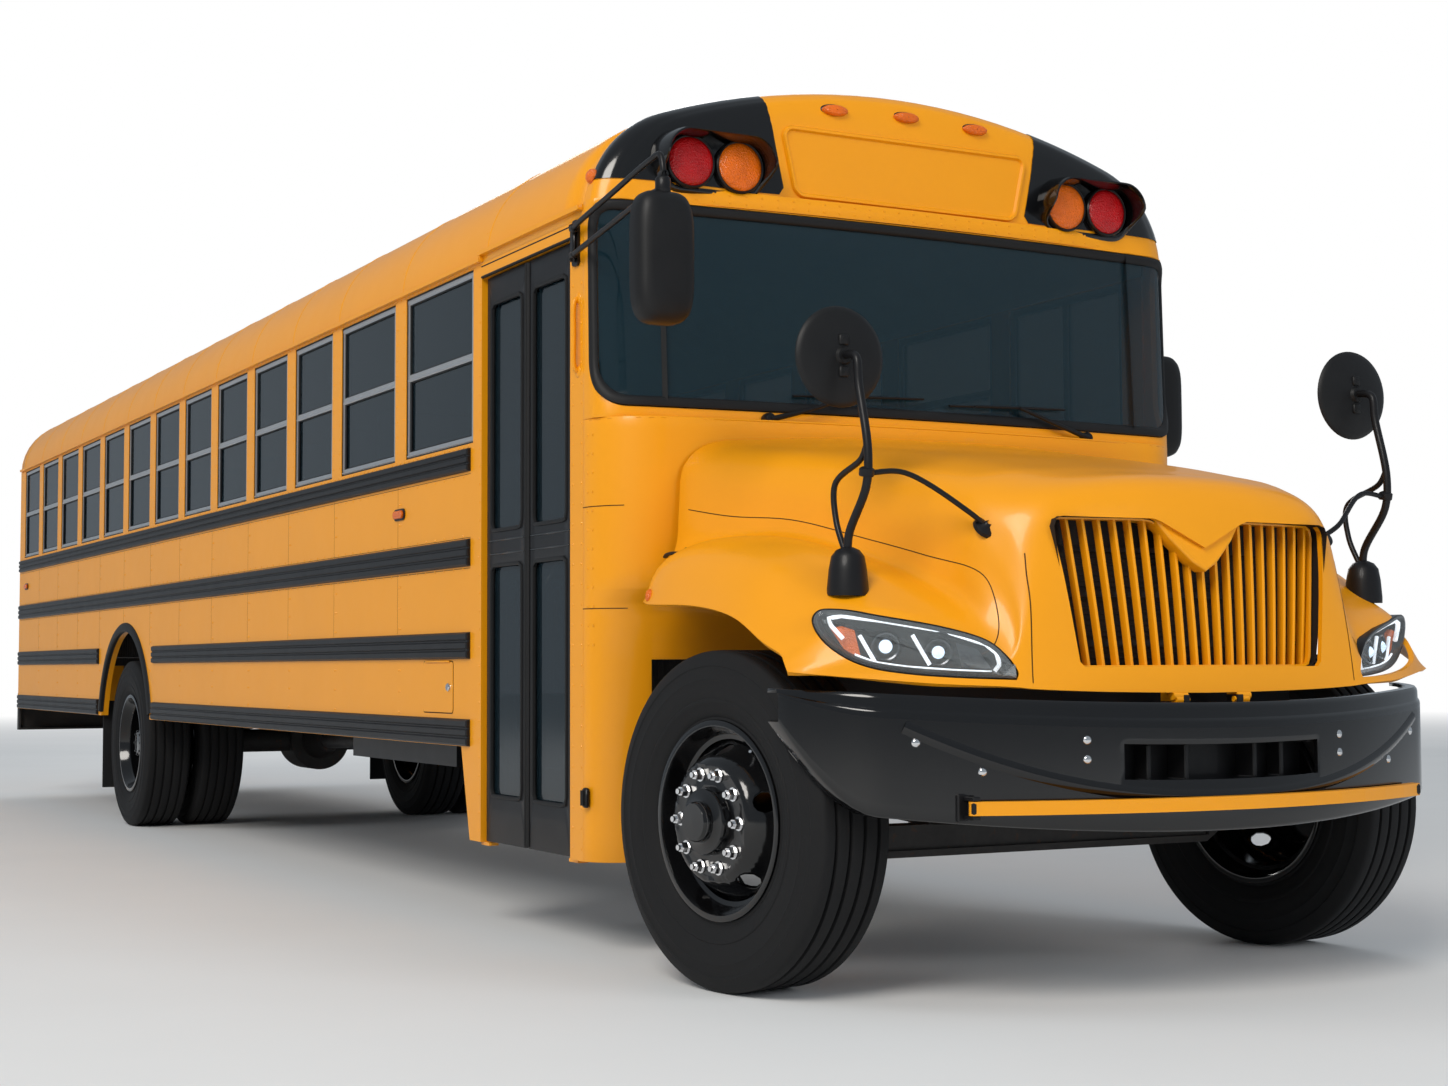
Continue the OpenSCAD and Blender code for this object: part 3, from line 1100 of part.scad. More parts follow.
chassis_frame();
front_axle();
rear_axle();
leaf_springs();
engine_and_gearbox();
driveshaft();
fuel_tank();
exhaust();
floor();
side_wall_left();
side_wall_right();
roof();
front_cap();
cowl();
rear_wall();
rear_door();
hood();
hood_hinges();
grille();
headlights();
windshield();
window_glass();
window_frames();
front_bumper();
rear_bumper();
crossing_arm();
stop_arm();
entry_door_front();
entry_door_rear();
side_mirrors();
crossover_mirrors();
seat_frames();
seat_cushions();
driver_seat();
steering_wheel();
dashboard();
lamps();
rub_rails();
knuckle_left();
knuckle_right();
tie_rod();
front_tyre_left();
front_tyre_right();
front_rim_left();
front_rim_right();
rear_tyres_left();
rear_tyres_right();
rear_rims_left();
rear_rims_right();
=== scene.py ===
"""School bus: the finished looks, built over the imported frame.

Lengths inside the builders are in millimetres. A station is the distance ahead of the front
axle, y points to the driver's side and z up from the ground; `Shape` turns them into metres.
"""

import itertools
import math

import bmesh
import bpy
import numpy as np
from mathutils import Matrix, Vector, kdtree
from mathutils.geometry import delaunay_2d_cdt


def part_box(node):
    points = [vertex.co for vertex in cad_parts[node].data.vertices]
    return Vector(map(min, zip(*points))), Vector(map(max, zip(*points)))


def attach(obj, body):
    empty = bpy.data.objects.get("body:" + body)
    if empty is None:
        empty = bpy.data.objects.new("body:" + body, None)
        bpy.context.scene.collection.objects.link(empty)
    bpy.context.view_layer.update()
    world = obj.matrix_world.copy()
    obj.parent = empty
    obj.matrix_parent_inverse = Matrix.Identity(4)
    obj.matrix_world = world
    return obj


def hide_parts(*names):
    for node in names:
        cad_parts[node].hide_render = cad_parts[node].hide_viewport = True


bl_info = {
    "name": "School bus looks",
    "version": (1, 0, 0),
    "blender": (4, 5, 0),
    "location": "3D View > Sidebar > School Bus",
    "description": "Builds the finished surfaces, trim and materials of a school bus over its CAD frame",
    "category": "Object",
}

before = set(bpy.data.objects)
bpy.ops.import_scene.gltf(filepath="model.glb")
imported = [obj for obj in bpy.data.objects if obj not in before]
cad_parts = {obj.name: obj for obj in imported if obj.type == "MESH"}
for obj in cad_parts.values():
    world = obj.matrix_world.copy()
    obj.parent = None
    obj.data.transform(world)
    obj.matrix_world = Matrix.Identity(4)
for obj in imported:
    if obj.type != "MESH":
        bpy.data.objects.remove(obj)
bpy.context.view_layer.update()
MM = 0.001


def node_box(name):
    """Lowest and highest corner of a CAD node, in millimetres."""
    low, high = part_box(name)
    return np.array(low) / MM, np.array(high) / MM


AXLE_X = float(np.mean([b[0] for b in node_box("front_axle")]))
AXLE_Z = float(np.mean([b[2] for b in node_box("front_tyre_left")]))
HALF_W = float(node_box("roof")[1][1])
PLAIN_HALF = 1219.0
REAR_AXLE = float(np.mean([b[0] for b in node_box("rear_tyres_left")])) - AXLE_X
BODY_REAR = float(node_box("roof")[0][0]) - AXLE_X
PILLAR = float(node_box("side_wall_right")[1][0]) - AXLE_X
FLOOR_Z = 1080.0
WALL = 45.0
REAR_FACE = BODY_REAR - WALL
EAVE = 2484.0
CROWN_R, SHOULDER_R = 2850.0, 400.0
CROWN_Z0 = EAVE - math.sqrt((CROWN_R - SHOULDER_R) ** 2 - (HALF_W - SHOULDER_R) ** 2)
SHOULDER_A = math.atan2(EAVE - CROWN_Z0, HALF_W - SHOULDER_R)
CROWN_EYE = 1400.0
SILL, HEADER = 1815.0, 2477.0
ENTRY_FRONT, ENTRY_REAR = -935.0, -1750.0
ENTRY_LOW, ENTRY_TOP, SKIRT = 320.0, 2430.0, 667.0
ARCH_R = 690.0
PI = math.pi


def window_spans():
    """(rear station, front station) of each window on one side."""
    spans, front = [], ENTRY_REAR - 86.0
    for length in [751.0, 716.0] + [574.0] * 11:
        spans.append((front - length, front))
        front -= length + 131.0
    return spans


WINDOWS = window_spans()


# A point inside the body, which the open sheets of its skin face away from.
CABIN = (-4000, 0, 1700)


# ---------------------------------------------------------------- settings


def colour(name, text, default):
    return bpy.props.FloatVectorProperty(
        name=name, description=text, default=default, size=3, min=0, max=1, subtype="COLOR"
    )


def length(name, text, default):
    return bpy.props.FloatProperty(
        name=name, description=text, default=default, min=0, unit="LENGTH", subtype="DISTANCE"
    )


class BusPaint(bpy.types.PropertyGroup):
    """Colours of the bus's finishes."""

    yellow: colour("Body yellow", "Paint of the body and hood", (0.86, 0.33, 0.002))
    black: colour("Trim black", "Gloss black of the bumper and lamp pods", (0.003, 0.003, 0.0035))
    rubber: colour("Rubber", "Tyres and gaskets", (0.009, 0.009, 0.0095))
    plastic: colour("Plastic", "Mirror shells and trim", (0.007, 0.007, 0.0075))
    glass: colour("Glass tint", "Tint of the side windows", (0.006, 0.013, 0.018))
    vinyl: colour("Seat vinyl", "Covers of the bench seats", (0.055, 0.022, 0.011))
    amber: colour("Amber", "Amber lamp lenses", (0.8, 0.15, 0.002))
    red: colour("Red", "Red lamp lenses and the stop sign", (0.45, 0.002, 0.004))


class BusTrim(bpy.types.PropertyGroup):
    """Sizes of the bus's trim."""

    rivet: length("Rivet head", "Radius of a rivet's head", 0.0055)
    pitch: length("Rivet pitch", "Distance between rivets in a row", 0.085)
    tread_depth: length("Tread depth", "Depth of the tyre grooves", 0.013)


# ---------------------------------------------------------------- shader maths


class Socket:
    """An output socket or a number, with arithmetic that adds Math nodes."""

    def __init__(self, shade, link):
        self.shade, self.link = shade, link

    def _do(self, kind, *values):
        return self.shade.add("ShaderNodeMath", {"operation": kind}, *values)

    def __add__(self, other):
        return self._do("ADD", self, other)

    def __sub__(self, other):
        return self._do("SUBTRACT", self, other)

    def __rsub__(self, other):
        return self._do("SUBTRACT", other, self)

    def __mul__(self, other):
        return self._do("MULTIPLY", self, other)

    def __gt__(self, other):
        return self._do("GREATER_THAN", self, other)

    __radd__, __rmul__ = __add__, __mul__

    def sine(self):
        return self._do("SINE", self)

    def clamp(self):
        return self.shade.add("ShaderNodeClamp", {}, self, 0.0, 1.0)


class Shade:
    """The node tree of one finish, or of the world."""

    def __init__(self, name, kept_in="materials"):
        self.material = getattr(bpy.data, kept_in).new(name)
        self.material.use_nodes = True
        self.tree = self.material.node_tree
        self.surface = next(n for n in self.tree.nodes if n.type in ("BSDF_PRINCIPLED", "BACKGROUND"))

    def show(self, factor, below, above):
        """Sends a mix of two shaders to the output."""
        out = next(n for n in self.tree.nodes if n.type in ("OUTPUT_MATERIAL", "OUTPUT_WORLD"))
        self.plug(out.inputs[0], self.add("ShaderNodeMixShader", {}, factor, below, above))

    def add(self, kind, settings=None, *values, out=0, **named):
        """Adds a node: its settings first, then its sockets in order or by name."""
        node = self.tree.nodes.new(kind)
        for key, value in (settings or {}).items():
            setattr(node, key, value)
        for key, value in [*enumerate(values), *named.items()]:
            self.plug(node.inputs[key], value)
        return Socket(self, node.outputs[out])

    def plug(self, socket, value):
        """Links a socket, or sets a plain value on it."""
        if isinstance(value, Socket):
            self.tree.links.new(value.link, socket)
        elif value is not None:
            socket.default_value = (*value, 1) if socket.type == "RGBA" else value

    def place(self):
        """Position on the piece, in the frame's metres."""
        return self.add("ShaderNodeTexCoord", out=3)

    def split(self, vector, axis):
        """One of a vector's X, Y and Z."""
        return self.add("ShaderNodeSeparateXYZ", {}, vector, out="XYZ".index(axis))

    def stretch(self, vector, scale):
        return self.add("ShaderNodeVectorMath", {"operation": "MULTIPLY"}, vector, scale)

    def noise(self, vector, scale, detail=3.0, roughness=0.5):
        return self.add("ShaderNodeTexNoise", {}, Vector=vector, Scale=scale, Detail=detail, Roughness=roughness)

    def cells(self, vector, scale, feature="F1"):
        return self.add("ShaderNodeTexVoronoi", {"feature": feature}, Vector=vector, Scale=scale)

    def mix(self, factor, low, high):
        """Mix of two colours, which are the node's seventh and eighth inputs and its third output."""
        unused = [None] * 5
        return self.add("ShaderNodeMix", {"data_type": "RGBA"}, factor, *unused, low, high, out=2)

    def bump(self, height, distance, strength=1.0):
        return self.add("ShaderNodeBump", {}, Height=height, Distance=distance, Strength=strength)

    def set(self, **values):
        """Sets the surface's sockets, by name with underscores for spaces."""
        for key, value in values.items():
            self.plug(self.surface.inputs[key.replace("_", " ")], value)
        return self.material


def toned(rgb, by, lift=0.0):
    """A colour made darker or lighter."""
    return tuple(min(1, by * c + lift) for c in rgb)


def grime(shade, place, low, high):
    """Dust that gathers between two heights above the ground, broken up by noise."""
    rise = (high - shade.split(place, "Z")) * (1 / (high - low))
    return (rise.clamp() * shade.noise(place, 3.5, 5.0, 0.62) * 1.15).clamp()


def painted(name, rgb, coat=0.22, rough=0.34, dust=0.08, shine=0.35):
    """Sprayed enamel: faint mottle, fine orange peel and road dust low down."""
    s = Shade(name)
    place = s.place()
    mottle = s.noise(place, 1.7, 4.0, 0.55)
    deep = toned(rgb, 0.9)
    dusty = tuple(0.6 * c + 0.4 * d for c, d in zip(rgb, (0.2, 0.17, 0.13)))
    dirt = grime(s, place, 0.25, 0.95)
    body = s.mix(mottle, deep, rgb)
    peel = s.noise(place, 240.0, 2.0)
    return s.set(
        Base_Color=s.mix(dirt * dust, body, dusty),
        Roughness=rough + 0.08 * s.noise(place, 9.0, 4.0) + 0.25 * dirt * dust,
        Coat_Weight=coat,
        Coat_Roughness=0.1,
        Specular_IOR_Level=shine,
        Normal=s.bump(peel, 0.00012, 0.35),
    )


def moulded(name, rgb, rough=0.5, grain=420.0, depth=0.0002):
    """Moulded plastic with a fine leathery grain."""
    s = Shade(name)
    place = s.place()
    cells = s.cells(place, grain)
    worn = s.noise(place, 12.0, 5.0, 0.6)
    return s.set(
        Base_Color=s.mix(worn, toned(rgb, 0.8), toned(rgb, 1.25)),
        Roughness=rough + 0.12 * worn,
        Specular_IOR_Level=0.3,
        Normal=s.bump(cells, depth, 0.5),
    )


def cast(name, rgb, metal=0.6, rough=0.5):
    """Cast or rolled steel with scale, rust freckles and dust."""
    s = Shade(name)
    place = s.place()
    spots = (s.noise(place, 26.0, 6.0, 0.65) > 0.62) * 0.5
    body = s.mix(s.noise(place, 7.0, 5.0), toned(rgb, 0.75), toned(rgb, 1.2))
    rusty = s.mix(spots, body, (0.09, 0.035, 0.015))
    return s.set(
        Base_Color=s.mix(grime(s, place, 0.1, 1.0) * 0.3, rusty, (0.16, 0.135, 0.11)),
        Roughness=rough + 0.25 * s.noise(place, 60.0, 4.0),
        Metallic=metal,
        Normal=s.bump(s.noise(place, 140.0, 5.0), 0.0006, 0.6),
    )


def tyre_rubber(name, rgb):
    """Tyre rubber with fine mould lines and a grey bloom of dust."""
    s = Shade(name)
    place = s.place()
    bloom = s.noise(place, 16.0, 6.0, 0.6)
    return s.set(
        Base_Color=s.mix(bloom * 0.5, rgb, toned(rgb, 2.0)),
        Roughness=0.62 + 0.2 * bloom,
        Specular_IOR_Level=0.2,
        Normal=s.bump(s.noise(place, 320.0, 3.0), 0.0004, 0.5),
    )


def glazing(name, rgb, alpha):
    """Tinted pane: nearly mirror smooth, with a faint film in its tone and gloss."""
    s = Shade(name)
    film = s.noise(s.place(), 2.2, 4.0, 0.6)
    return s.set(
        Base_Color=s.mix(film * 0.3, rgb, toned(rgb, 1.6, 0.004)),
        Roughness=0.02 + 0.012 * film,
        Alpha=alpha,
        IOR=1.5,
    )


def lens(name, rgb, cells=150.0, glow=0.0):
    """Lamp lens: saturated colour over a field of small prisms."""
    s = Shade(name)
    place = s.place()
    prism = s.cells(place, cells)
    tone = s.mix(s.noise(place, 18.0, 2.0), toned(rgb, 0.55), toned(rgb, 1.1))
    return s.set(
        Base_Color=tone,
        Roughness=0.12 + 0.1 * prism,
        Coat_Weight=0.15,
        Coat_Roughness=0.05,
        Emission_Color=rgb,
        Emission_Strength=glow,
        Normal=s.bump(prism, 0.004, 0.7),
    )


def bright(name, rgb, metal=1.0, rough=0.12, brushed=0.0):
    """Plated or anodised metal, brushed along the bus where asked."""
    s = Shade(name)
    place = s.place()
    grain = s.noise(s.stretch(place, (1.0, 1.0, 40.0)), 60.0, 3.0)
    smear = s.noise(place, 9.0, 4.0)
    return s.set(
        Base_Color=s.mix(smear * 0.5, rgb, toned(rgb, 0.78)),
        Roughness=rough + 0.08 * smear + brushed * grain,
        Metallic=metal,
        Normal=s.bump(grain, 0.0002, 0.2),
    )


def upholstery(name, rgb):
    """Grained vinyl with soft wear in random patches."""
    s = Shade(name)
    place = s.place()
    grain = s.cells(place, 330.0, "DISTANCE_TO_EDGE")
    wear = s.noise(place, 8.0, 5.0, 0.6)
    return s.set(
        Base_Color=s.mix(wear * 0.6, rgb, toned(rgb, 1.7)),
        Roughness=0.42 + 0.18 * wear,
        Sheen_Weight=0.1,
        Normal=s.bump((grain * 6.0).clamp(), 0.0006, 0.6),
    )


def rubber_mat(name, rgb):
    """Ribbed floor covering with scuffs."""
    s = Shade(name)
    place = s.place()
    ribs = (s.split(place, "Y") * 420.0).sine()
    scuff = s.noise(place, 5.0, 6.0, 0.65)
    return s.set(
        Base_Color=s.mix(scuff * 0.6, rgb, (0.1, 0.093, 0.083)),
        Roughness=0.55 + 0.25 * scuff,
        Normal=s.bump(ribs, 0.0012, 0.5),
    )


def light_bar(name, rgb, strength):
    """Diffusing light guide."""
    s = Shade(name)
    place = s.place()
    ripple = s.noise(place, 60.0, 2.0)
    return s.set(
        Base_Color=s.mix(ripple * 0.2, rgb, (0.5, 0.55, 0.6)),
        Roughness=0.25 + 0.1 * ripple,
        Emission_Color=rgb,
        Emission_Strength=strength,
    )


def finishes():
    """Every finish of the bus, by name."""
    p = bpy.context.scene.bus_paint
    yellow, black, plastic = tuple(p.yellow), tuple(p.black), tuple(p.plastic)
    return {
        "yellow": painted("school_yellow_enamel", yellow),
        "gloss": painted("gloss_black_enamel", black, 0.65, 0.1, 0.01, 0.25),
        "satin": painted("satin_black_enamel", toned(black, 2.2), 0.1, 0.4, 0.05, 0.25),
        "chassis": painted("frame_black_paint", toned(black, 3.0), 0.0, 0.5, 0.4),
        # gap: painted shade, a near-black copy of the yellow paint that stands for the shade inside panel gaps and
        # seams
        "gap": moulded("painted_gap_shade", (0.05, 0.017, 0.002), 0.7),
        "rubber": moulded("rubber_gasket", tuple(p.rubber), 0.5, 300.0),
        "tyre": tyre_rubber("tyre_rubber", tuple(p.rubber)),
        "plastic": moulded("black_moulding", plastic, 0.42),
        "smooth": moulded("smooth_black_moulding", plastic, 0.25, 700.0, 0.00005),
        "headlining": moulded("pale_headlining", (0.5, 0.5, 0.48), 0.6),
        "dash": moulded("dark_grey_moulding", (0.04, 0.04, 0.043), 0.55),
        "glass": glazing("tinted_glass", tuple(p.glass), 0.82),
        "shield": glazing("windshield_glass", (0.008, 0.024, 0.034), 0.58),
        "clear": glazing("clear_cover", (0.55, 0.6, 0.62), 0.16),
        "mirror": bright("mirror_glass", (0.75, 0.78, 0.8), 1.0, 0.01),
        "chrome": bright("bright_plating", (0.78, 0.78, 0.79), 1.0, 0.08),
        "dark_chrome": bright("smoked_plating", (0.1, 0.105, 0.115), 1.0, 0.14),
        "aluminium": bright("anodised_aluminium", (0.62, 0.63, 0.64), 0.9, 0.26, 0.12),
        "steel": cast("machined_steel", (0.16, 0.16, 0.165), 0.8, 0.4),
        "iron": cast("cast_iron", (0.035, 0.035, 0.037), 0.4, 0.55),
        "machine": cast("engine_castings", (0.1, 0.105, 0.11), 0.5, 0.5),
        "exhaust": cast("aluminised_tube", (0.3, 0.29, 0.27), 0.9, 0.45),
        "amber": lens("amber_lens", tuple(p.amber), glow=0.06),
        "red": lens("red_lens", tuple(p.red), glow=0.05),
        "amber_small": lens("amber_marker_lens", tuple(p.amber), 220.0, 0.08),
        "sign": painted("reflective_red", tuple(p.red), 0.3, 0.4, 0.0),
        "white": painted("reflective_white", (0.75, 0.75, 0.74), 0.3, 0.4, 0.0),
        "vinyl": upholstery("brown_seat_vinyl", tuple(p.vinyl)),
        "mat": rubber_mat("ribbed_floor_mat", (0.018, 0.018, 0.019)),
        "glow": light_bar("white_light_guide", (0.88, 0.94, 1.0), 0.75),
        "beam": light_bar("projector_beam", (0.66, 0.82, 1.0), 1.1),
    }


# The CAD slot that each finish stands for; make looks one up where a piece names no other, but puts it on nothing.
SLOTS = {
    "school_yellow": ("yellow", "gap"),
    "black_plastic": ("satin", "gloss", "rubber", "plastic", "smooth"),
    "window_aluminium": ("aluminium", "chrome", "mirror", "white"),
    "clear_glass": ("glass", "shield", "clear"),
    "lamp_red": ("red", "amber", "amber_small"),
    "lamp_glass": ("glow", "beam", "dark_chrome"),
    "sign_red": ("sign",),
    "seat_vinyl": ("vinyl",),
    "dash_grey": ("headlining",),
    "tyre": ("tyre",),
    "axle_steel": ("steel",),
}
FINISH = {}


# ---------------------------------------------------------------- shapes


class Shape:
    """Points and faces of one piece, gathered in millimetres from parts of several kinds."""

    def __init__(self):
        self.points, self.faces, self.count = [], [], 0

    def add(self, points, faces):
        points = np.asarray(points, float).reshape(-1, 3)
        self.points.append(points)
        self.faces += [tuple(i + self.count for i in f) for f in faces]
        self.count += len(points)
        return self

    def box(self, low, high, chamfer=0.0):
        """Box between two corners, with its edges cut back by the chamfer."""
        low, high = np.minimum(low, high).astype(float), np.maximum(low, high).astype(float)
        c = min(chamfer, 0.45 * float((high - low).min()))
        if c <= 0:
            x = [low[0], high[0]], [low[1], high[1]], [low[2], high[2]]
            pts = [(a, b, d) for a in x[0] for b in x[1] for d in x[2]]
            return self.add(
                pts, [(0, 1, 3, 2), (4, 6, 7, 5), (0, 4, 5, 1), (2, 3, 7, 6), (0, 2, 6, 4), (1, 5, 7, 3)]
            )
        mid, half = (low + high) / 2, (high - low) / 2
        pts, index = [], {}
        corners = list(itertools.product((-1, 1), repeat=3))
        for corner in corners:
            for axis in range(3):
                index[(*corner, axis)] = len(pts)
                pts.append(mid + (half - c * (np.arange(3) != axis)) * corner)
        faces = []
        for axis in range(3):
            a, b = [i for i in range(3) if i != axis]

            def at(s, sa, sb, near):
                key = [0, 0, 0]
                key[axis], key[a], key[b] = s, sa, sb
                return index[(*key, near)]

            for s in (-1, 1):
                ring = [at(s, sa, sb, axis) for sa, sb in ((-1, -1), (1, -1), (1, 1), (-1, 1))]
                faces.append(ring if (s > 0) == (axis != 1) else ring[::-1])
            for sa, sb in itertools.product((-1, 1), repeat=2):
                faces.append([at(s, sa, sb, k) for s, k in ((-1, a), (1, a), (1, b), (-1, b))])
        faces += [[index[(*corner, k)] for k in range(3)] for corner in corners]
        return self.add(pts, faces)

    def grid(self, points, close_u=False, close_v=False):
        """Quads over an array of points (rows, columns, 3)."""
        points = np.asarray(points)
        rows, cols = points.shape[:2]
        faces = []
        for i in range(rows if close_u else rows - 1):
            for j in range(cols if close_v else cols - 1):
                a, b = i * cols + j, i * cols + (j + 1) % cols
                k = (i + 1) % rows
                faces.append((a, b, k * cols + (j + 1) % cols, k * cols + j))
        return self.add(points.reshape(-1, 3), faces)

    def loft(self, rows):
        """Skin through closed rings of equal count."""
        return self.grid(rows, close_v=True)

    def fan(self, ring, centre):
        """Triangles from a closed ring to a point."""
        n = len(ring)
        return self.add(list(ring) + [centre], [(i, (i + 1) % n, n) for i in range(n)])

    def tube(self, path, radius, sides=12, flat=1.0):
        """Round tube along a path; flat squeezes it across its second direction."""
        path = np.asarray(path, float)
        n = len(path)
        radius = np.broadcast_to(radius, (n,))
        ahead = np.roll(path, -1, 0) - np.roll(path, 1, 0)
        ahead[0], ahead[-1] = path[1] - path[0], path[-1] - path[-2]
        ahead = unit(ahead)
        start = np.array([0, 0, 1.0]) if abs(ahead[0][2]) < 0.9 else np.array([1.0, 0, 0])
        side = np.cross(ahead[0], start)
        a = around(sides)[:, None]
        rings = []
        for i in range(n):
            side = unit(side - ahead[i] * side.dot(ahead[i]))
            up = np.cross(ahead[i], side)
            rings.append(path[i] + radius[i] * (np.cos(a) * side + flat * np.sin(a) * up))
        return self.loft(rings).fan(rings[0][::-1], path[0]).fan(rings[-1], path[-1])

    def lathe(self, profile, centre, axis, sides=64, closed=False):
        """Turns (radius, along) pairs about an axis through a centre."""
        axis = unit(np.asarray(axis, float))
        e1 = unit(np.cross(axis, (0, 0, 1.0) if abs(axis[2]) < 0.9 else (1.0, 0, 0)))
        a = around(sides)[:, None]
        ring = np.cos(a) * e1 + np.sin(a) * np.cross(axis, e1)
        return self.grid(
            [np.asarray(centre) + r * ring + h * axis for r, h in profile], close_u=closed, close_v=True
        )

    def prism(self, outline, place, low, high):
        """Solid between two depths over a convex or mildly concave outline."""
        flat = np.asarray(outline, float)
        n = len(flat)
        a, b = place(flat, low), place(flat, high)
        sides = [(i, (i + 1) % n, n + (i + 1) % n, n + i) for i in range(n)]
        return self.add(np.vstack([a, b]), [tuple(range(n))[::-1], tuple(range(n, 2 * n))] + sides)

    def copies(self, points, faces, places):
        """The same small part at many places (each a 4x4 in millimetres)."""
        points = np.asarray(points, float)
        for m in places:
            self.add(points @ np.asarray(m)[:3, :3].T + np.asarray(m)[:3, 3], faces)
        return self

    def rivets(self, places, sides=7):
        """Rivet heads at many places."""
        return self.copies(*dome(bpy.context.scene.bus_trim.rivet / MM, sides=sides), places)

    def moved(self, place):
        """Moves everything gathered so far by a function of the points."""
        self.points = [place(np.vstack(self.points))]
        return self

    def make(
        self, name, finish, body="chassis", slot=None, replaces=(), smooth=32.0, bevel=0.0, solid=0.0, outward=None
    ):
        """Turns the gathered parts into a piece that rides on a body.

        The slot, or else the one of its finish, is looked up but not put on the piece. An open sheet is turned to
        face away from the point outward; closed parts turn by themselves.
        """
        pts = np.vstack(self.points) * MM + (AXLE_X * MM, 0, 0)
        mesh = bpy.data.meshes.new(name)
        mesh.from_pydata(pts.tolist(), [], self.faces)
        work = bmesh.new()
        work.from_mesh(mesh)
        bmesh.ops.remove_doubles(work, verts=work.verts, dist=0.05 * MM)
        if outward is None:
            bmesh.ops.recalc_face_normals(work, faces=work.faces)
        else:
            middle = Vector(outward) * MM + Vector((AXLE_X * MM, 0, 0))
            work.normal_update()
            if sum(f.calc_area() * f.normal.dot(f.calc_center_median() - middle) for f in work.faces) < 0:
                bmesh.ops.reverse_faces(work, faces=work.faces)
        work.to_mesh(mesh)
        work.free()
        mesh.shade_smooth()
        mesh.set_sharp_from_angle(angle=math.radians(smooth))
        piece = bpy.data.objects.new(name, mesh)
        link(piece)
        mesh.materials.append(FINISH[finish])
        if solid:
            m = piece.modifiers.new("thickness", "SOLIDIFY")
            m.thickness, m.offset = solid * MM, -1
        if bevel:
            round_edges(piece, bevel)
        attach(piece, body)
        slot or next(s for s, held in SLOTS.items() if finish in held)
        if replaces:
            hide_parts(*replaces)
        return piece


def around(count):
    """Even angles round a circle."""
    return np.linspace(0, 2 * PI, count, endpoint=False)


def link(thing):
    """Puts an object in the scene."""
    bpy.context.scene.collection.objects.link(thing)


def unit(vectors):
    """Each row at a length of one."""
    return vectors / np.linalg.norm(vectors, axis=-1, keepdims=True)


def xyz(*columns):
    """Points from their columns; a single number is repeated."""
    return np.stack(np.broadcast_arrays(*columns), -1).astype(float)


def facing(flat, depth):
    """Maps (y, z) to space at one station."""
    return xyz(depth, flat[:, 0], flat[:, 1])


def beside(side):
    """Maps (station, z) and a distance out from a side wall to space."""
    return lambda flat, out: xyz(flat[:, 0], side * (HALF_W + out), flat[:, 1])


def round_edges(piece, width):
    """Softens a piece's sharp edges."""
    m = piece.modifiers.new("edges", "BEVEL")
    m.width, m.segments, m.limit_method, m.angle_limit = width * MM, 2, "ANGLE", math.radians(40)


def cut_out(piece, *cutters):
    """Cuts other pieces' shapes out of a piece and removes them."""
    for cutter in cutters:
        m = piece.modifiers.new("cut", "BOOLEAN")
        m.operation, m.solver, m.object = "DIFFERENCE", "EXACT", cutter
    graph = bpy.context.evaluated_depsgraph_get()
    mesh = bpy.data.meshes.new_from_object(piece.evaluated_get(graph))
    piece.modifiers.clear()
    piece.data = mesh
    for cutter in cutters:
        bpy.data.objects.remove(cutter)


def rounded(low, high, radius, steps=5):
    """Rectangle outline with rounded corners; radius may be one number or four, from low-low round."""
    (x0, y0), (x1, y1) = low, high
    r = [radius] * 4 if np.isscalar(radius) else radius
    out = []
    for k, (cx, cy) in enumerate((
        (x0 + r[0], y0 + r[0]), (x1 - r[1], y0 + r[1]), (x1 - r[2], y1 - r[2]), (x0 + r[3], y1 - r[3])
    )):
        for a in np.linspace(PI + k * PI / 2, 1.5 * PI + k * PI / 2, steps + 1):
            out.append((cx + r[k] * math.cos(a), cy + r[k] * math.sin(a)))
    return np.array(out)


def inset(outline, amount):
    """Moves a closed outline inwards (anticlockwise outlines) by an amount."""
    p = np.asarray(outline, float)
    t = np.roll(p, -1, 0) - np.roll(p, 1, 0)
    t /= np.linalg.norm(t, axis=1, keepdims=True) + 1e-9
    return p + amount * np.stack([-t[:, 1], t[:, 0]], 1)


def resample(points, step, closed=False):
    """Even spacing along a polyline."""
    p = np.asarray(points, float)
    if closed:
        p = np.vstack([p, p[:1]])
    d = np.concatenate([[0], np.cumsum(np.linalg.norm(np.diff(p, axis=0), axis=1))])
    n = max(2, int(round(d[-1] / step)) + 1)
    at = np.linspace(0, d[-1], n)
    out = np.stack([np.interp(at, d, p[:, k]) for k in range(p.shape[1])], 1)
    return out[:-1] if closed else out


def through(values, knots, at):
    """Smooth curve through rows of values at knots, read at new places (non-uniform Catmull-Rom)."""
    p = np.concatenate([[2 * values[0] - values[1]], values, [2 * values[-1] - values[-2]]])
    k = np.concatenate([[2 * knots[0] - knots[1]], knots, [2 * knots[-1] - knots[-2]]])
    out = []
    for s in at:
        i = min(max(np.searchsorted(k, s) - 1, 1), len(k) - 3)
        a = [p[j] + (p[j + 1] - p[j]) * (s - k[j]) / (k[j + 1] - k[j]) for j in (i - 1, i, i + 1)]
        b = [a[j] + (a[j + 1] - a[j]) * (s - k[i - 1 + j]) / (k[i + 1 + j] - k[i - 1 + j]) for j in (0, 1)]
        out.append(b[0] + (b[1] - b[0]) * (s - k[i]) / (k[i + 1] - k[i]))
    return np.array(out)


def smooth_path(points, count=40):
    """Smooth curve through points, about count of them, closer where the points are close."""
    p = np.asarray(points, float)
    gaps = np.maximum(1e-6, np.linalg.norm(np.diff(p, axis=0), axis=1)) ** 0.5
    knots = np.concatenate([[0], np.cumsum(gaps)])
    each = max(2, count // len(gaps))
    spans = [np.linspace(a, b, each, endpoint=b == knots[-1]) for a, b in zip(knots[:-1], knots[1:])]
    return through(p, knots, np.concatenate(spans))


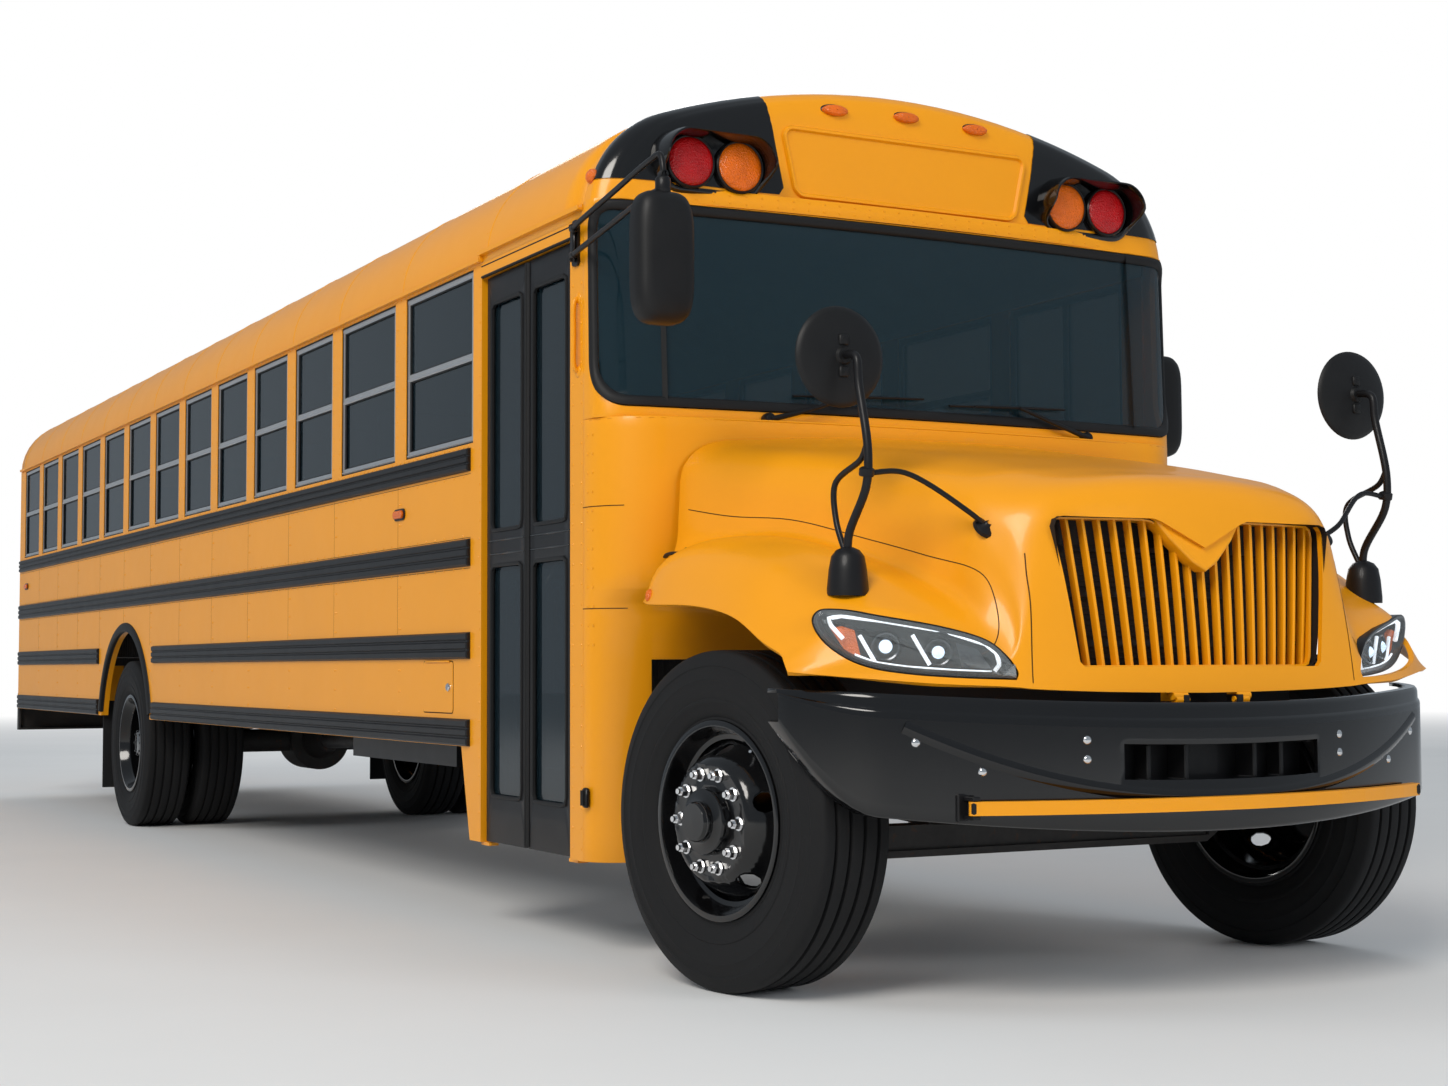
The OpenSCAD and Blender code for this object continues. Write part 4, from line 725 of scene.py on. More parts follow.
def within(points, outline):
    """Which points lie inside a closed outline."""
    x, y = points[:, 0], points[:, 1]
    hit = np.zeros(len(points), bool)
    p, q = np.asarray(outline), np.roll(outline, -1, 0)
    for (x1, y1), (x2, y2) in zip(p, q):
        if y1 == y2:
            continue
        cross = ((y1 > y) != (y2 > y)) & (x < (x2 - x1) * (y - y1) / (y2 - y1) + x1)
        hit ^= cross
    return hit


def near_line(points, outline, reach):
    """Which points lie within reach of a closed outline."""
    a = np.asarray(outline, float)
    b = np.roll(a, -1, 0)
    close = np.zeros(len(points), bool)
    for p, q in zip(a, b):
        d = q - p
        t = np.clip(((points - p) @ d) / (d @ d + 1e-9), 0, 1)
        close |= np.linalg.norm(points - p - t[:, None] * d, axis=1) < reach
    return close


def panel(shape, outline, holes, place, step=0.0):
    """Triangulates an outline with holes and maps it to space; step adds points inside."""
    loops = [resample(l, step, True) if step else np.asarray(l, float) for l in [outline, *holes]]
    pts = np.vstack(loops)
    edges, base = [], 0
    for l in loops:
        n = len(l)
        edges += [(base + i, base + (i + 1) % n) for i in range(n)]
        base += n
    if step:
        low, high = loops[0].min(0), loops[0].max(0)
        gx, gy = np.meshgrid(
            np.arange(low[0] + step / 2, high[0], step), np.arange(low[1] + step / 2, high[1], step)
        )
        inner = np.stack([gx.ravel(), gy.ravel()], 1)
        keep = within(inner, loops[0])
        for l in loops[1:]:
            keep &= ~within(inner, l)
        inner = inner[keep]
        for l in loops:
            inner = inner[~near_line(inner, l, 0.45 * step)]
        pts = np.vstack([pts, inner])
    got, _, tris, *_ = delaunay_2d_cdt([Vector(p) for p in pts], edges, [], 1, 1e-4)
    flat = np.array([tuple(v) for v in got])
    tris = np.array([t for t in tris if len(t) == 3])
    middle = flat[tris].mean(1)
    keep = within(middle, loops[0])
    for l in loops[1:]:
        keep &= ~within(middle, l)
    return shape.add(place(flat), tris[keep].tolist())


def strip(shape, path, normals, width, lift=0.4):
    """Thin ribbon along a path that lies on a surface."""
    path, normals = np.asarray(path, float), np.asarray(normals, float)
    side = unit(np.cross(np.gradient(path, axis=0), normals))
    rows = np.stack([path - side * width / 2 + normals * lift, path + side * width / 2 + normals * lift])
    return shape.grid(rows)


def stacked(radius, parts):
    """Points and faces of capped rings round Z: each part's sides and its (share of radius, height) pairs."""
    shape = Shape()
    for sides, rows in parts:
        a = around(sides)
        shape.loft([xyz(radius * r * np.cos(a), radius * r * np.sin(a), z) for r, z in rows])
        shape.faces.append(tuple(range(shape.count - sides, shape.count)))
    return np.vstack(shape.points), shape.faces


def dome(radius, height=0.45, sides=8):
    """Small rivet or bolt head that stands on the XY plane."""
    tall = radius * height
    return stacked(radius, [(sides, [(1.0, 0), (0.8, 0.7 * tall), (0.35, tall)])])


def standing(at, normal, scale=1.0):
    """4x4 that stands a part's Z along a normal at a place."""
    m = Vector(normal).to_track_quat("Z", "Y").to_matrix() * scale
    out = np.eye(4)
    out[:3, :3] = np.array(m)
    out[:3, 3] = at
    return out


def hexagon(radius, height, cap=0.5):
    """Nut on its flange with a stud through it, standing on the XY plane."""
    return stacked(radius, [
        (12, [(1.25, 0), (1.25, height * 0.12)]),
        (6, [(1, height * 0.12), (1, height * 0.85), (0.86, height)]),
        (12, [(0.5, height), (0.5, height * (1 + cap))]),
    ])


# ---------------------------------------------------------------- the bus's surfaces


def roof_section(inset=0.0, low=0.0, n=14):
    """Roof section from one eave over to the other: (y, z) pairs."""
    a = np.linspace(low, SHOULDER_A, n)
    r = SHOULDER_R - inset
    side = np.stack([HALF_W - SHOULDER_R + r * np.cos(a), EAVE + r * np.sin(a)], 1)
    b = np.linspace(SHOULDER_A, PI / 2, n)[1:]
    r = CROWN_R - inset
    top = np.stack([r * np.cos(b), CROWN_Z0 + r * np.sin(b)], 1)
    half = np.vstack([side, top])
    return np.vstack([half, (half[:-1] * (-1, 1))[::-1]])


def front_plan(xf, bulge, x_corner, cy, inset_by=0.0):
    """Plan line of the front, from the right side round to the left: (station, y)."""
    flat_y = HALF_W - cy
    y = np.linspace(0, flat_y, 14)
    mid = np.stack([xf - bulge * (y / flat_y) ** 2 - inset_by, y], 1)
    a = np.linspace(0, PI / 2, 14)[1:]
    corner = np.stack(
        [x_corner + (xf - bulge - x_corner - inset_by) * np.cos(a), flat_y + (cy - inset_by) * np.sin(a)], 1
    )
    half = np.vstack([mid, corner, [[PILLAR, HALF_W - inset_by]]])
    return resample(np.vstack([(half * (1, -1))[::-1], half[1:]]), PLAN_STEP)


PLAN_STEP = 46.875
COWL_Z = [320.0, 1000.0, 1170.0, 1230.0, 1560.0, 1796.0]
COWL_X = [-690.0, -672.0, -640.0, -560.0, -530.0, -520.0]
COWL_BULGE = [0.0, 0.0, 20.0, 60.0, 75.0, 80.0]
COWL_CORNER = [-822.0, -815.0, -812.0, -810.0, -810.0, -815.0]
SHIELD_X, SHIELD_LOW, SHIELD_HIGH, CAP_LOW, COWL_TOP = -612.0, 1838.0, 2530.0, 2538.0, 1796.0


def on_line(line, t):
    """Point of a plan line at a fraction from -1 (right end) to 1 (left end) of its length."""
    d = np.concatenate([[0], np.cumsum(np.linalg.norm(np.diff(line, axis=0), axis=1))])
    at = (t + 1) / 2 * d[-1]
    return np.stack([np.interp(at, d, line[:, 0]), np.interp(at, d, line[:, 1])], -1)


def surround_at(t, z, inset_by=0.0):
    """Points of the windshield surround at fractions t and heights z."""
    t, z = np.broadcast_arrays(np.asarray(t, float), np.asarray(z, float))
    a = on_line(front_plan(SHIELD_X, 52, -760, 205, inset_by), t)
    lean = -50 * (z - SHIELD_LOW) / (SHIELD_HIGH - SHIELD_LOW)
    push = np.clip((a[..., 0] - PILLAR) / (SHIELD_X - PILLAR), 0, 1)
    return np.stack([a[..., 0] + lean * push, a[..., 1], z], -1)


def cowl_at(t, z, inset_by=0.0):
    """Points of the cowl at fractions t of its plan line and heights z."""
    t, z = np.broadcast_arrays(np.asarray(t, float), np.asarray(z, float))
    out = np.zeros(t.shape + (3,))
    for height in np.unique(z):
        here = z == height
        values = [np.interp(height, COWL_Z, v) for v in (COWL_X, COWL_BULGE, COWL_CORNER)]
        line = front_plan(values[0], values[1], values[2], 235, inset_by)
        out[here, :2] = on_line(line, t[here])
        out[here, 2] = height
    return out


HALF_T = 1410.0


def shield_outline(grow=0.0, steps=8):
    """Windshield opening on the surround: (t * HALF_T, height), rounder at its lower corners."""
    reach = 1345.0 + grow
    return rounded(
        (-reach, SHIELD_LOW - grow), (reach, SHIELD_HIGH + grow),
        [150 + grow, 150 + grow, 95 + grow, 95 + grow], steps
    )


def cap_section(k, n=12):
    """Section of the cap, shrunk by k towards its foot: (y, z) pairs."""
    low = math.asin((CAP_LOW - EAVE) / SHOULDER_R)
    s = roof_section(0, low, n)
    return np.stack([s[:, 0] * k, CAP_LOW + (s[:, 1] - CAP_LOW) * k], 1)


def cap_rings(n=12):
    """Rings of the cap from the roof forward to its face."""
    knots = np.array([
        [PILLAR, 1.0], [-775, 1.0], [-748, 0.985], [-726, 0.955], [-708, 0.9], [-698, 0.78], [-694, 0.6],
        [-693, 0.35]
    ])
    line = smooth_path(knots, 42)
    return np.array([[(x, p[0], p[1]) for p in cap_section(min(1.0, k), n)] for x, k in line])


HALF_REACH = float(cap_section(1.0)[0, 0])


HOOD_NET = np.array([
    [[-505, 0, 1748], [-512, 350, 1744], [-540, 660, 1730], [-568, 880, 1706], [-582, 965, 1630],
     [-584, 982, 1490], [-584, 990, 1380], [-560, 1045, 1275], [-505, 1130, 1210], [-430, 1190, 1172]],
    [[-350, 0, 1718], [-350, 340, 1714], [-350, 630, 1698], [-350, 830, 1662], [-350, 900, 1580],
     [-350, 925, 1450], [-350, 960, 1376], [-350, 1065, 1346], [-350, 1170, 1284], [-330, 1214, 1162]],
    [[-50, 0, 1674], [-50, 330, 1669], [-50, 600, 1650], [-50, 770, 1607], [-50, 830, 1520],
     [-50, 855, 1420], [-50, 885, 1372], [-50, 1020, 1366], [-50, 1160, 1306], [-10, 1219, 1148]],
    [[250, 0, 1624], [250, 320, 1618], [250, 560, 1598], [250, 715, 1547], [250, 765, 1452],
     [250, 788, 1350], [250, 820, 1305], [250, 960, 1325], [250, 1125, 1262], [230, 1219, 1108]],
    [[480, 0, 1580], [480, 300, 1573], [480, 530, 1552], [480, 665, 1497], [480, 706, 1390],
     [480, 722, 1290], [480, 748, 1228], [480, 890, 1225], [440, 1070, 1180], [400, 1219, 1035]],
    [[650, 0, 1545], [650, 290, 1537], [645, 510, 1512], [640, 630, 1450], [645, 668, 1360],
     [650, 682, 1240], [655, 702, 1150], [640, 820, 1135], [570, 1020, 1135], [480, 1206, 1000]],
    [[815, 0, 1495], [808, 270, 1484], [785, 490, 1442], [752, 590, 1370], [742, 625, 1270],
     [732, 652, 1165], [730, 695, 1085], [722, 780, 1068], [610, 1010, 1108], [510, 1212, 978]],
    [[872, 0, 1300], [862, 255, 1300], [830, 480, 1290], [808, 575, 1220], [804, 612, 1120],
     [802, 640, 1030], [790, 695, 988], [760, 790, 985], [650, 1030, 1005], [530, 1217, 962]],
    [[893, 0, 885], [886, 250, 888], [868, 448, 893], [845, 600, 900], [836, 650, 905],
     [810, 740, 910], [765, 850, 915], [700, 970, 925], [620, 1100, 937], [546, 1219, 950]],
], float)


def spacing(net):
    """Average spacing along the first direction, as rising numbers."""
    d = np.linalg.norm(np.diff(net, axis=0), axis=-1).mean(axis=1) ** 0.6
    return np.concatenate([[0], np.cumsum(d)])


HOOD_NET[..., 1] *= HALF_W / PLAIN_HALF
_right = HOOD_NET[:, 1:] * (1, -1, 1)
WHOLE_NET = np.concatenate([_right[:, ::-1], HOOD_NET], axis=1)
HOOD_V = spacing(WHOLE_NET)
HOOD_U = spacing(WHOLE_NET.transpose(1, 0, 2))
HOOD_U -= HOOD_U[-1] / 2


def hood_points(v, u):
    """Grid of points on the hood's skin."""
    rows = through(WHOLE_NET, HOOD_V, v)
    return through(rows.transpose(1, 0, 2), HOOD_U, u).transpose(1, 0, 2)


def between(knots, per):
    """Places along knots with a number of steps in each span."""
    out = [np.linspace(a, b, per, endpoint=False) for a, b in zip(knots[:-1], knots[1:])]
    return np.concatenate([*out, [knots[-1]]])


def hood_line(row, col, lift=0.0, n=60):
    """Curve on the hood through places given in net rows and columns (columns from the middle)."""
    rows, cols = np.asarray(row, float), np.asarray(col, float)
    path = smooth_path(np.stack([rows, cols, cols * 0], 1), n * 2)
    at = np.linspace(0, len(path) - 1, n).astype(int)
    vs = np.interp(path[at, 0], np.arange(len(HOOD_V)), HOOD_V)
    us = np.interp(path[at, 1], np.arange(-9, 10), HOOD_U)
    pts, normals = [], []
    for v, u in zip(vs, us):
        g = hood_points([v - 0.05, v, v + 0.05], [u - 0.05, u, u + 0.05])
        normal = unit(np.cross(g[2, 1] - g[0, 1], g[1, 2] - g[1, 0]))
        if normal @ (g[1, 1] - (0, 0, 900)) < 0:
            normal = -normal
        pts.append(g[1, 1] + lift * normal)
        normals.append(normal)
    return np.array(pts), np.array(normals)


LIGHT = np.array([
    [146, 925], [307, 931], [459, 943], [557, 960], [626, 988], [690, 1039], [716, 1094],
    [700, 1122], [639, 1127], [527, 1108], [333, 1072], [222, 1036], [173, 995], [141, 945],
], float)


LIGHT_TURN = math.radians(30)


def light_place(side):
    """Maps (outward, height) in the headlight's face and a depth to space, on one side."""

    def place(flat, depth):
        u, z = flat[:, 0], flat[:, 1]
        d = np.broadcast_to(depth, u.shape)
        c, s = math.cos(LIGHT_TURN), math.sin(LIGHT_TURN)
        return np.stack([d * c - u * s, side * (d * s + u * c), z], 1)

    return place


def light_ring(by=0.0):
    """Smooth outline of the headlight, moved inwards by an amount."""
    ring = smooth_path(np.vstack([LIGHT, LIGHT[:1]]), 70)[:-1]
    return inset(ring, by)


BUMPER_SWEEP, BUMPER_END = 369, 1200
GRILLE_LOW, GRILLE_TALL = 960, 428


def bumper_x(y):
    """Station of the bumper's face: a long sweep, and a tighter turn at its ends."""
    over = np.maximum(0, np.abs(y) - 0.82 * HALF_W) / (0.165 * HALF_W)
    return 968 - BUMPER_SWEEP * (np.abs(y) / BUMPER_END) ** 2 - 143 * over**2


def bumper_top(y):
    """Height of the bumper's upper edge."""
    return 858 + 47 * (y / HALF_W) ** 2


def bumper_low(y):
    """Height of the bumper's lower edge, which climbs at its ends."""
    over = np.maximum(0, np.abs(y) - 0.84 * HALF_W) / (0.145 * HALF_W)
    return 494 + 80 * (y / HALF_W) ** 2 + 240 * over**2


def bumper_at(y, v, back=0.0):
    """Points of the bumper's face at a share v of its height."""
    return xyz(bumper_x(y) - back, y, bumper_low(y) + (bumper_top(y) - bumper_low(y)) * v)


def bumper_turn(y):
    """How far the bumper's face has turned outwards."""
    return 2 * BUMPER_SWEEP * y / BUMPER_END**2


def grille_outline(by):
    """Grille opening, with the notch at its top: (y, z)."""
    half = [
        (0, 1306 - by), (150, 1380 - by), (176, 1388 - by), (490 - by, 1388 - by),
        (509 - by, 1370 - by), (452 - by, 975 + by), (436 - by, 960 + by),
    ]
    return np.array(half + [(-y, z) for y, z in half[:0:-1]])


def climb(z):
    """Share of the grille's height."""
    return (z - GRILLE_LOW) / GRILLE_TALL


def side_rivets(rivets, side, xs, z):
    """Rivets on a side wall at stations and heights."""
    at = [standing((x, side * (HALF_W - 0.3), h), (0, side, 0)) for x, h in zip(np.ravel(xs), np.ravel(z))]
    rivets.rivets(at)


# ---------------------------------------------------------------- operators


class BusPiece:
    """What every operator of the bus shares."""

    bl_options = {"REGISTER", "UNDO"}

    def execute(self, context):
        self.build(context.scene.bus_trim)
        return {"FINISHED"}


class BUS_OT_finishes(BusPiece, bpy.types.Operator):
    """Makes the finishes and puts them on the CAD pieces that stay"""

    bl_idname = "bus.finishes"
    bl_label = "Finishes"

    KEPT = {
        "chassis": ("chassis_frame", "leaf_springs", "rear_bumper"),
        "iron": ("front_axle", "rear_axle"),
        "steel": ("driveshaft", "knuckle_left", "knuckle_right", "tie_rod"),
        "machine": ("engine_and_gearbox",),
        "exhaust": ("exhaust",),
        "satin": ("fuel_tank",),
        "mat": ("floor",),
        "yellow": ("side_wall_left", "side_wall_right", "rear_wall", "hood_hinges", "crossing_arm", "grille"),
        "aluminium": ("window_frames",),
        "glass": ("window_glass",),
        "dash": ("dashboard", "seat_frames"),
        "plastic": ("steering_wheel",),
    }
    ROUNDED = {
        "chassis_frame": 2.5, "rear_bumper": 6, "front_axle": 5, "engine_and_gearbox": 18, "fuel_tank": 14,
        "side_wall_left": 2.5, "side_wall_right": 2.5, "rear_wall": 2.5, "crossing_arm": 4, "grille": 2.2,
        "window_frames": 2, "dashboard": 12, "seat_frames": 2, "hood_hinges": 1.5, "knuckle_left": 2,
        "knuckle_right": 2, "leaf_springs": 1.2,
    }

    def build(self, trim):
        FINISH.update(finishes())
        for finish, nodes in self.KEPT.items():
            for name in nodes:
                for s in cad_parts[name].material_slots:
                    s.material = FINISH[finish]
        for name, width in self.ROUNDED.items():
            round_edges(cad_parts[name], width)


class BUS_OT_roof(BusPiece, bpy.types.Operator):
    """Roof skin with its bows' seams, drip rails and vents"""

    bl_idname = "bus.roof"
    bl_label = "Roof"

    def build(self, trim):
        xs = np.linspace(BODY_REAR, PILLAR, 60)
        sec = roof_section()
        skin = Shape().grid([[(x, y, z) for y, z in sec] for x in xs])
        skin.make("roof_skin", "yellow", replaces=["roof"], solid=8, outward=CABIN)
        inner = roof_section(WALL)
        lining = Shape().grid([[(x, y, z) for y, z in inner] for x in (BODY_REAR, PILLAR)])
        lining.make("roof_lining", "headlining", solid=6, outward=CABIN)
        rivets, bows = Shape(), Shape()
        rise = roof_section(0, 0.05, 16)
        normal = unit(xyz(0, *(rise - (0, CROWN_EYE)).T))
        for x in [s[0] - 65 for s in WINDOWS] + [ENTRY_REAR + 30]:
            path = facing(rise, x)
            for dx in (-12, 12):
                at = [standing(p + (dx, 0, 0), p - (x, 0, CROWN_EYE)) for p in resample(path, 95)]
                rivets.rivets(at, 6)
            bows.grid([path + (dx, 0, 0) + lift * normal for dx, lift in ((-24, 0), (-20, 2), (20, 2), (24, 0))])
        rivets.make("roof_rivets", "yellow")
        bows.make("roof_bow_straps", "yellow", smooth=20, outward=CABIN)
        rail = Shape()
        for side in (-1, 1):
            for x0, x1, z in ((BODY_REAR, ENTRY_REAR + 10, 2492), (ENTRY_REAR - 4, PILLAR - 4, 2516)):
                y = HALF_W + 1 - (z - EAVE) * 0.03
                sec = np.array([
                    (y - 4, z + 17), (y + 1, z + 16), (y + 3, z + 5), (y + 15, z + 3), (y + 17, z + 12),
                    (y + 19, z + 12), (y + 18, z - 3), (y - 4, z - 5)
                ])
                rail.loft([[(x, side * a, b) for a, b in sec] for x in (x0, x1)])
                for x in (x0, x1):
                    rail.add([(x, side * a, b) for a, b in sec], [tuple(range(8))])
            rail.box((ENTRY_REAR - 10, side * (HALF_W - 4), 2488), (ENTRY_REAR + 12, side * (HALF_W + 17), 2532), 3)
        rail.make("drip_rails", "yellow", smooth=40)
        vent = Shape()
        for x in (-3400, -8600):
            for low, high, z in (((x - 320, -320), (x + 320, 320), 3015), ((x - 290, -290), (x + 290, 290), 3022)):
                ring = rounded(low, high, 60, 6)
                vent.prism(ring, lambda f, h: xyz(*f.T, h), z - 26, z - 2 if z < 3020 else z + 10)
        vent.make("roof_hatches", "white", slot="school_yellow", bevel=6)


class BUS_OT_sides(BusPiece, bpy.types.Operator):
    """Rivets, rub rails, arch flares and small fittings of both sides"""

    bl_idname = "bus.sides"
    bl_label = "Sides"

    def build(self, trim):
        rivets, seams, rails, caps = Shape(), Shape(), Shape(), Shape()
        pitch = trim.pitch / MM
        front = ENTRY_REAR - 110
        posts = [s[0] - 65 for s in WINDOWS[:-1]]
        for side in (-1, 1):
            for x in posts:
                clear = [
                    z for z in np.arange(700, 1710, pitch)
                    if math.hypot(x - REAR_AXLE, z - AXLE_Z) > ARCH_R + 90
                ]
                clear = [z for z in clear if not any(a - 12 < z < b + 12 for a, b in self.RAILS)]
                for dx in (-9, 9):
                    side_rivets(rivets, side, [x + dx] * len(clear), clear)
                # Each upright seam is a thin dark strip of painted shade, standing just off the wall.
                seams.box((x - 26, side * (HALF_W + 0.35), 1103), (x - 24.5, side * (HALF_W + 0.05), 1706))
                high = np.arange(SILL + 40, HEADER, 0.75 * pitch)
                for dx in (-40, 40):
                    side_rivets(rivets, side, [x + dx] * len(high), high)
            along = np.arange(BODY_REAR + 20, front, 0.6 * pitch)
            side_rivets(rivets, side, along, along * 0 + 1806.5)
            side_rivets(rivets, side, along, along * 0 + HEADER + 5)
            for z in (1692, 1466, 1340):
                side_rivets(rivets, side, along[::2], along[::2] * 0 + z)
            # Painted shade lines along the long seams.
            for z in (1700, 1458, 1342):
                seams.box((BODY_REAR, side * (HALF_W + 0.3), z - 1), (front, side * HALF_W, z + 1))
            for z in np.arange(SKIRT + 60, 2440, pitch):
                side_rivets(rivets, side, [BODY_REAR + 14], [z])
        for z in np.arange(ENTRY_LOW + 40, 2440, 0.8 * pitch):
            side_rivets(rivets, -1, [ENTRY_FRONT + 22, PILLAR - 14, ENTRY_REAR - 18], [z] * 3)
        rivets.make("side_rivets", "yellow")
        seams.make("side_seam_shade", "gap")
        for side in (-1, 1):
            for k, (low, high) in enumerate(self.RAILS):
                low = max(low, SKIRT + 2)
                gap = ARCH_R + 62
                spans = [(BODY_REAR, front)] if k < 2 else [(BODY_REAR, REAR_AXLE - gap), (REAR_AXLE + gap, front)]
                sec = self.section(low, high)
                for x0, x1 in spans:
                    rails.grid([[(x, side * (HALF_W + a), b) for a, b in sec] for x in (x0 + 5, x1 - 5)])
                    for x, dx in ((x0 + 5, -5), (x1 - 5, 5)):
                        ring = [(x, side * (HALF_W + a), b) for a, b in sec]
                        tip = [(x + dx, side * (HALF_W + max(0, a - 5)), b) for a, b in sec]
                        rails.grid([ring, tip]).add(tip, [tuple(range(len(sec)))])
                        for z in (low + 0.25 * (high - low), high - 0.25 * (high - low)):
                            at = standing((x - math.copysign(28, dx), side * (HALF_W + 11), z), (0, side, 0))
                            caps.copies(*dome(8, sides=10), [at])
        rails.make("rub_rails_ribbed", "satin", slot="rail_black", replaces=["rub_rails"], smooth=30)
        caps.make("rail_bolts", "satin", slot="rail_black")
        flare = Shape()
        for side in (-1, 1):
            a = np.linspace(0.085 * PI, PI - 0.085 * PI, 60)
            prof = [
                (ARCH_R - 2, -12), (ARCH_R - 2, 8), (ARCH_R + 6, 16), (ARCH_R + 42, 14), (ARCH_R + 52, 6),
                (ARCH_R + 54, -2)
            ]
            flare.grid([
                [(REAR_AXLE + r * math.cos(t), side * (HALF_W + h), AXLE_Z + r * math.sin(t)) for r, h in prof]
                for t in a
            ])
        flare.make("arch_flares", "rubber", slot="rail_black", smooth=40)
        flaps = Shape()
        for side in (-1, 1):
            x = REAR_AXLE - ARCH_R - 30
            flaps.box((x - 8, side * 610, 200), (x, side * 1195, 760), 3)
            for z in (240, 270, 300):
                flaps.box((x - 11, side * 640, z), (x - 7, side * 1165, z + 8), 1)
        flaps.make("mud_flaps", "rubber", slot="rail_black")
        self.fittings()

    RAILS = [(1710, 1799), (1349, 1454), (998, 1100), (666, 771)]

    def section(self, low, high):
        """Rail section with three ribs: (outward, height)."""
        out = [(0, low), (8, low + 2), (12, low + 8)]
        for k in range(3):
            z = low + (high - low) * (k + 0.5) / 3
            w = (high - low) / 11
            out += [(11, z - 1.6 * w), (17.4, z - w), (17.4, z + w), (11, z + 1.6 * w)]
        return out + [(12, high - 8), (8, high - 2), (0, high)]

    def fittings(self):
        """Marker lamps, fuel door, battery door and latches."""
        lamp, base, doors, gaps = Shape(), Shape(), Shape(), Shape()
        for side in (-1, 1):
            for x in (-2653, BODY_REAR + 260):
                base.prism(rounded((x - 66, 1570), (x + 66, 1618), 22), beside(side), 0, 5)
                lamp.prism(rounded((x - 54, 1578), (x + 54, 1610), 15), beside(side), 4, 15)
        lamp.make("side_marker_lamps", "amber_small", bevel=3)
        base.make("side_marker_bases", "smooth", bevel=1)
        for side, x0, x1, z0, z1 in (
            (-1, -2362, -2038, 792, 988), (1, -3150, -2350, 785, 985), (1, -4700, -4250, 785, 985)
        ):
            place = beside(side)
            doors.prism(rounded((x0, z0), (x1, z1), 14), place, -2, 2.5)
            # A dark rim of painted shade round each door, where its gap lies in shade.
            edge = rounded((x0 - 4, z0 - 4), (x1 + 4, z1 + 4), 17)
            gaps.prism(edge, place, -2, 0.6)
            doors.box((x0 + 30, side * HALF_W, z1 - 4), (x1 - 30, side * (HALF_W + 9), z1 + 6), 3)
        doors.make("service_doors", "yellow", bevel=1.2)
        gaps.make("service_door_gap_shade", "gap")
        latch = Shape()
        for side, x, z in ((-1, -2080, 890), (1, -2400, 885), (1, -4300, 885)):
            latch.lathe([(0, 9), (12, 9), (16, 5), (17, 0)], (x, side * (HALF_W + 2), z), (0, side, 0), 24)
        latch.make("service_latches", "chrome")


class BUS_OT_windows(BusPiece, bpy.types.Operator):
    """Gaskets, sash rails and stiles of the side windows"""

    bl_idname = "bus.windows"
    bl_label = "Side windows"

    def build(self, trim):
        rubber, sash, stile = Shape(), Shape(), Shape()
        middle = (SILL + HEADER) / 2
        for side in (-1, 1):
            out = HALF_W - 5
            for x0, x1 in WINDOWS:
                for a, b, c, d in (
                    (x0, x1, SILL, SILL + 7), (x0, x1, HEADER - 7, HEADER), (x0, x0 + 7, SILL, HEADER),
                    (x1 - 7, x1, SILL, HEADER)
                ):
                    rubber.box((a, side * (out - 5), c), (b, side * (out + 1.5), d), 1.5)
                for low, high in ((SILL + 28, middle - 14), (middle + 14, HEADER - 28)):
                    for a, b, c, d in (
                        (x0 + 26, x1 - 26, low - 3, low + 5), (x0 + 26, x1 - 26, high - 5, high + 3),
                        (x0 + 26, x0 + 34, low, high), (x1 - 34, x1 - 26, low, high)
                    ):
                        rubber.box((a, side * (out - 14), c), (b, side * (out - 3), d), 1.5)
                sash.box((x0 + 12, side * (out - 3), middle - 13), (x1 - 12, side * (out + 2), middle - 2), 2)
                sash.box((x0 + 12, side * (out - 3), middle + 3), (x1 - 12, side * (out + 0.5), middle + 11), 2)
                sash.box((x0 + 8, side * (out - 2), HEADER - 22), (x1 - 8, side * (out + 1), HEADER - 9), 1.5)
                sash.box((x0 + 8, side * (out - 2), SILL + 9), (x1 - 8, side * (out + 3), SILL + 16), 1.5)
                stile.box((x0 + 30, side * (out - 10), SILL + 26), (x0 + 46, side * (out - 2), middle - 14), 2)
                for x in (x0 + 70, x1 - 70):
                    stile.box((x - 16, side * (out - 30), middle - 30), (x + 16, side * (out - 20), middle - 16), 3)
        rubber.make("window_gaskets", "rubber")
        sash.make("window_sashes", "aluminium")
        stile.make("window_stiles", "satin")


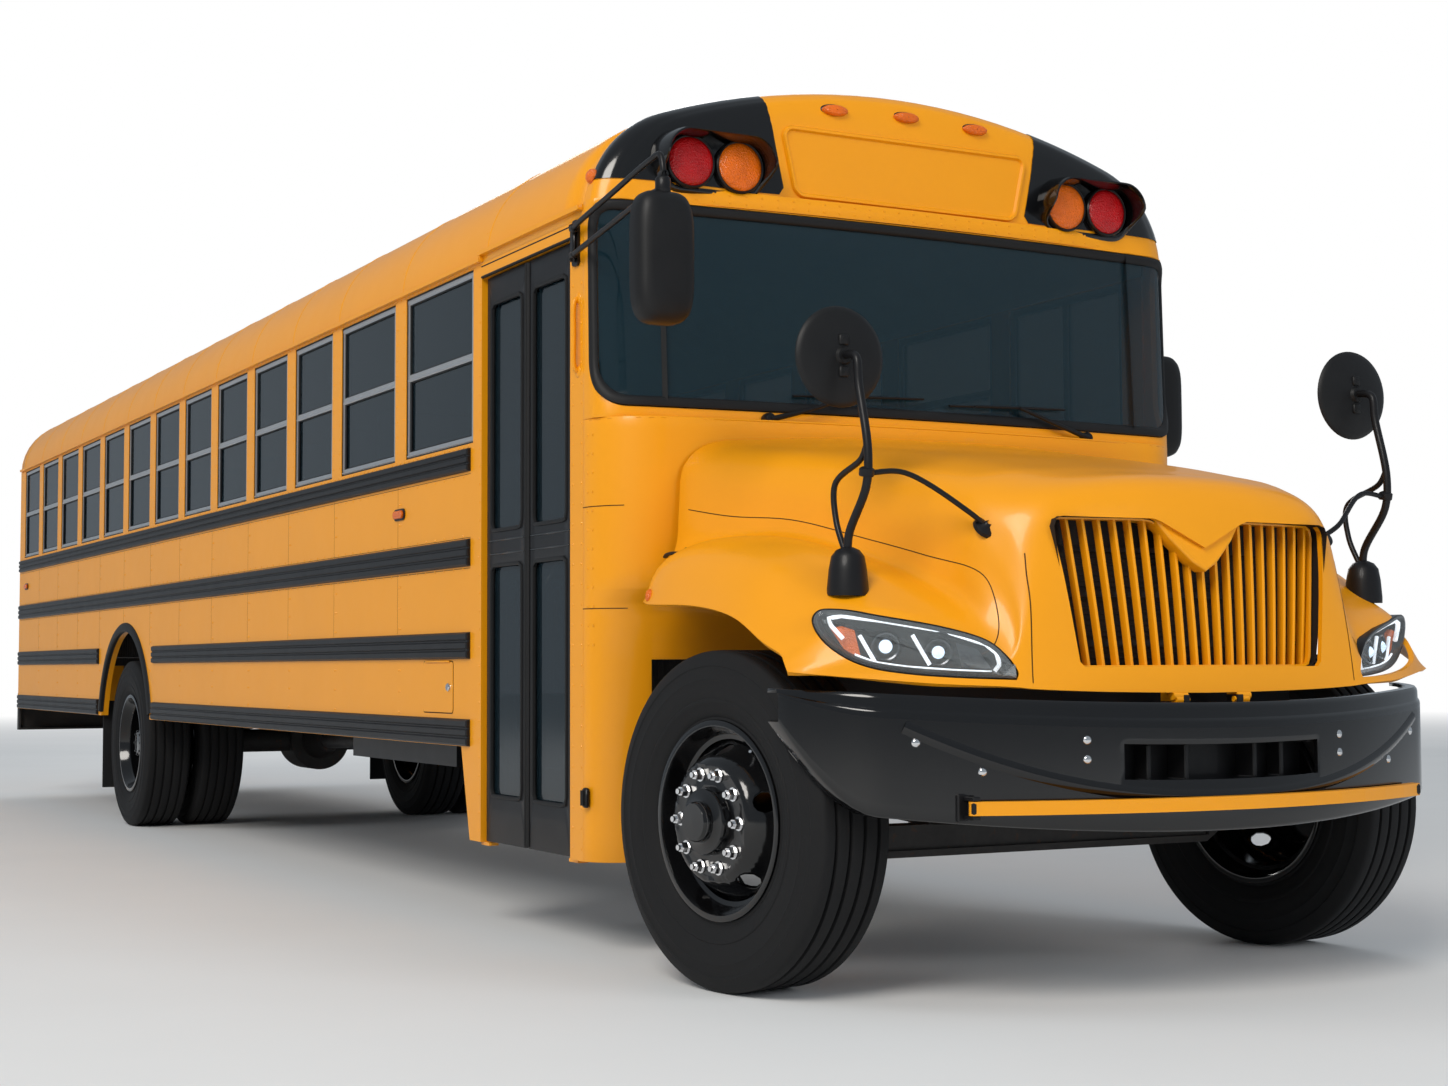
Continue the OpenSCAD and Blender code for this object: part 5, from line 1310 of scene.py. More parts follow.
class BUS_OT_windshield(BusPiece, bpy.types.Operator):
    """Windshield, its surround, gasket and wipers"""

    bl_idname = "bus.windshield"
    bl_label = "Windshield"

    def build(self, trim):
        edge = [(-HALF_T, COWL_TOP), (HALF_T, COWL_TOP), (HALF_T, CAP_LOW), (-HALF_T, CAP_LOW)]
        place = lambda f: surround_at(f[:, 0] / HALF_T, f[:, 1])
        panel(Shape(), edge, [shield_outline(6)], place, 30).make(
            "windshield_surround", "yellow", solid=36, bevel=3, outward=CABIN, smooth=40
        )
        pane = lambda f: surround_at(f[:, 0] / HALF_T, f[:, 1], 7)
        panel(Shape(), shield_outline(4), [], pane, 40).make(
            "windshield_pane", "shield", replaces=["windshield"], solid=6, outward=CABIN, smooth=60
        )
        loop = resample(shield_outline(-4), 26, True)
        gasket = Shape()
        rows = []
        for grow, out in ((15, 0), (13, 7), (2, 9), (-10, 6), (-19, 0), (-20, -9)):
            ring = inset(loop, 8 - grow)
            rows.append(surround_at(ring[:, 0] / HALF_T, ring[:, 1], -out))
        gasket.loft(rows)
        gasket.make("windshield_gasket", "rubber", smooth=60, outward=CABIN)
        line = Shape()
        for side in (-1, 1):
            z = np.linspace(SHIELD_LOW + 4, SHIELD_HIGH - 4, 12)
            p = surround_at(z * 0 + side * 1055 / HALF_T, z, 3)
            strip(line, p, p * 0 + (0.6, 0.8 * side, 0), 20, 6)
        line.make("windshield_dividers", "rubber")
        wiper = Shape()
        for y0 in (-640, 760):
            lean = 1 if y0 < 0 else -1
            foot = surround_at(np.array([y0 / HALF_T]), np.array([COWL_TOP + 10.0]), -26)[0]
            tip = surround_at(np.array([(y0 + lean * 330) / HALF_T]), np.array([SHIELD_LOW + 62.0]), -26)[0]
            arm = smooth_path([foot, foot + (tip - foot) * 0.35 + (8, 0, -4), tip], 20)
            wiper.tube(arm, np.linspace(11, 6, len(arm)), 10)
            wiper.lathe([(0, 22), (16, 20), (22, 12), (24, 0), (24, -20)], foot - (14, 0, 0), (1, 0, 0.1), 20)
            reach = np.linspace(-250, 300, 16) * lean + tip[1]
            blade = surround_at(reach / HALF_T, tip[2] + 0.03 * (reach - tip[1]), -13)
            wiper.tube(blade, 7, 8, flat=0.6)
            wiper.tube(blade[3:-3] + (8, 0, 0), 5, 8)
        wiper.make("windshield_wipers", "satin")


class BUS_OT_front_cap(BusPiece, bpy.types.Operator):
    """Cap over the windshield with its lamp pods, header strip and marker lamps"""

    bl_idname = "bus.front_cap"
    bl_label = "Front cap"

    def build(self, trim):
        rings = cap_rings()
        shell = Shape().grid(rings)
        last = rings[-1]
        base = np.array([(-693.0, 0, CAP_LOW + 1)])
        shell.add(np.vstack([last, base]), [(i, i + 1, len(last)) for i in range(len(last) - 1)])
        low = rings[:, [0, -1]]
        shell.grid([low[:, 0], low[:, 1]])
        shell.make("front_cap_shell", "yellow", replaces=["front_cap"], smooth=45)
        face = lambda f, d: facing(f, -694.0 + d)
        top = front_plan(SHIELD_X - 50, 52, -760, 205)
        keep = top[np.abs(top[:, 1]) < 985]
        rise = ((-14, 2540), (3, 2541), (5, 2548), (5, 2590), (1, 2596), (-40, 2597))
        Shape().grid([xyz(keep[:, 0] + out, keep[:, 1], z) for out, z in rise]).make(
            "header_strip", "yellow", outward=CABIN, smooth=40, solid=2)
        rivets = Shape()
        even = resample(keep, 62)
        normal = np.gradient(even, axis=0)
        for p, t in zip(even, normal):
            out = (abs(t[1]), -t[0] * np.sign(t[1]), 0)
            rivets.rivets([standing((p[0] + 4.5, p[1], z), out) for z in (2556, 2582)], 8)
        rivets.make("header_rivets", "yellow")
        sign = Shape()
        plate = rounded((-500, 2602), (500, 2850), 42, 7)
        arch = (1 - (plate[:, 0] / 500) ** 2) * (plate[:, 1] - 2602) / 248
        plate = np.column_stack([plate[:, 0] * (1 + 0.055 * (plate[:, 1] - 2726) / 124), plate[:, 1] + 36 * arch])
        sign.prism(inset(plate, 18), face, 1, 4)
        rows = np.array([face(inset(plate, k), d) for k, d in ((0, -8), (1, 7), (5, 13), (13, 13), (20, 3))])
        sign.loft(rows)
        sign.make("destination_panel", "yellow", smooth=40)
        self.pods()
        lamp, foot = Shape(), Shape()
        spots = [(-300, 2932), (0, 2941), (300, 2932)]
        for y, z in spots:
            x = -703.0
            a = around(28)
            for wide, tall, x0, x1, shape in ((62, 26, x - 30, x + 6, foot), (52, 19, x, x + 22, lamp)):
                shape.loft([
                    xyz(x0 + (x1 - x0) * d, y + k * wide * np.cos(a), z + k * tall * np.sin(a))
                    for k, d in ((1.0, 0.0), (1.0, 0.5), (0.9, 0.85), (0.6, 1.0), (0.05, 1.06))
                ])
        for side in (-1, 1):
            lamp.lathe(
                [(26, -4), (26, 8), (20, 18), (8, 24), (0.5, 25)], (-802, side * 1194, 2622), (0, side, 0.36),
                24
            )
        lamp.make("cap_marker_lenses", "amber_small", smooth=60)
        foot.make("cap_marker_bases", "smooth", smooth=60)

    def corner(self, side):
        """Skin over one corner of the cap, from the panel's slanting edge to the shoulder."""
        knots = [(-805.0, 1.0)] + [(r[0, 0], r[0, 1] / HALF_REACH) for r in cap_rings() if r[0, 0] > -776]
        rows = []
        for x, k in knots:
            line = cap_section(min(1.0, k), 60)
            half = resample(line[: len(line) // 2 + 1], 3)
            keep = half[(half[:, 1] > 2603) & (half[:, 0] > 506 + 0.2 * (half[:, 1] - 2603))]
            if len(keep) > 5:
                at = np.linspace(0, len(keep) - 1, 26)
                y, z = (np.interp(at, np.arange(len(keep)), keep[:, i]) for i in (0, 1))
                rows.append(xyz(x + 2.5, side * (y + 2.0), z + 1.5))
        return np.array(rows)

    def pods(self):
        """Gloss black pods, a deep visor over each lamp, and the lamps."""
        pod, visor, bezel = Shape(), Shape(), Shape()
        red, amber = Shape(), Shape()
        for side in (-1, 1):
            pod.grid(self.corner(side))
            ring = resample(rounded((596, 2592), (1004, 2772), 88, 8), 14, True)
            deep = np.clip((ring[:, 1] - 2606) / 90, 0, 1)
            deep = -688 + 96 * deep * deep * (3 - 2 * deep)
            rows = []
            for grow, ahead in ((22, 0), (12, 0.85), (7, 1), (1, 1), (-4, 0.9), (-8, 0)):
                flat = inset(ring, -grow)
                rows.append(xyz(-702 + (deep + 702) * ahead, side * flat[:, 0], flat[:, 1]))
            visor.loft(rows)
            for y, shape in ((886, red), (696, amber)):
                at = (-690, side * y, 2681)
                bezel.lathe([(92, 0), (92, 16), (88, 20), (84, 18), (84, 6)], at, (1, 0, 0), 56)
                lens_rows = [(84, 12), (82, 18), (70, 24), (52, 28), (30, 31), (8, 32), (0.5, 32)]
                shape.lathe(lens_rows, at, (1, 0, 0), 56)
                for r in (24, 44, 64):
                    shape.lathe(
                        [(r - 3, 29 - r * r / 560), (r, 33 - r * r / 560), (r + 3, 29 - r * r / 560)], at,
                        (1, 0, 0), 56
                    )
        pod.make("lamp_pods", "gloss", smooth=50, outward=CABIN)
        visor.make("lamp_visors", "gloss", smooth=50)
        bezel.make("lamp_bezels", "smooth", smooth=40)
        rear_red, rear_amber = self.rear_lamps()
        red.make("warning_lamps_red", "red", smooth=50)
        amber.make("warning_lamps_amber", "amber", smooth=50)
        rear_red.make("rear_lamps_red", "red", replaces=["lamps"], smooth=50)
        rear_amber.make("rear_lamps_amber", "amber", smooth=50)

    def rear_lamps(self):
        """Eight round lamps on the rear wall, with their rims."""
        red, amber, rim = Shape(), Shape(), Shape()
        for side in (-1, 1):
            for y, z, r, shape in (
                (HALF_W - 200, 2660, 86, red), (HALF_W - 400, 2680, 86, amber),
                (HALF_W - 190, 1480, 88, red), (HALF_W - 190, 1260, 88, amber),
            ):
                at = (REAR_FACE, side * y, z)
                rim.lathe([(r + 14, -1), (r + 14, 8), (r + 8, 14), (r, 12)], at, (-1, 0, 0), 48)
                shape.lathe([(r, 8), (r - 4, 15), (0.75 * r, 20), (0.4 * r, 22), (0.5, 22)], at, (-1, 0, 0), 48)
                shape.lathe([(0.5 * r, 20), (0.55 * r, 23), (0.6 * r, 20)], at, (-1, 0, 0), 48)
        rim.make("rear_lamp_rims", "smooth", smooth=40)
        return red, amber


class BUS_OT_cowl(BusPiece, bpy.types.Operator):
    """Cowl round the firewall, painted shade lines at its seams, rivets and grab handle"""

    bl_idname = "bus.cowl"
    bl_label = "Cowl"

    def build(self, trim):
        z = np.unique(np.concatenate([
            np.linspace(320, 660, 5), [SKIRT, 760, 860, 990], np.linspace(1000, 1170, 5),
            np.linspace(1170, 1230, 6), np.linspace(1230, COWL_TOP, 14)
        ]))
        t = np.linspace(-1, 1, 131)
        pts = cowl_at(*np.meshgrid(t, z))
        faces = []
        for i in range(len(z) - 1):
            for j in range(len(t) - 1):
                mid = pts[i : i + 2, j : j + 2].mean((0, 1))
                if (mid[2] > 990 or abs(mid[1]) > HALF_W - 180) and (mid[1] < 0 or mid[2] > SKIRT):
                    a = i * len(t) + j
                    faces.append((a, a + 1, a + 1 + len(t), a + len(t)))
        Shape().add(pts, faces).make(
            "cowl_skin", "yellow", replaces=["cowl"], solid=28, outward=CABIN, smooth=40, bevel=1.5
        )
        top = front_plan(-520, 80, -815, 235)
        x, y = top.T
        ledge = Shape().grid([xyz(x, y, COWL_TOP - 1), xyz(np.minimum(x, -700), y * 0.9, COWL_TOP + 3)])
        ledge.make("cowl_top", "yellow", solid=6, outward=(-600, 0, 1000), smooth=40)
        # The seams are thin strips of painted shade on the cowl.
        seams, rivets = Shape(), Shape()
        for side in (-1, 1):
            for height in (1160, 1500):
                t = np.linspace(0.86, 1.0, 16) * side
                line = cowl_at(t, t * 0 + height)
                strip(seams, line, self.normals(line), 3.0, 0.8)
            for t in (0.955, 0.975):
                heights = np.arange(1040, 1780, 0.75 * trim.pitch / MM)
                for p in cowl_at(heights * 0 + t * side, heights):
                    rivets.rivets([standing(p, (0.15, side, 0))])
        seams.make("cowl_seam_shade", "gap")
        rivets.make("cowl_rivets", "yellow")
        handle = Shape()
        y = -HALF_W + 1
        path = [
            (-870, y, 1965), (-870, y - 12, 1974), (-870, y - 17, 1992), (-870, y - 17, 2090),
            (-870, y - 17, 2188), (-870, y - 12, 2206), (-870, y, 2215)
        ]
        handle.tube(smooth_path(path, 60), 9, 14)
        for z in (1965, 2215):
            handle.lathe([(0, 5), (16, 5), (21, 2), (22, -1)], (-870, y, z), (0, -1, 0), 24)
        hook = Shape().box((-812, -HALF_W - 14, 500), (-780, -HALF_W + 4, 566), 6)
        hook.tube([(-796, -HALF_W - 16, 508), (-796, -HALF_W - 16, 558)], 9, 12)
        hook.make("cowl_hook", "satin", smooth=40)
        handle.make("entry_grab_handle", "yellow", smooth=60)

    def normals(self, line):
        """Outward directions along a plan line of the cowl."""
        t = np.gradient(line, axis=0)
        return unit(xyz(np.abs(t[:, 1]), np.abs(t[:, 0]) * np.sign(line[:, 1]), 0))


class BUS_OT_hood(BusPiece, bpy.types.Operator):
    """One-piece hood and fenders, cut for the grille and headlights"""

    bl_idname = "bus.hood"
    bl_label = "Hood"

    def build(self, trim):
        v, u = between(HOOD_V, 6), between(HOOD_U, 5)
        skin = Shape().grid(hood_points(v, u)).make(
            "hood_shell", "yellow", "hood", replaces=["hood"], solid=16, outward=(0, 0, 900), smooth=75
        )
        cuts = []
        cuts.append(Shape().prism(grille_outline(0), facing, 640, 1000).make("cut_grille", "yellow", "hood"))
        for side in (-1, 1):
            cuts.append(Shape().prism(
                light_ring(0), light_place(side), 860, 1300
            ).make("cut_light", "yellow", "hood"))
        cut_out(skin, *cuts)
        skin.data.shade_smooth()
        skin.data.set_sharp_from_angle(angle=math.radians(42))
        # The seams are thin strips of painted shade on the hood.
        seams, rubber, chrome, small = Shape(), Shape(), Shape(), Shape()
        for side in (-1, 1):
            p, n = hood_line([6.55, 6.9, 7.3, 7.95], [side * c for c in (3.15, 3.3, 3.25, 3.05)])
            strip(seams, p, n, 3.5, 0.7)
            p, n = hood_line(
                [0.2, 1.5, 3.0, 4.5, 5.7, 6.4, 6.8], [side * c for c in (5.0, 5.0, 5.0, 5.0, 4.9, 5.4, 6.5)]
            )
            strip(seams, p, n, 3.0, 0.7)
            p, n = hood_line([0.35, 0.36], [side * 6.4, side * 6.9], 0, 6)
            latch = p[2]
            rubber.tube(
                smooth_path(
                    [
                        latch + (-70, side * 22, -4), latch + (-30, side * 34, 2), latch + (20, side * 34, 4),
                        latch + (62, side * 20, 0)
                    ],
                    20
                ),
                9, 10, flat=0.6
            )
            rubber.lathe([(0, 12), (14, 12), (20, 6), (21, -8)], latch + (66, side * 14, 0), (0, side, 0.2), 20)
            chrome.lathe([(0, 15), (7, 15), (8, 11)], latch + (66, side * 14, 0), (0, side, 0.2), 16)
            mark = hood_line([0.8, 0.9], [side * 8.75, side * 8.78], 0, 4)[0][1]
            small.lathe([(20, -5), (20, 5), (14, 10), (0.5, 12)], mark, (-0.2, side, 0.2), 20)
        seams.make("hood_seam_shade", "gap", "hood")
        rubber.make("hood_latches", "rubber", "hood", smooth=60)
        chrome.make("hood_latch_studs", "chrome", "hood")
        small.make("fender_markers", "amber_small", "hood", smooth=60)
        knuckles = Shape()
        for side in (-1, 1):
            knuckles.tube([(884, side * 92, 876), (884, side * 144, 876)], 12, 16)
            knuckles.box((862, side * 98, 868), (886, side * 138, 890), 4)
        knuckles.make("hinge_knuckles", "yellow", "hood", smooth=40)


class BUS_OT_grille(BusPiece, bpy.types.Operator):
    """Grille fins, their frame, the dark core behind and the blank shield"""

    bl_idname = "bus.grille"
    bl_label = "Grille"

    def build(self, trim):
        fins = Shape()
        for side in (-1, 1):
            for i in range(10):
                f = (i + 0.5) / 10
                z = np.linspace(962, 1386, 9)
                half = (452 + (509 - 452) * climb(z)) * f * side
                nose = 858 - 58 * f * f - 26 * climb(z) - 10 * climb(z) ** 2
                if i == 0:
                    z = np.linspace(962, 1322, 9)
                sec = [(-30, -2.5), (-9, -6.5), (-2, -5), (0, 0), (-2, 5), (-9, 6.5), (-30, 2.5)]
                fins.loft([[(x + a, y + b, h) for a, b in sec] for x, y, h in zip(nose, half, z)])
        fins.make("grille_fins", "yellow", "hood", replaces=["grille"], smooth=50)
        bars = Shape()
        for z in (1030, 1170, 1300):
            y = np.linspace(-1, 1, 17) * (440 + 50 * climb(z))
            x = 812 - 55 * (y / 480) ** 2 - 24 * climb(z)
            ring = [(-12, -7), (0, -7), (0, 7), (-12, 7)]
            bars.loft([[(p + i, q, z + j) for i, j in ring] for p, q in zip(x, y)])
        bars.make("grille_cross_bars", "satin", "hood")
        core = Shape()
        mesh_x = 742
        core.prism(grille_outline(-4) * (1.12, 1), facing, mesh_x - 8, mesh_x)
        for z in np.arange(968, 1306, 16.0):
            half = 440 + 50 * climb(z)
            core.box((mesh_x, -half, z), (mesh_x + 5, half, z + 5), 1)
        ring = resample(grille_outline(0), 26, True)
        core.loft([facing(ring * (1.014, 1), d) for d in (738, 832)])
        core.make("radiator_screen", "rubber", "hood")
        rim = Shape()
        ring = resample(grille_outline(2), 26, True)
        front = 862 - 62 * (ring[:, 0] / 500) ** 2 - 34 * climb(ring[:, 1])
        rim.loft([xyz(front - d, *inset(ring, -k).T) for k, d in ((3, 60), (3, -2), (-3, -5), (-7, -2), (-7, 60))])
        rim.make("grille_rim", "yellow", "hood", smooth=40)
        pad = Shape()
        shield = np.array([
            (0, 1236), (46, 1262), (118, 1330), (150, 1372), (160, 1400), (150, 1414), (60, 1424), (0, 1426)
        ])
        ring = resample(np.vstack([shield, (shield[1:-1] * (-1, 1))[::-1]]), 12, True)
        lift = lambda f, d: facing(f, 868 - 34 * (f[:, 1] - 1230) / 200 - 30 * (f[:, 0] / 300) ** 2 + d)
        pad.loft([lift(inset(ring, k), d) for k, d in ((0, -44), (0, 2), (3, 7), (9, 9), (16, 6), (20, 6))])
        pad.add(lift(inset(ring, 20), 6), [tuple(range(len(ring)))])
        pad.make("blank_shield", "yellow", "hood", smooth=50)


class BUS_OT_headlights(BusPiece, bpy.types.Operator):
    """Headlight clusters: tray, projectors, light bars, reflectors and covers"""

    bl_idname = "bus.headlights"
    bl_label = "Headlights"

    def build(self, trim):
        tray, bars, ring_shape, eye, amber, cover, plate = (Shape() for _ in range(7))
        for side in (-1, 1):
            place = light_place(side)
            rows = [
                place(light_ring(k), d)
                for k, d in ((1, 985), (1, 1032), (4, 1035), (13, 1034), (20, 1024), (26, 985))
            ]
            tray.loft(rows)
            back = light_ring(22)
            tray.add(place(back, 988), [tuple(range(len(back)))])
            top = resample(
                [(232, 1026), (345, 1062), (520, 1092), (632, 1106), (668, 1100), (664, 1082), (628, 1042)],
                12
            )
            path = place(top, 1022)
            bars.tube(path, 8, 10, flat=0.8)
            left = resample([(232, 1026), (200, 1000), (192, 968), (206, 950)], 10)
            bars.tube(place(left, 1022), 8, 10, flat=0.8)
            low = resample([(214, 948), (320, 953), (452, 963), (540, 976), (596, 998)], 12)
            bars.tube(place(low, 1018), 3.5, 8)
            for u in (408, 556):
                slant = place(np.array([(u - 22, 968.0), (u, 1006.0), (u + 26, 1052.0)]), 1014)
                bars.tube(smooth_path(slant, 14), 6, 10)
            axis = (math.cos(LIGHT_TURN), side * math.sin(LIGHT_TURN), 0)
            for u, z, r in ((509, 1020, 34), (362, 1003, 32)):
                at = place(np.array([(u, z)]), 992)[0]
                ring_shape.lathe([(r + 14, -4), (r + 12, 12), (r + 5, 22), (r, 20), (r - 2, 4)], at, axis, 40)
                ring_shape.lathe([(r - 2, 4), (0.8 * r, 14), (0.56 * r, 20)], at, axis, 40)
                eye.lathe([(0.58 * r, 19), (0.4 * r, 26), (0.2 * r, 30), (0.5, 31)], at, axis, 40)
            patch = np.array([(578, 990), (622, 1008), (664, 1072), (632, 1078), (596, 1066)])
            amber.prism(patch, place, 996, 1010)
            plate.prism(np.array([(214, 958), (296, 962), (312, 1030), (252, 1012)]), place, 990, 1000)
            bulge = [(2, 1033), (8, 1037), (22, 1041), (44, 1043)]
            rows = [place(light_ring(k), d) for k, d in bulge]
            cover.loft(rows)
            inner = light_ring(44)
            cover.add(place(inner, 1043), [tuple(range(len(inner)))])
        tray.make("headlight_trays", "smooth", "hood", replaces=["headlights"], smooth=40)
        bars.make("headlight_bars", "glow", "hood", smooth=60)
        ring_shape.make("projector_rings", "dark_chrome", "hood", smooth=50)
        eye.make("projector_lenses", "beam", "hood", smooth=70)
        amber.make("turn_reflectors", "amber_small", "hood")
        plate.make("corner_reflectors", "dark_chrome", "hood")
        cover.make("headlight_covers", "clear", "hood", smooth=60)


class BUS_OT_front_bumper(BusPiece, bpy.types.Operator):
    """Front bumper with its top lip, sweeping recess lines, opening, hooks and bolts"""

    bl_idname = "bus.front_bumper"
    bl_label = "Front bumper"

    def build(self, trim):
        y = np.unique(np.round(np.concatenate([np.linspace(-BUMPER_END, BUMPER_END, 97), [-360, 360]]), 3))
        # share of the height, and how far back the skin lies there
        rows = [(-0.0, 60), (0.0, 8), (0.012, 2)]
        rows += [(v, 0) for v in (0.03, 0.12, 0.25, 0.401, 0.5, 0.60, 0.676, 0.72, 0.80, 0.845)]
        rows += [(0.862, 3), (0.878, 9), (0.955, 10), (0.975, 12), (1.0, 20), (1.0, 60)]
        pts = np.array([[bumper_at(a, v, back) for v, back in rows] for a in y])
        faces, m = [], len(rows)
        for i in range(len(y) - 1):
            for j in range(m - 1):
                if not (abs(y[i] + y[i + 1]) / 2 < 360 and 0.40 < (rows[j][0] + rows[j + 1][0]) / 2 < 0.677):
                    a = i * m + j
                    faces.append((a, a + 1, a + 1 + m, a + m))
        Shape().add(pts, faces).make(
            "bumper_bar", "gloss", slot="bumper_black", replaces=["front_bumper"], solid=12,
            outward=(0, 0, 690), bevel=3, smooth=50
        )
        lines, plate = Shape(), Shape()
        s = np.linspace(-1, 1, 90)
        reach, v_mid, v_end = 960, 0.27, 0.74
        a = reach * s
        p = bumper_at(a, v_mid + (v_end - v_mid) * np.abs(s) ** 2.6)
        n = unit(xyz(1, bumper_turn(a), 0 * a))
        side = unit(np.cross(np.gradient(p, axis=0), n))
        lines.grid([p - side * 20 - n, p - side * 9 + n * 7, p + side * 6 + n * 7, p + side * 20 - n])
        lines.make("bumper_ribs", "gloss", slot="bumper_black", smooth=60, outward=(0, 0, 690))
        plate.box((838, -372, 628), (846, 372, 752))
        for side in (-1, 1):
            plate.box((846, side * 120, 640), (925, side * 135, 740), 3)
            plate.box((846, side * 240, 640), (905, side * 255, 740), 3)
        plate.make("bumper_opening_back", "satin", slot="bumper_black")
        bolts = Shape()
        for side in (-1, 1):
            for a, v in ((470, 0.55), (470, 0.70), (760, 0.42), (930, 0.62)):
                at = standing(bumper_at(a, v, 1) * (1, side, 1), (1, side * bumper_turn(a), 0))
                bolts.copies(*dome(13, 0.5, 14), [at])
        bolts.make("bumper_bolts", "chrome", smooth=50)
        hinge = Shape()
        hy = -800.0
        hx = float(bumper_x(hy)) + 34
        for z in (543, 595):
            hinge.box((hx - 60, hy - 14, z), (hx + 14, hy + 10, z + 12), 2)
        hinge.tube([(hx, hy, 545), (hx, hy, 605)], 6, 12)
        hinge.box((hx - 52, hy - 32, 536), (hx - 34, hy + 32, 614), 4)
        hinge.make("crossing_arm_bracket", "satin", slot="bumper_black")
        cap = Shape()
        cap.box((hx - 16, hy - 16, 557), (hx + 16, hy + 60, 593), 5)
        end = float(bumper_x(880.0)) + 34
        cap.box((end - 12, 868, 558), (end + 18, 898, 592), 6)
        cap.make("crossing_arm_ends", "smooth", "crossing_arm")


class BUS_OT_stop_arm(BusPiece, bpy.types.Operator):
    """Stop arm: octagon sign with its white border, lamps and hinge"""

    bl_idname = "bus.stop_arm"
    bl_label = "Stop arm"

    def build(self, trim):
        cx, cz, flat = -1365.0, 1450.0, 225.0
        turn = PI / 8 + np.arange(8) * PI / 4
        ring = lambda k: (cx, cz) + k * flat / math.cos(PI / 8) * np.column_stack([np.cos(turn), np.sin(turn)])
        place = beside(1)
        Shape().prism(ring(0.985), place, 22, 30).make(
            "stop_sign", "sign", "stop_arm", replaces=["stop_arm"], bevel=1
        )
        border, lamps, arm = Shape(), Shape(), Shape()
        for d, s in ((30.0, 1), (22.0, -1)):
            rows = np.array([
                place(ring(k), d + s * h) for k, h in ((0.99, 0), (0.99, 0.9), (0.92, 0.9), (0.92, 0))
            ])
            border.loft(rows)
        for z in (cz + 150, cz - 150):
            for s, d in ((1, 30), (-1, 22)):
                lamps.lathe(
                    [(38, 0), (38, 5 if s > 0 else 3), (30, 7 if s > 0 else 4), (0.5, 9 if s > 0 else 5)],
                    (cx, HALF_W + d, z), (0, s, 0), 32
                )
        border.make("stop_sign_border", "white", "stop_arm", slot="sign_red")
        lamps.make("stop_sign_lamps", "red", "stop_arm", smooth=50)
        for z in (cz - 90, cz + 90):
            arm.box((cx - 100, HALF_W + 30, z - 16), (-1080, HALF_W + 38, z + 16), 2)
            arm.tube([(-1080, HALF_W + 34, z - 16), (-1080, HALF_W + 34, z + 16)], 12, 20)
        arm.make("stop_arm_straps", "satin", "stop_arm", smooth=40)


class BUS_OT_entry_doors(BusPiece, bpy.types.Operator):
    """Entrance door leaves with tall panes, gaskets and middle seal"""

    bl_idname = "bus.entry_doors"
    bl_label = "Entrance doors"

    LEAF = 379.5

    def build(self, trim):
        face = -HALF_W + 15
        mid = face + 19
        for name, hinge, edge, node in (
            ("front", ENTRY_FRONT - 25, ENTRY_FRONT - 25 - self.LEAF, "entry_door_front"),
            ("rear", ENTRY_REAR + 25, ENTRY_REAR + 25 + self.LEAF, "entry_door_rear"),
        ):
            s = 1 if hinge > edge else -1
            body = "entry_leaf_" + name
            low, high = 325.0, 2424.0
            outer = [(min(hinge, edge) + 3, low), (max(hinge, edge) - 3, high)]
            outline = rounded(outer[0], outer[1], 12, 3)
            inner0, inner1 = sorted((edge + s * 47, hinge - s * 38))
            panes = [rounded((inner0, 492), (inner1, 1343), 26, 5), rounded((inner0, 1470), (inner1, 2322), 26, 5)]
            frame_shape = Shape()
            panel(frame_shape, outline, panes, lambda f: xyz(f[:, 0], face, f[:, 1]))
            frame_shape.make(
                "entry_leaf_%s_frame" % name, "satin", body, slot="door_black", replaces=[node], solid=37,
                bevel=3, outward=(hinge, 0, 1400)
            )
            stile = Shape()
            stile.tube([(hinge, mid, low), (hinge, mid, high)], 18.5, 24)
            stile.make("entry_leaf_%s_hinge_stile" % name, "satin", body, slot="door_black", smooth=50, bevel=1.5)
            seal, glass, trim_piece = Shape(), Shape(), Shape()
            for ring in panes:
                even = resample(ring, 30, True)
                place = lambda f, d: xyz(f[:, 0], d, f[:, 1])
                seal.loft([
                    place(inset(even, k), face + d) for k, d in ((-6, 0), (-5, -4), (2, -6), (8, -3), (9, 6))
                ])
                glass.prism(inset(ring, 2), place, mid - 5, mid + 2)
            for k in range(3):
                x = edge + s * (4 + 6 * k)
                seal.tube([(x, face - 3.5 + k, low + 6), (x, face - 3.5 + k, high - 6)], 4.2 - 0.6 * k, 8)
            seal.box((edge, face + 4, low + 4), (edge + s * 8, face + 34, high - 4), 2)
            seal.make("entry_leaf_%s_seals" % name, "rubber", body, slot="door_black", smooth=50)
            glass.make("entry_leaf_%s_panes" % name, "glass", body)
            for z in (1380, 1430):
                trim_piece.box((inner0 - 20, face - 3, z), (inner1 + 20, face + 2, z + 7), 2)
            trim_piece.tube(
                [
                    (inner1 - 40 * s if s > 0 else inner0 + 40, mid + 24, 900),
                    (inner1 - 40 * s if s > 0 else inner0 + 40, mid + 24, 1330)
                ],
                8, 12
            )
            trim_piece.make("entry_leaf_%s_rails" % name, "gloss", body, slot="door_black", smooth=40)
        lining = Shape()
        for z in (2432, 2470):
            lining.box((ENTRY_REAR - 4, -HALF_W - 2, z), (ENTRY_FRONT + 8, -HALF_W + 8, z + 5), 1.5)
        lining.box((ENTRY_REAR, -HALF_W - 5, 2428), (ENTRY_FRONT, -HALF_W + 10, 2434), 2)
        lining.make("entry_header_trim", "rubber")
        tread = Shape()
        rise = (FLOOR_Z - ENTRY_LOW - 25) / 3
        for i in range(3):
            z = ENTRY_LOW + 25 + rise * i
            y = -HALF_W + WALL + 200 * (i + 1) - 34
            tread.box((ENTRY_REAR + 12, y, z), (ENTRY_FRONT - 12, y + 34, z + 4), 1.5)
        tread.make("step_nosings", "white")


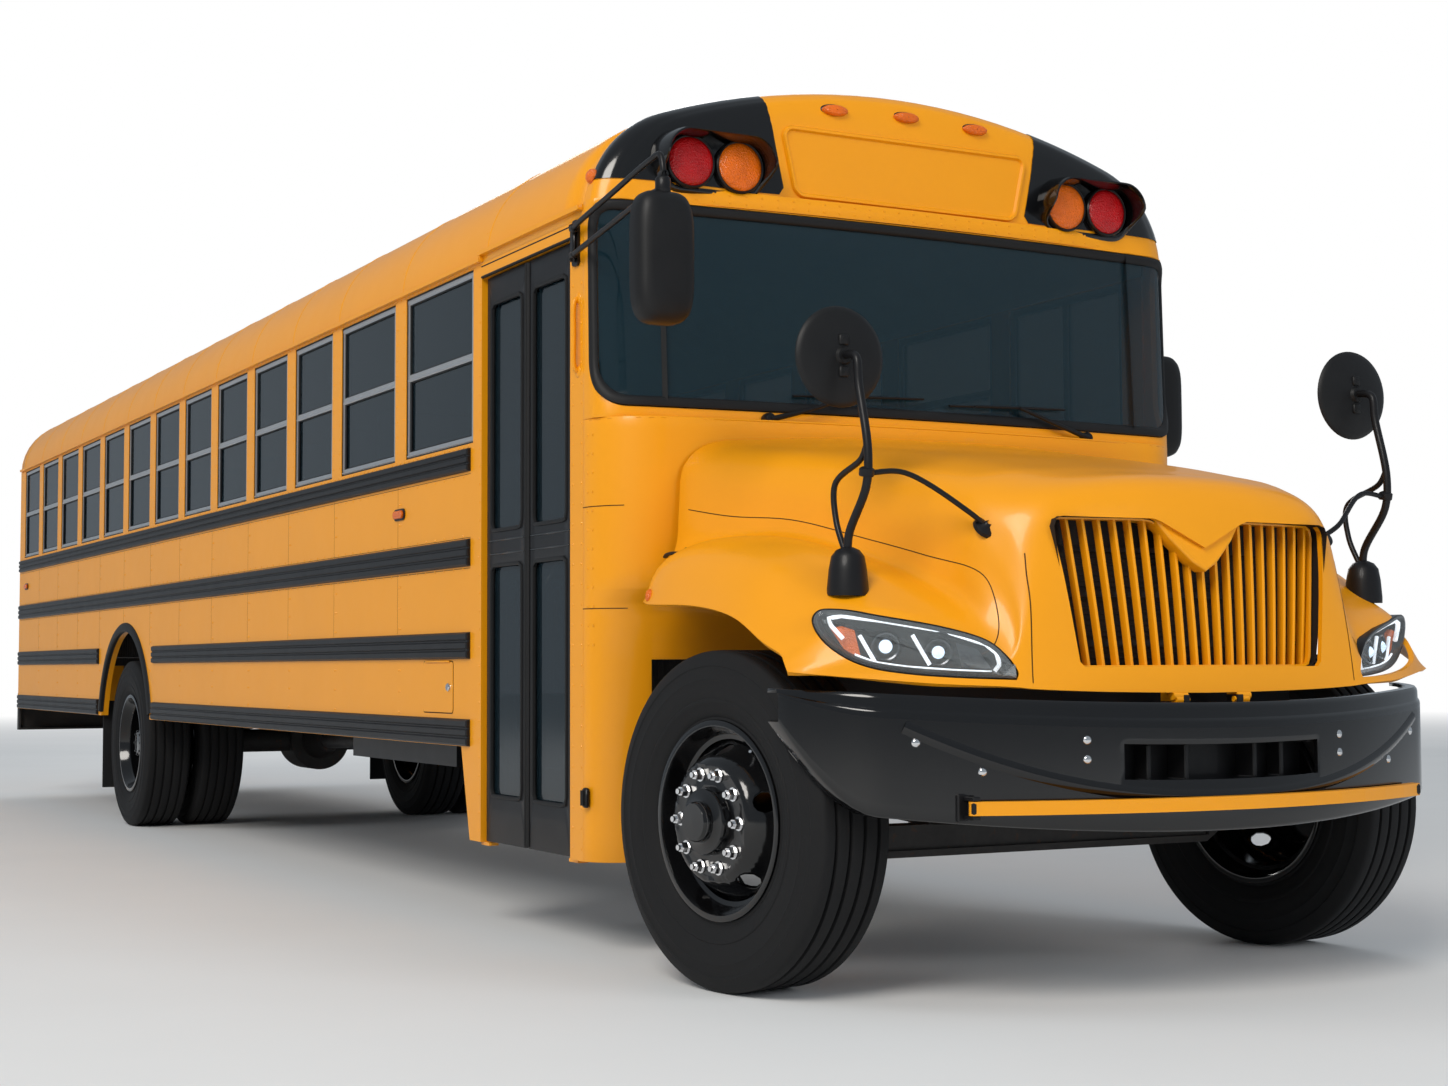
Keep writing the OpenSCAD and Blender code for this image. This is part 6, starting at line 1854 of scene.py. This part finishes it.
class BUS_OT_mirrors(BusPiece, bpy.types.Operator):
    """Side mirrors, crossover mirrors and their tubes"""

    bl_idname = "bus.mirrors"
    bl_label = "Mirrors"

    def shell(self, shape, centre, half):
        """Rounded mirror head, open at its rear face."""
        cx, cy, cz = centre
        a = around(44)
        sq = lambda v, e: np.sign(v) * np.abs(v) ** e
        rows = []
        for d, k in (
            (-1.0, 0.97), (-0.96, 1.0), (-0.3, 1.0), (0.2, 0.97), (0.55, 0.9), (0.82, 0.76), (0.95, 0.55),
            (1.0, 0.25), (1.0, 0.02)
        ):
            y, z = cy + k * half[1] * sq(np.cos(a), 0.55), cz + (0.25 + 0.75 * k) * half[2] * sq(np.sin(a), 0.42)
            rows.append(xyz(cx + d * half[0], y, z))
        shape.loft(rows)
        shape.fan(rows[-1], np.array([cx + half[0], cy, cz]))
        return rows[0]

    def build(self, trim):
        head, glass, tube, foot = Shape(), Shape(), Shape(), Shape()
        out = HALF_W + 101
        for x, side, z in ((-10, -1, 2200), (-900, 1, 1990)):
            back = self.shell(head, (x, side * out, z), (44, 98, 203))
            ring = np.array(back)
            middle = np.array([x - 44, side * out, z])
            head.loft([
                ring, middle + (ring - middle) * 0.9 + (1, 0, 0), middle + (ring - middle) * 0.9 + (9, 0, 0)
            ])
            inner = middle + (ring - middle) * 0.9 + (6, 0, 0)
            glass.fan(inner, middle + (3, 0, 0))
            head.box((x - 43, side * out - 88, z - 62), (x - 30, side * out + 88, z - 54), 2)
            fx = -878
            foot.prism(rounded((fx - 26, 2326), (fx + 26, 2484), 16), beside(side), 0, 9)
            foot.box((fx - 16, side * (HALF_W + 8), 2340), (fx + 16, side * (HALF_W + 22), 2470), 6)
            bolt = [standing((fx, side * (HALF_W + 21), h), (0, side, 0)) for h in (2350, 2460)]
            foot.copies(*hexagon(9, 7, 0.2), bolt)
        for s in (-1, 1):
            a, b = np.array([-878, -HALF_W - 16, 2405 + 43 * s]), np.array([-20, -out, 2420 + 11 * s])
            route = [a, a + (60, -14, 0), a + (b - a) * 0.5 + (0, -6, 4), b - (80, 2, 0), b]
            if s > 0:
                route = [
                    a, a + (60, -14, 6), a + (b - a) * 0.5 + (0, -6, 50), b + (-90, 0, 84), b + (-20, 0, 88),
                    b + (0, 0, 50), b
                ]
            path = smooth_path(route, 48)
            tube.tube(path, 9.5, 14)
            for q in (path[3], path[-4]):
                tube.lathe([(9.5, -14), (14, -12), (14, 12), (9.5, 14)], q, b - a, 20)
        tube.lathe(
            [(0, 2446), (18, 2446), (24, 2440), (24, 2400), (19, 2392), (19, 2380)], (-20, -out, 0),
            (0, 0, 1), 24
        )
        left = [
            (-878, HALF_W + 16, 2405), (-884, HALF_W + 50, 2396), (-900, out - 6, 2330), (-900, out, 2290),
            (-900, out, 2180)
        ]
        tube.tube(smooth_path(left, 44), 13, 14)
        head.make("mirror_heads", "plastic", replaces=["side_mirrors"], smooth=50)
        glass.make("mirror_glasses", "mirror", smooth=60)
        tube.make("mirror_tubes", "satin", smooth=50)
        foot.make("mirror_feet", "smooth", smooth=40)
        self.crossover()

    def crossover(self):
        """Round mirrors over the fenders, each on a bent tube with a brace to the hood."""
        disc, glass, tube = Shape(), Shape(), Shape()
        for side in (-1, 1):
            foot = np.array([497.0, side * 993 * HALF_W / PLAIN_HALF, 1180.0])
            boot, elbow = foot + (0, 0, 118), foot + (110, 0, 352)
            crown = foot + (60, 0, 676)
            brace = np.array([676.0, side * 641 * HALF_W / PLAIN_HALF, 1360.0])
            tube.tube(
                smooth_path(
                    [
                        boot + (0, 0, -30), boot + (8, 0, 40), elbow + (-6, 0, -60), elbow + (4, 0, 40),
                        crown + (8, 0, -90), crown + (-4, 0, -14), crown - (40, 0, 0), crown - (84, 0, 0)
                    ],
                    70
                ),
                12.5, 14
            )
            tube.lathe([(60, -14), (60, 6), (55, 60), (48, 98), (34, 116), (16, 124)], foot, (0.02, 0, 1), 32)
            loop = [
                boot + (-6, 0, -20), boot + (-62, 0, 90), boot + (-66, 0, 190), elbow + (-30, 0, 20),
                elbow + (0, 0, 60)
            ]
            tube.tube(smooth_path(loop, 40), 9, 12)
            tube.tube(
                smooth_path(
                    [
                        elbow - (6, 0, 24), elbow + (10, -side * 120, -20), brace + (10, side * 60, 40),
                        brace + (4, side * 8, 8)
                    ],
                    30
                ),
                8, 12
            )
            tube.lathe([(37, -8), (37, 4), (30, 9), (12, 14), (8, 22)], brace, (0.75, -side * 0.1, 0.6), 24)
            tube.lathe([(19, -10), (22, -6), (22, 12), (13, 18)], elbow - (4, 0, 24), (0.2, 0, 1), 24)
            at = crown - (86, 0, 0)
            disc.lathe(
                [(0.5, 15), (40, 14), (90, 9), (130, 0), (145, -7), (147, -12), (143, -17), (138, -18)], at,
                (1, 0, 0), 56
            )
            disc.lathe([(0.5, 26), (22, 24), (28, 14)], at, (1, 0, 0), 28)
            glass.lathe([(0.5, -17.8), (70, -17.2), (120, -15.5), (140, -12)], at, (1, 0, 0), 56)
            for h in (-46, 46):
                disc.box(at + (8, -16, h - 16), at + (20, 16, h + 16), 4)
        tube.make("crossover_tubes", "satin", "hood", replaces=["crossover_mirrors"], smooth=50)
        disc.make("crossover_heads", "plastic", "hood", smooth=50)
        glass.make("crossover_glasses", "mirror", "hood", smooth=60)


class BUS_OT_wheels(BusPiece, bpy.types.Operator):
    """Tyres, rims with hand holes, hubs, nuts and valves"""

    bl_idname = "bus.wheels"
    bl_label = "Wheels"

    TWIN = 325.0
    WIDTH = 280.0
    RIM = 286.0
    STEER = math.radians(9)
    KING = 185.0
    NUTS, NUT_R, VALVE_R = 10, 142.9, 248.0

    def place(self, side, front):
        """Maps a wheel's own space (y outwards) to its place on the bus."""
        if front:
            king = HALF_W - 14 - self.WIDTH / 2 - self.KING
            c, s = math.cos(self.STEER), math.sin(self.STEER)

            def move(p):
                x, y = p[:, 0], side * (p[:, 1] + self.KING)
                return xyz(x * c - y * s, x * s + y * c + side * king, p[:, 2] + AXLE_Z)

            return move
        middle = HALF_W - 19 - self.WIDTH / 2 - self.TWIN / 2
        return lambda p: xyz(p[:, 0] + REAR_AXLE, side * (p[:, 1] + middle), p[:, 2] + AXLE_Z)

    def tyre(self, shape, y, depth):
        """One tyre, its sidewall ridges and four grooves, centred at y."""
        R, w, r = AXLE_Z, self.WIDTH / 2, self.RIM
        half = [(r + 1, w - 38), (r + 4, w - 30), (
            r + 14, w - 24
        ), (r + 22, w - 26), (r + 26, w - 22), (r + 44, w - 13), (r + 62, w - 8),
                (r + 66, w - 5), (r + 74, w - 4.5), (r + 78, w - 7), (r + 96, w - 2), (
                    r + 112, w - 0.5
                ), (r + 130, w - 1), (r + 136, w + 1.0), (r + 142, w - 1.5),
                (R - 62, w - 4), (R - 50, w - 5), (
                    R - 46, w - 2.5
                ), (R - 34, w - 6), (R - 22, w - 12), (R - 10, w - 17), (R - 4, w - 22), (R - 1.5, w - 30)]
        tread = []
        for centre in (0.66, 0.22, -0.22, -0.66):
            c = centre * (w - 22)
            tread += [
                (R - 0.5, c + 9), (R - 1, c + 7), (R - depth, c + 4.5), (R - depth, c - 4.5), (R - 1, c - 7),
                (R - 0.5, c - 9)
            ]
        prof = half + tread + [(a, -b) for a, b in half[::-1]]
        shape.lathe(prof, (0, y, 0), (0, 1, 0), 112)

    def rim_parts(self, barrel, disc, y, hub_y, s):
        """Barrel and disc; s is +1 for a disc that bulges outwards."""
        w, r = self.WIDTH / 2 - 14, self.RIM
        outer = [(9, 1), (12, 3), (12, 8), (3, 12), (0, 20), (-1, 38), (-14, 60), (-32, 66)]
        inner = [(-6, 2), (-12, 14), (-16, 30), (-30, 56), (-44, 60)]
        near = [(r + a, w - b) for a, b in outer] + [(r + a, b - w) for a, b in outer[::-1]]
        far = [(r + a, b - w) for a, b in inner] + [(r + a, w - b) for a, b in inner[::-1]]
        barrel.lathe(near + far, (0, y, 0), (0, 1, 0), 80, closed=True)
        edge = r - 42
        flat = 174.0
        outline = [(edge * math.cos(a), edge * math.sin(a)) for a in around(96)]
        middle = [(96 * math.cos(a), 96 * math.sin(a)) for a in around(48)]
        holes = [middle]
        for turn in around(5) + 0.31:
            ring = []
            for a in around(28):
                rr, across = 212 + 17 * math.cos(a), 33 * math.sin(a)
                ring.append((
                    rr * math.cos(turn) - across * math.sin(turn),
                    rr * math.sin(turn) + across * math.cos(turn)
                ))
            holes.append(ring)

        def dish(f):
            q = np.hypot(f[:, 0], f[:, 1])
            k = np.clip((q - flat) / (edge - flat), 0, 1)
            k = k * k * (3 - 2 * k)
            return xyz(f[:, 0], y + hub_y - s * (k * 92 + 2.5 * (np.abs(q - 140) < 24)), f[:, 1])

        panel(disc, outline, holes, dish, 15)

    def build(self, trim):
        for end in ("front", "rear"):
            for side, hand in ((1, "left"), (-1, "right")):
                front = end == "front"
                place = self.place(side, front)
                tyre, barrel, disc, hub, nuts, cap = (Shape() for _ in range(6))
                if front:
                    body, nodes = "front_wheel_" + hand, ["front_tyre_" + hand, "front_rim_" + hand]
                    self.tyre(tyre, 0, trim.tread_depth / MM)
                    self.rim_parts(barrel, disc, 0, self.WIDTH / 2 + 6, 1)
                    face = self.WIDTH / 2 + 8
                    hub.lathe(
                        [
                            (60, -50), (92, -40), (92, 100), (168, 116), (168, 130), (120, 134), (102, 136),
                            (100, face + 18), (96, face + 25), (66, face + 27), (62, face + 30),
                            (60, face + 52), (54, face + 60), (0.5, face + 61)
                        ],
                        (0, 0, 0), (0, 1, 0), 72
                    )
                    cap.lathe(
                        [
                            (59, face + 30), (60.5, face + 50), (55, face + 58.5), (46, face + 60),
                            (44, face + 57), (30, face + 57), (26, face + 60), (0.5, face + 60.5)
                        ],
                        (0, 0, 0), (0, 1, 0), 48
                    )
                    seat_y = face - 3
                else:
                    body, nodes = "rear_wheels_" + hand, ["rear_tyres_" + hand, "rear_rims_" + hand]
                    for s in (-1, 1):
                        self.tyre(tyre, s * self.TWIN / 2, trim.tread_depth / MM)
                        self.rim_parts(barrel, disc, s * self.TWIN / 2, -s * self.TWIN / 2 + 2 * s, -s)
                    hub.lathe(
                        [
                            (108, -120), (108, 118), (100, 124), (96, 130), (96, 174), (90, 182), (86, 186),
                            (84, 226), (78, 236), (66, 239), (0.5, 239.5)
                        ],
                        (0, 0, 0), (0, 1, 0), 72
                    )
                    cap.lathe(
                        [(70, 236), (66, 239.6), (60, 239.8), (56, 236), (0.5, 236.5)], (0, 0, 0), (0, 1, 0),
                        48
                    )
                    for a in around(8):
                        at = (70 * math.cos(a), 238, 70 * math.sin(a))
                        hub.copies(*hexagon(9, 8, 0.1), [standing(at, (0, 1, 0), 0.8)])
                    seat_y = 10
                for a in around(self.NUTS):
                    at = (self.NUT_R * math.cos(a), seat_y, self.NUT_R * math.sin(a))
                    nuts.copies(*hexagon(17, 24, 0.45), [standing(at, (0, 1, 0))])
                # the valve stands between two hand holes
                valve = (self.VALVE_R * math.cos(1.0), self.VALVE_R * math.sin(1.0))
                nuts.tube(
                    [
                        (valve[0] - 20, 60 if front else 100, valve[1] - 20),
                        (valve[0], 96 if front else 150, valve[1])
                    ],
                    5, 8
                )
                stem = end + "_wheel_" + hand
                tyre.moved(place).make(stem + "_tyre", "tyre", body, replaces=nodes, smooth=34)
                barrel.moved(place).make(stem + "_barrel", "gloss", body, slot="rim_black", smooth=40)
                out = place(np.array([[0.0, -900.0 if front else 0.0, 0.0]]))[0]
                disc.moved(place).make(
                    stem + "_disc", "gloss", body, slot="rim_black", smooth=50, bevel=2, solid=12, outward=out
                )
                hub.moved(place).make(stem + "_hub", "gloss", body, slot="rim_black", smooth=40)
                nuts.moved(place).make(stem + "_nuts", "chrome", body, slot="axle_steel", smooth=30)
                cap.moved(place).make(stem + "_hub_cap", "steel", body, smooth=40)


class BUS_OT_seats(BusPiece, bpy.types.Operator):
    """Bench seats: crowned cushions with piping"""

    bl_idname = "bus.seats"
    bl_label = "Bench seats"

    WIDTH, ROWS, FIRST, PITCH = 960.0, 12, -2560.0, 705.0

    @staticmethod
    def cushion(size, crown, n=9):
        """Crowned closed cushion about the origin, its sides pulled in between the corners."""
        half = np.array(size) / 2
        work = bmesh.new()
        bmesh.ops.create_cube(work, size=2.0)
        bmesh.ops.subdivide_edges(work, edges=work.edges, cuts=n, use_grid_fill=True)
        pts = np.array([v.co[:] for v in work.verts])
        faces = [tuple(v.index for v in f.verts) for f in work.faces]
        work.free()
        a = np.abs(pts)
        out = pts.copy()
        for k in range(3):
            i, j = [m for m in range(3) if m != k]
            swell = (1 - a[:, i] ** 2) * (1 - a[:, j] ** 2)
            out[:, k] = pts[:, k] * (1 - crown[k] / half[k] * (1 - swell) * (a[:, k] ** 3))
        r = np.array([min(0.9, 26.0 / h) for h in half])
        soft = np.clip((a - (1 - r)) / r, 0, 1)
        big = np.linalg.norm(soft, axis=1)
        pull = np.where(big > 1, (big - 1) / big, 0)[:, None]
        out -= np.sign(pts) * soft * r * pull
        return out * half, faces

    def build(self, trim):
        width = self.WIDTH
        seat, seat_f = self.cushion((418, width - 8, 112), (14, 8, 14))
        back, back_f = self.cushion((82, width - 8, 512), (11, 8, 9))
        tilt = np.array([[1, 0, -0.12], [0, 1, 0], [0, 0, 1.0]])
        for side, hand in ((1, "left"), (-1, "right")):
            pads, piping = Shape(), Shape()
            y = side * (HALF_W - WALL - 6 - width / 2)
            for row in range(self.ROWS):
                x = self.FIRST - row * self.PITCH
                pads.add(seat + (x - 212, y, FLOOR_Z + 381), seat_f)
                at = back @ tilt.T + (x - 430 - 64 - 0.12 * 420, y, FLOOR_Z + 322 + 420)
                pads.add(at, back_f)
                for q in (-1, 1):
                    e = width / 2 - 14
                    piping.tube([(x - 400, y + q * e, FLOOR_Z + 432), (x - 18, y + q * e, FLOOR_Z + 432)], 3.5, 6)
            pads.make("bench_cushions_" + hand, "vinyl", replaces=["seat_cushions"], smooth=60)
            piping.make("bench_piping_" + hand, "smooth", slot="seat_vinyl")


class BUS_OT_cab(BusPiece, bpy.types.Operator):
    """Driver's seat, dials and the entry stair rails"""

    bl_idname = "bus.cab"
    bl_label = "Driver's cab"

    def build(self, trim):
        y = 560.0 * HALF_W / PLAIN_HALF
        x = -1640.0
        base = Shape()
        base.box((x - 205, y - 195, FLOOR_Z), (x + 205, y + 195, FLOOR_Z + 40), 8)
        base.lathe([(95, 40), (88, 60), (88, 290), (130, 300)], (x, y, FLOOR_Z), (0, 0, 1), 32)
        for k in range(6):
            base.lathe([(92, 80 + 34 * k), (104, 92 + 34 * k), (92, 104 + 34 * k)], (x, y, FLOOR_Z), (0, 0, 1), 32)
        base.box((x - 235, y - 240, FLOOR_Z + 296), (x + 235, y + 240, FLOOR_Z + 318), 6)
        base.make("driver_seat_base", "satin", slot="seat_frame", replaces=["driver_seat"], smooth=40)
        pads = Shape()
        pts, faces = BUS_OT_seats.cushion((470, 490, 112), (14, 12, 12))
        pads.add(pts + (x, y, FLOOR_Z + 368), faces)
        pts, faces = BUS_OT_seats.cushion((96, 480, 560), (10, 12, 10))
        pads.add(pts + (x - 270, y, FLOOR_Z + 706), faces)
        pads.make("driver_seat_pads", "vinyl", smooth=60)
        dials, rims = Shape(), Shape()
        for dy, r in ((-110, 48), (0, 58), (110, 48)):
            at = (-962, y + dy, 1660)
            dials.lathe([(r, 0), (r, 2), (0.5, 2)], at, (-1, 0, 0.2), 32)
            rims.lathe([(r, 0), (r + 7, 6), (r + 9, 0)], at, (-1, 0, 0.2), 32)
        dials.make("dial_faces", "white", slot="dash_grey")
        rims.make("dial_rims", "chrome", slot="dash_grey")
        rails = Shape()
        for sx in (ENTRY_FRONT - 6, ENTRY_REAR + 6):
            a = -HALF_W + WALL
            rails.tube(
                smooth_path(
                    [
                        (sx, a + 90, 700), (sx, a + 130, 1100), (sx, a + 420, 1560), (sx, a + 620, 1700),
                        (sx, a + 640, 1180)
                    ],
                    50
                ),
                14, 12
            )
        rails.make("entry_stair_rails", "chrome", smooth=60)


class BUS_OT_rear(BusPiece, bpy.types.Operator):
    """Rear emergency door, handle, gaskets, painted shade in its seams, and plate"""

    bl_idname = "bus.rear"
    bl_label = "Rear end"

    def build(self, trim):
        x = REAR_FACE + 2
        place = lambda f: facing(f, x)
        low, high = 1086.0, 2324.0
        panes = [
            rounded((-284, SILL - 60), (284, HEADER - 200), 40, 5),
            rounded((-284, low + 110), (284, SILL - 260), 40, 5)
        ]
        leaf = Shape()
        panel(leaf, rounded((-372, low), (372, high), 30, 5), panes, place)
        leaf.make("rear_door_leaf", "yellow", "rear_door", replaces=["rear_door"], solid=36, bevel=3, outward=CABIN)
        seal, glass = Shape(), Shape()
        for ring in panes:
            even = resample(ring, 30, True)
            seal.loft([facing(inset(even, k), x - d) for k, d in ((-9, 0), (-8, 5), (2, 7), (10, 4), (11, -6))])
            glass.prism(inset(ring, 2), facing, x + 14, x + 20)
        seal.make("rear_door_gaskets", "rubber", "rear_door", slot="door_black", smooth=50)
        glass.make("rear_door_panes", "glass", "rear_door")
        handle = Shape()
        handle.box((x - 14, 190, 1590), (x, 250, 1650), 5)
        handle.tube(
            smooth_path([(x - 14, 220, 1620), (x - 40, 218, 1622), (x - 44, 190, 1622), (x - 44, 60, 1626)], 24),
            9, 12
        )
        for z in (1240, 2170):
            handle.tube([(REAR_FACE - 12, -377, z - 40), (REAR_FACE - 12, -377, z + 40)], 10, 16)
            handle.box((REAR_FACE - 8, -377, z - 34), (x + 2, -300, z + 34), 2)
        handle.make("rear_door_handle", "satin", "rear_door", slot="door_black", smooth=50)
        gap, rivets, gasket = Shape(), Shape(), Shape()
        # A ring of painted shade where the door's gap lies in shade.
        edge = resample(rounded((-388, 1070), (388, 2340), 20, 4), 40, True)
        gap.loft([facing(p, REAR_FACE - 0.5) for p in (edge, inset(edge, 5))])
        for side in (-1, 1):
            ring = resample(
                rounded(
                    (side * 510 - (538 if side < 0 else 0), SILL - 60),
                    (side * 510 + (538 if side > 0 else 0), HEADER - 60), 20, 4
                ),
                30, True
            )
            gasket.loft([
                facing(inset(ring, k), REAR_FACE - d)
                for k, d in ((-12, 0), (-10, 6), (2, 8), (12, 4), (12, -10))
            ])
            for y in (430, 1185):
                z = np.arange(SKIRT + 40, 2400, trim.pitch / MM)
                rivets.rivets([standing((REAR_FACE - 0.2, side * y, h), (-1, 0, 0)) for h in z])
        for z in (SKIRT + 25, 1560):
            ys = np.arange(-1150, 1151, trim.pitch / MM)
            kept = [y for y in ys if z < 1000 or abs(y) > 400]
            rivets.rivets([standing((REAR_FACE - 0.2, y, z), (-1, 0, 0)) for y in kept])
        gap.make("rear_door_gap_shade", "gap")
        rivets.make("rear_rivets", "yellow")
        gasket.make("rear_window_gaskets", "rubber", smooth=50)
        rails = Shape()
        for z in (1050, 1400):
            for side in (-1, 1):
                sec = [(0, z - 40), (8, z - 36), (13, z - 20), (13, z + 20), (8, z + 36), (0, z + 40)]
                rails.grid([[(REAR_FACE - a, side * y, b) for a, b in sec] for y in (430, 1160)])
        rails.make("rear_rub_rails", "satin", slot="rail_black", smooth=30)
        plate = Shape()
        plate.prism(rounded((780 - 150, 950 - 75), (780 + 150, 950 + 75), 12), facing, REAR_FACE - 4, REAR_FACE - 1)
        plate.make("blank_rear_plate", "white", bevel=0.8)


# The stage, in metres and degrees: the floor turns white between two distances for the camera only.
SKY_LIGHT = 0.38
FLOOR_REACH, FADE_FROM, FADE_OVER = 60.0, 15.0, 20.0
LENS, HEADING, PITCH, ROLL = 52.74, 151.85, 3.325, -0.236
EYE_AHEAD, EYE_Y, EYE_Z = 5.6576, -4.1535, 0.9667


class BUS_OT_stage(BusPiece, bpy.types.Operator):
    """Pale floor, soft studio light, white surround and the camera"""

    bl_idname = "bus.stage"
    bl_label = "Stage"

    def build(self, trim):
        sky = Shade("studio", "worlds")
        bpy.context.scene.world = sky.material
        seen = sky.add("ShaderNodeLightPath") + sky.add("ShaderNodeLightPath", out="Is Transmission Ray")
        lit = sky.add("ShaderNodeBackground", {}, (0.8, 0.9, 1.0), SKY_LIGHT)
        sky.show(seen.clamp(), lit, sky.add("ShaderNodeBackground", {}, (1, 1, 1), 1.0))
        s = Shade("pale_floor")
        place = s.place()
        s.set(Base_Color=s.mix(s.noise(place, 0.7, 4.0), (0.74, 0.74, 0.735), (0.8, 0.8, 0.795)), Roughness=0.75)
        away = s.add("ShaderNodeVectorMath", {"operation": "LENGTH"}, place, out=1)
        seen = s.add("ShaderNodeLightPath") * ((away - FADE_FROM) * (1 / FADE_OVER)).clamp()
        s.show(seen, Socket(s, s.surface.outputs[0]), s.add("ShaderNodeEmission", {}, (1, 1, 1), 1.0))
        mesh = bpy.data.meshes.new("studio_floor")
        far = FLOOR_REACH
        mesh.from_pydata([(-far, -far, 0), (far, -far, 0), (far, far, 0), (-far, far, 0)], [], [(0, 1, 2, 3)])
        floor = bpy.data.objects.new("studio_floor", mesh)
        mesh.materials.append(s.material)
        link(floor)
        for name, at, aim, size, power, tone in (
            ("key_light", (14, -13, 13), (1, 0, 1.4), 9.0, 2500, (1.0, 0.96, 0.9)),
            ("fill_light", (20, 6, 7), (4, 0, 1.4), 8.0, 900, (0.93, 0.96, 1.0)),
            ("side_light", (-6, -17, 8), (-3, 0, 1.4), 10.0, 1000, (0.96, 0.98, 1.0)),
            ("back_light", (-16, 10, 9), (-3, 0, 1.4), 9.0, 800, (1.0, 0.98, 0.95)),
        ):
            data = bpy.data.lights.new(name, "AREA")
            data.shape, data.size, data.energy, data.color = "DISK", size, power, tone
            lamp = bpy.data.objects.new(name, data)
            lamp.location = at
            lamp.visible_glossy = name not in ("fill_light", "side_light")
            lamp.rotation_euler = (Vector(aim) - Vector(at)).to_track_quat("-Z", "Y").to_euler()
            link(lamp)
        camera = bpy.data.cameras.new("camera")
        camera.lens, camera.sensor_width = LENS, 36.0
        camera.clip_end = 200
        eye = bpy.data.objects.new("camera", camera)
        heading, pitch, roll = (math.radians(a) for a in (HEADING, PITCH, ROLL))
        look = Vector((math.cos(pitch) * math.cos(heading), math.cos(pitch) * math.sin(heading), math.sin(pitch)))
        turn = look.to_track_quat("-Z", "Y").to_matrix() @ Matrix.Rotation(roll, 3, "Z")
        eye.matrix_world = Matrix.Translation((AXLE_X * MM + EYE_AHEAD, EYE_Y, EYE_Z)) @ turn.to_4x4()
        link(eye)
        bpy.context.scene.camera = eye
        bpy.context.scene.view_settings.view_transform = "Standard"


STEPS = (
    BUS_OT_finishes, BUS_OT_roof, BUS_OT_sides, BUS_OT_windows, BUS_OT_windshield, BUS_OT_front_cap, BUS_OT_cowl,
    BUS_OT_hood, BUS_OT_grille, BUS_OT_headlights, BUS_OT_front_bumper, BUS_OT_stop_arm, BUS_OT_entry_doors,
    BUS_OT_mirrors, BUS_OT_wheels, BUS_OT_seats, BUS_OT_cab, BUS_OT_rear, BUS_OT_stage,
)


class BUS_PT_panel(bpy.types.Panel):
    """Sidebar panel with the bus's settings and pieces"""

    bl_idname = "BUS_PT_panel"
    bl_label = "School Bus"
    bl_space_type = "VIEW_3D"
    bl_region_type = "UI"
    bl_category = "School Bus"

    def draw(self, context):
        for settings in (context.scene.bus_paint, context.scene.bus_trim):
            box = self.layout.box()
            for key in settings.__annotations__:
                box.prop(settings, key)
        for step in STEPS:
            self.layout.operator(step.bl_idname)


CLASSES = (BusPaint, BusTrim, *STEPS, BUS_PT_panel)


def register():
    for cls in CLASSES:
        bpy.utils.register_class(cls)
    bpy.types.Scene.bus_paint = bpy.props.PointerProperty(type=BusPaint)
    bpy.types.Scene.bus_trim = bpy.props.PointerProperty(type=BusTrim)


def unregister():
    del bpy.types.Scene.bus_trim
    del bpy.types.Scene.bus_paint
    for cls in reversed(CLASSES):
        bpy.utils.unregister_class(cls)


def main():
    register()
    for step in STEPS:
        group, call = step.bl_idname.split(".")
        getattr(getattr(bpy.ops, group), call)()


if __name__ == "__main__":
    main()
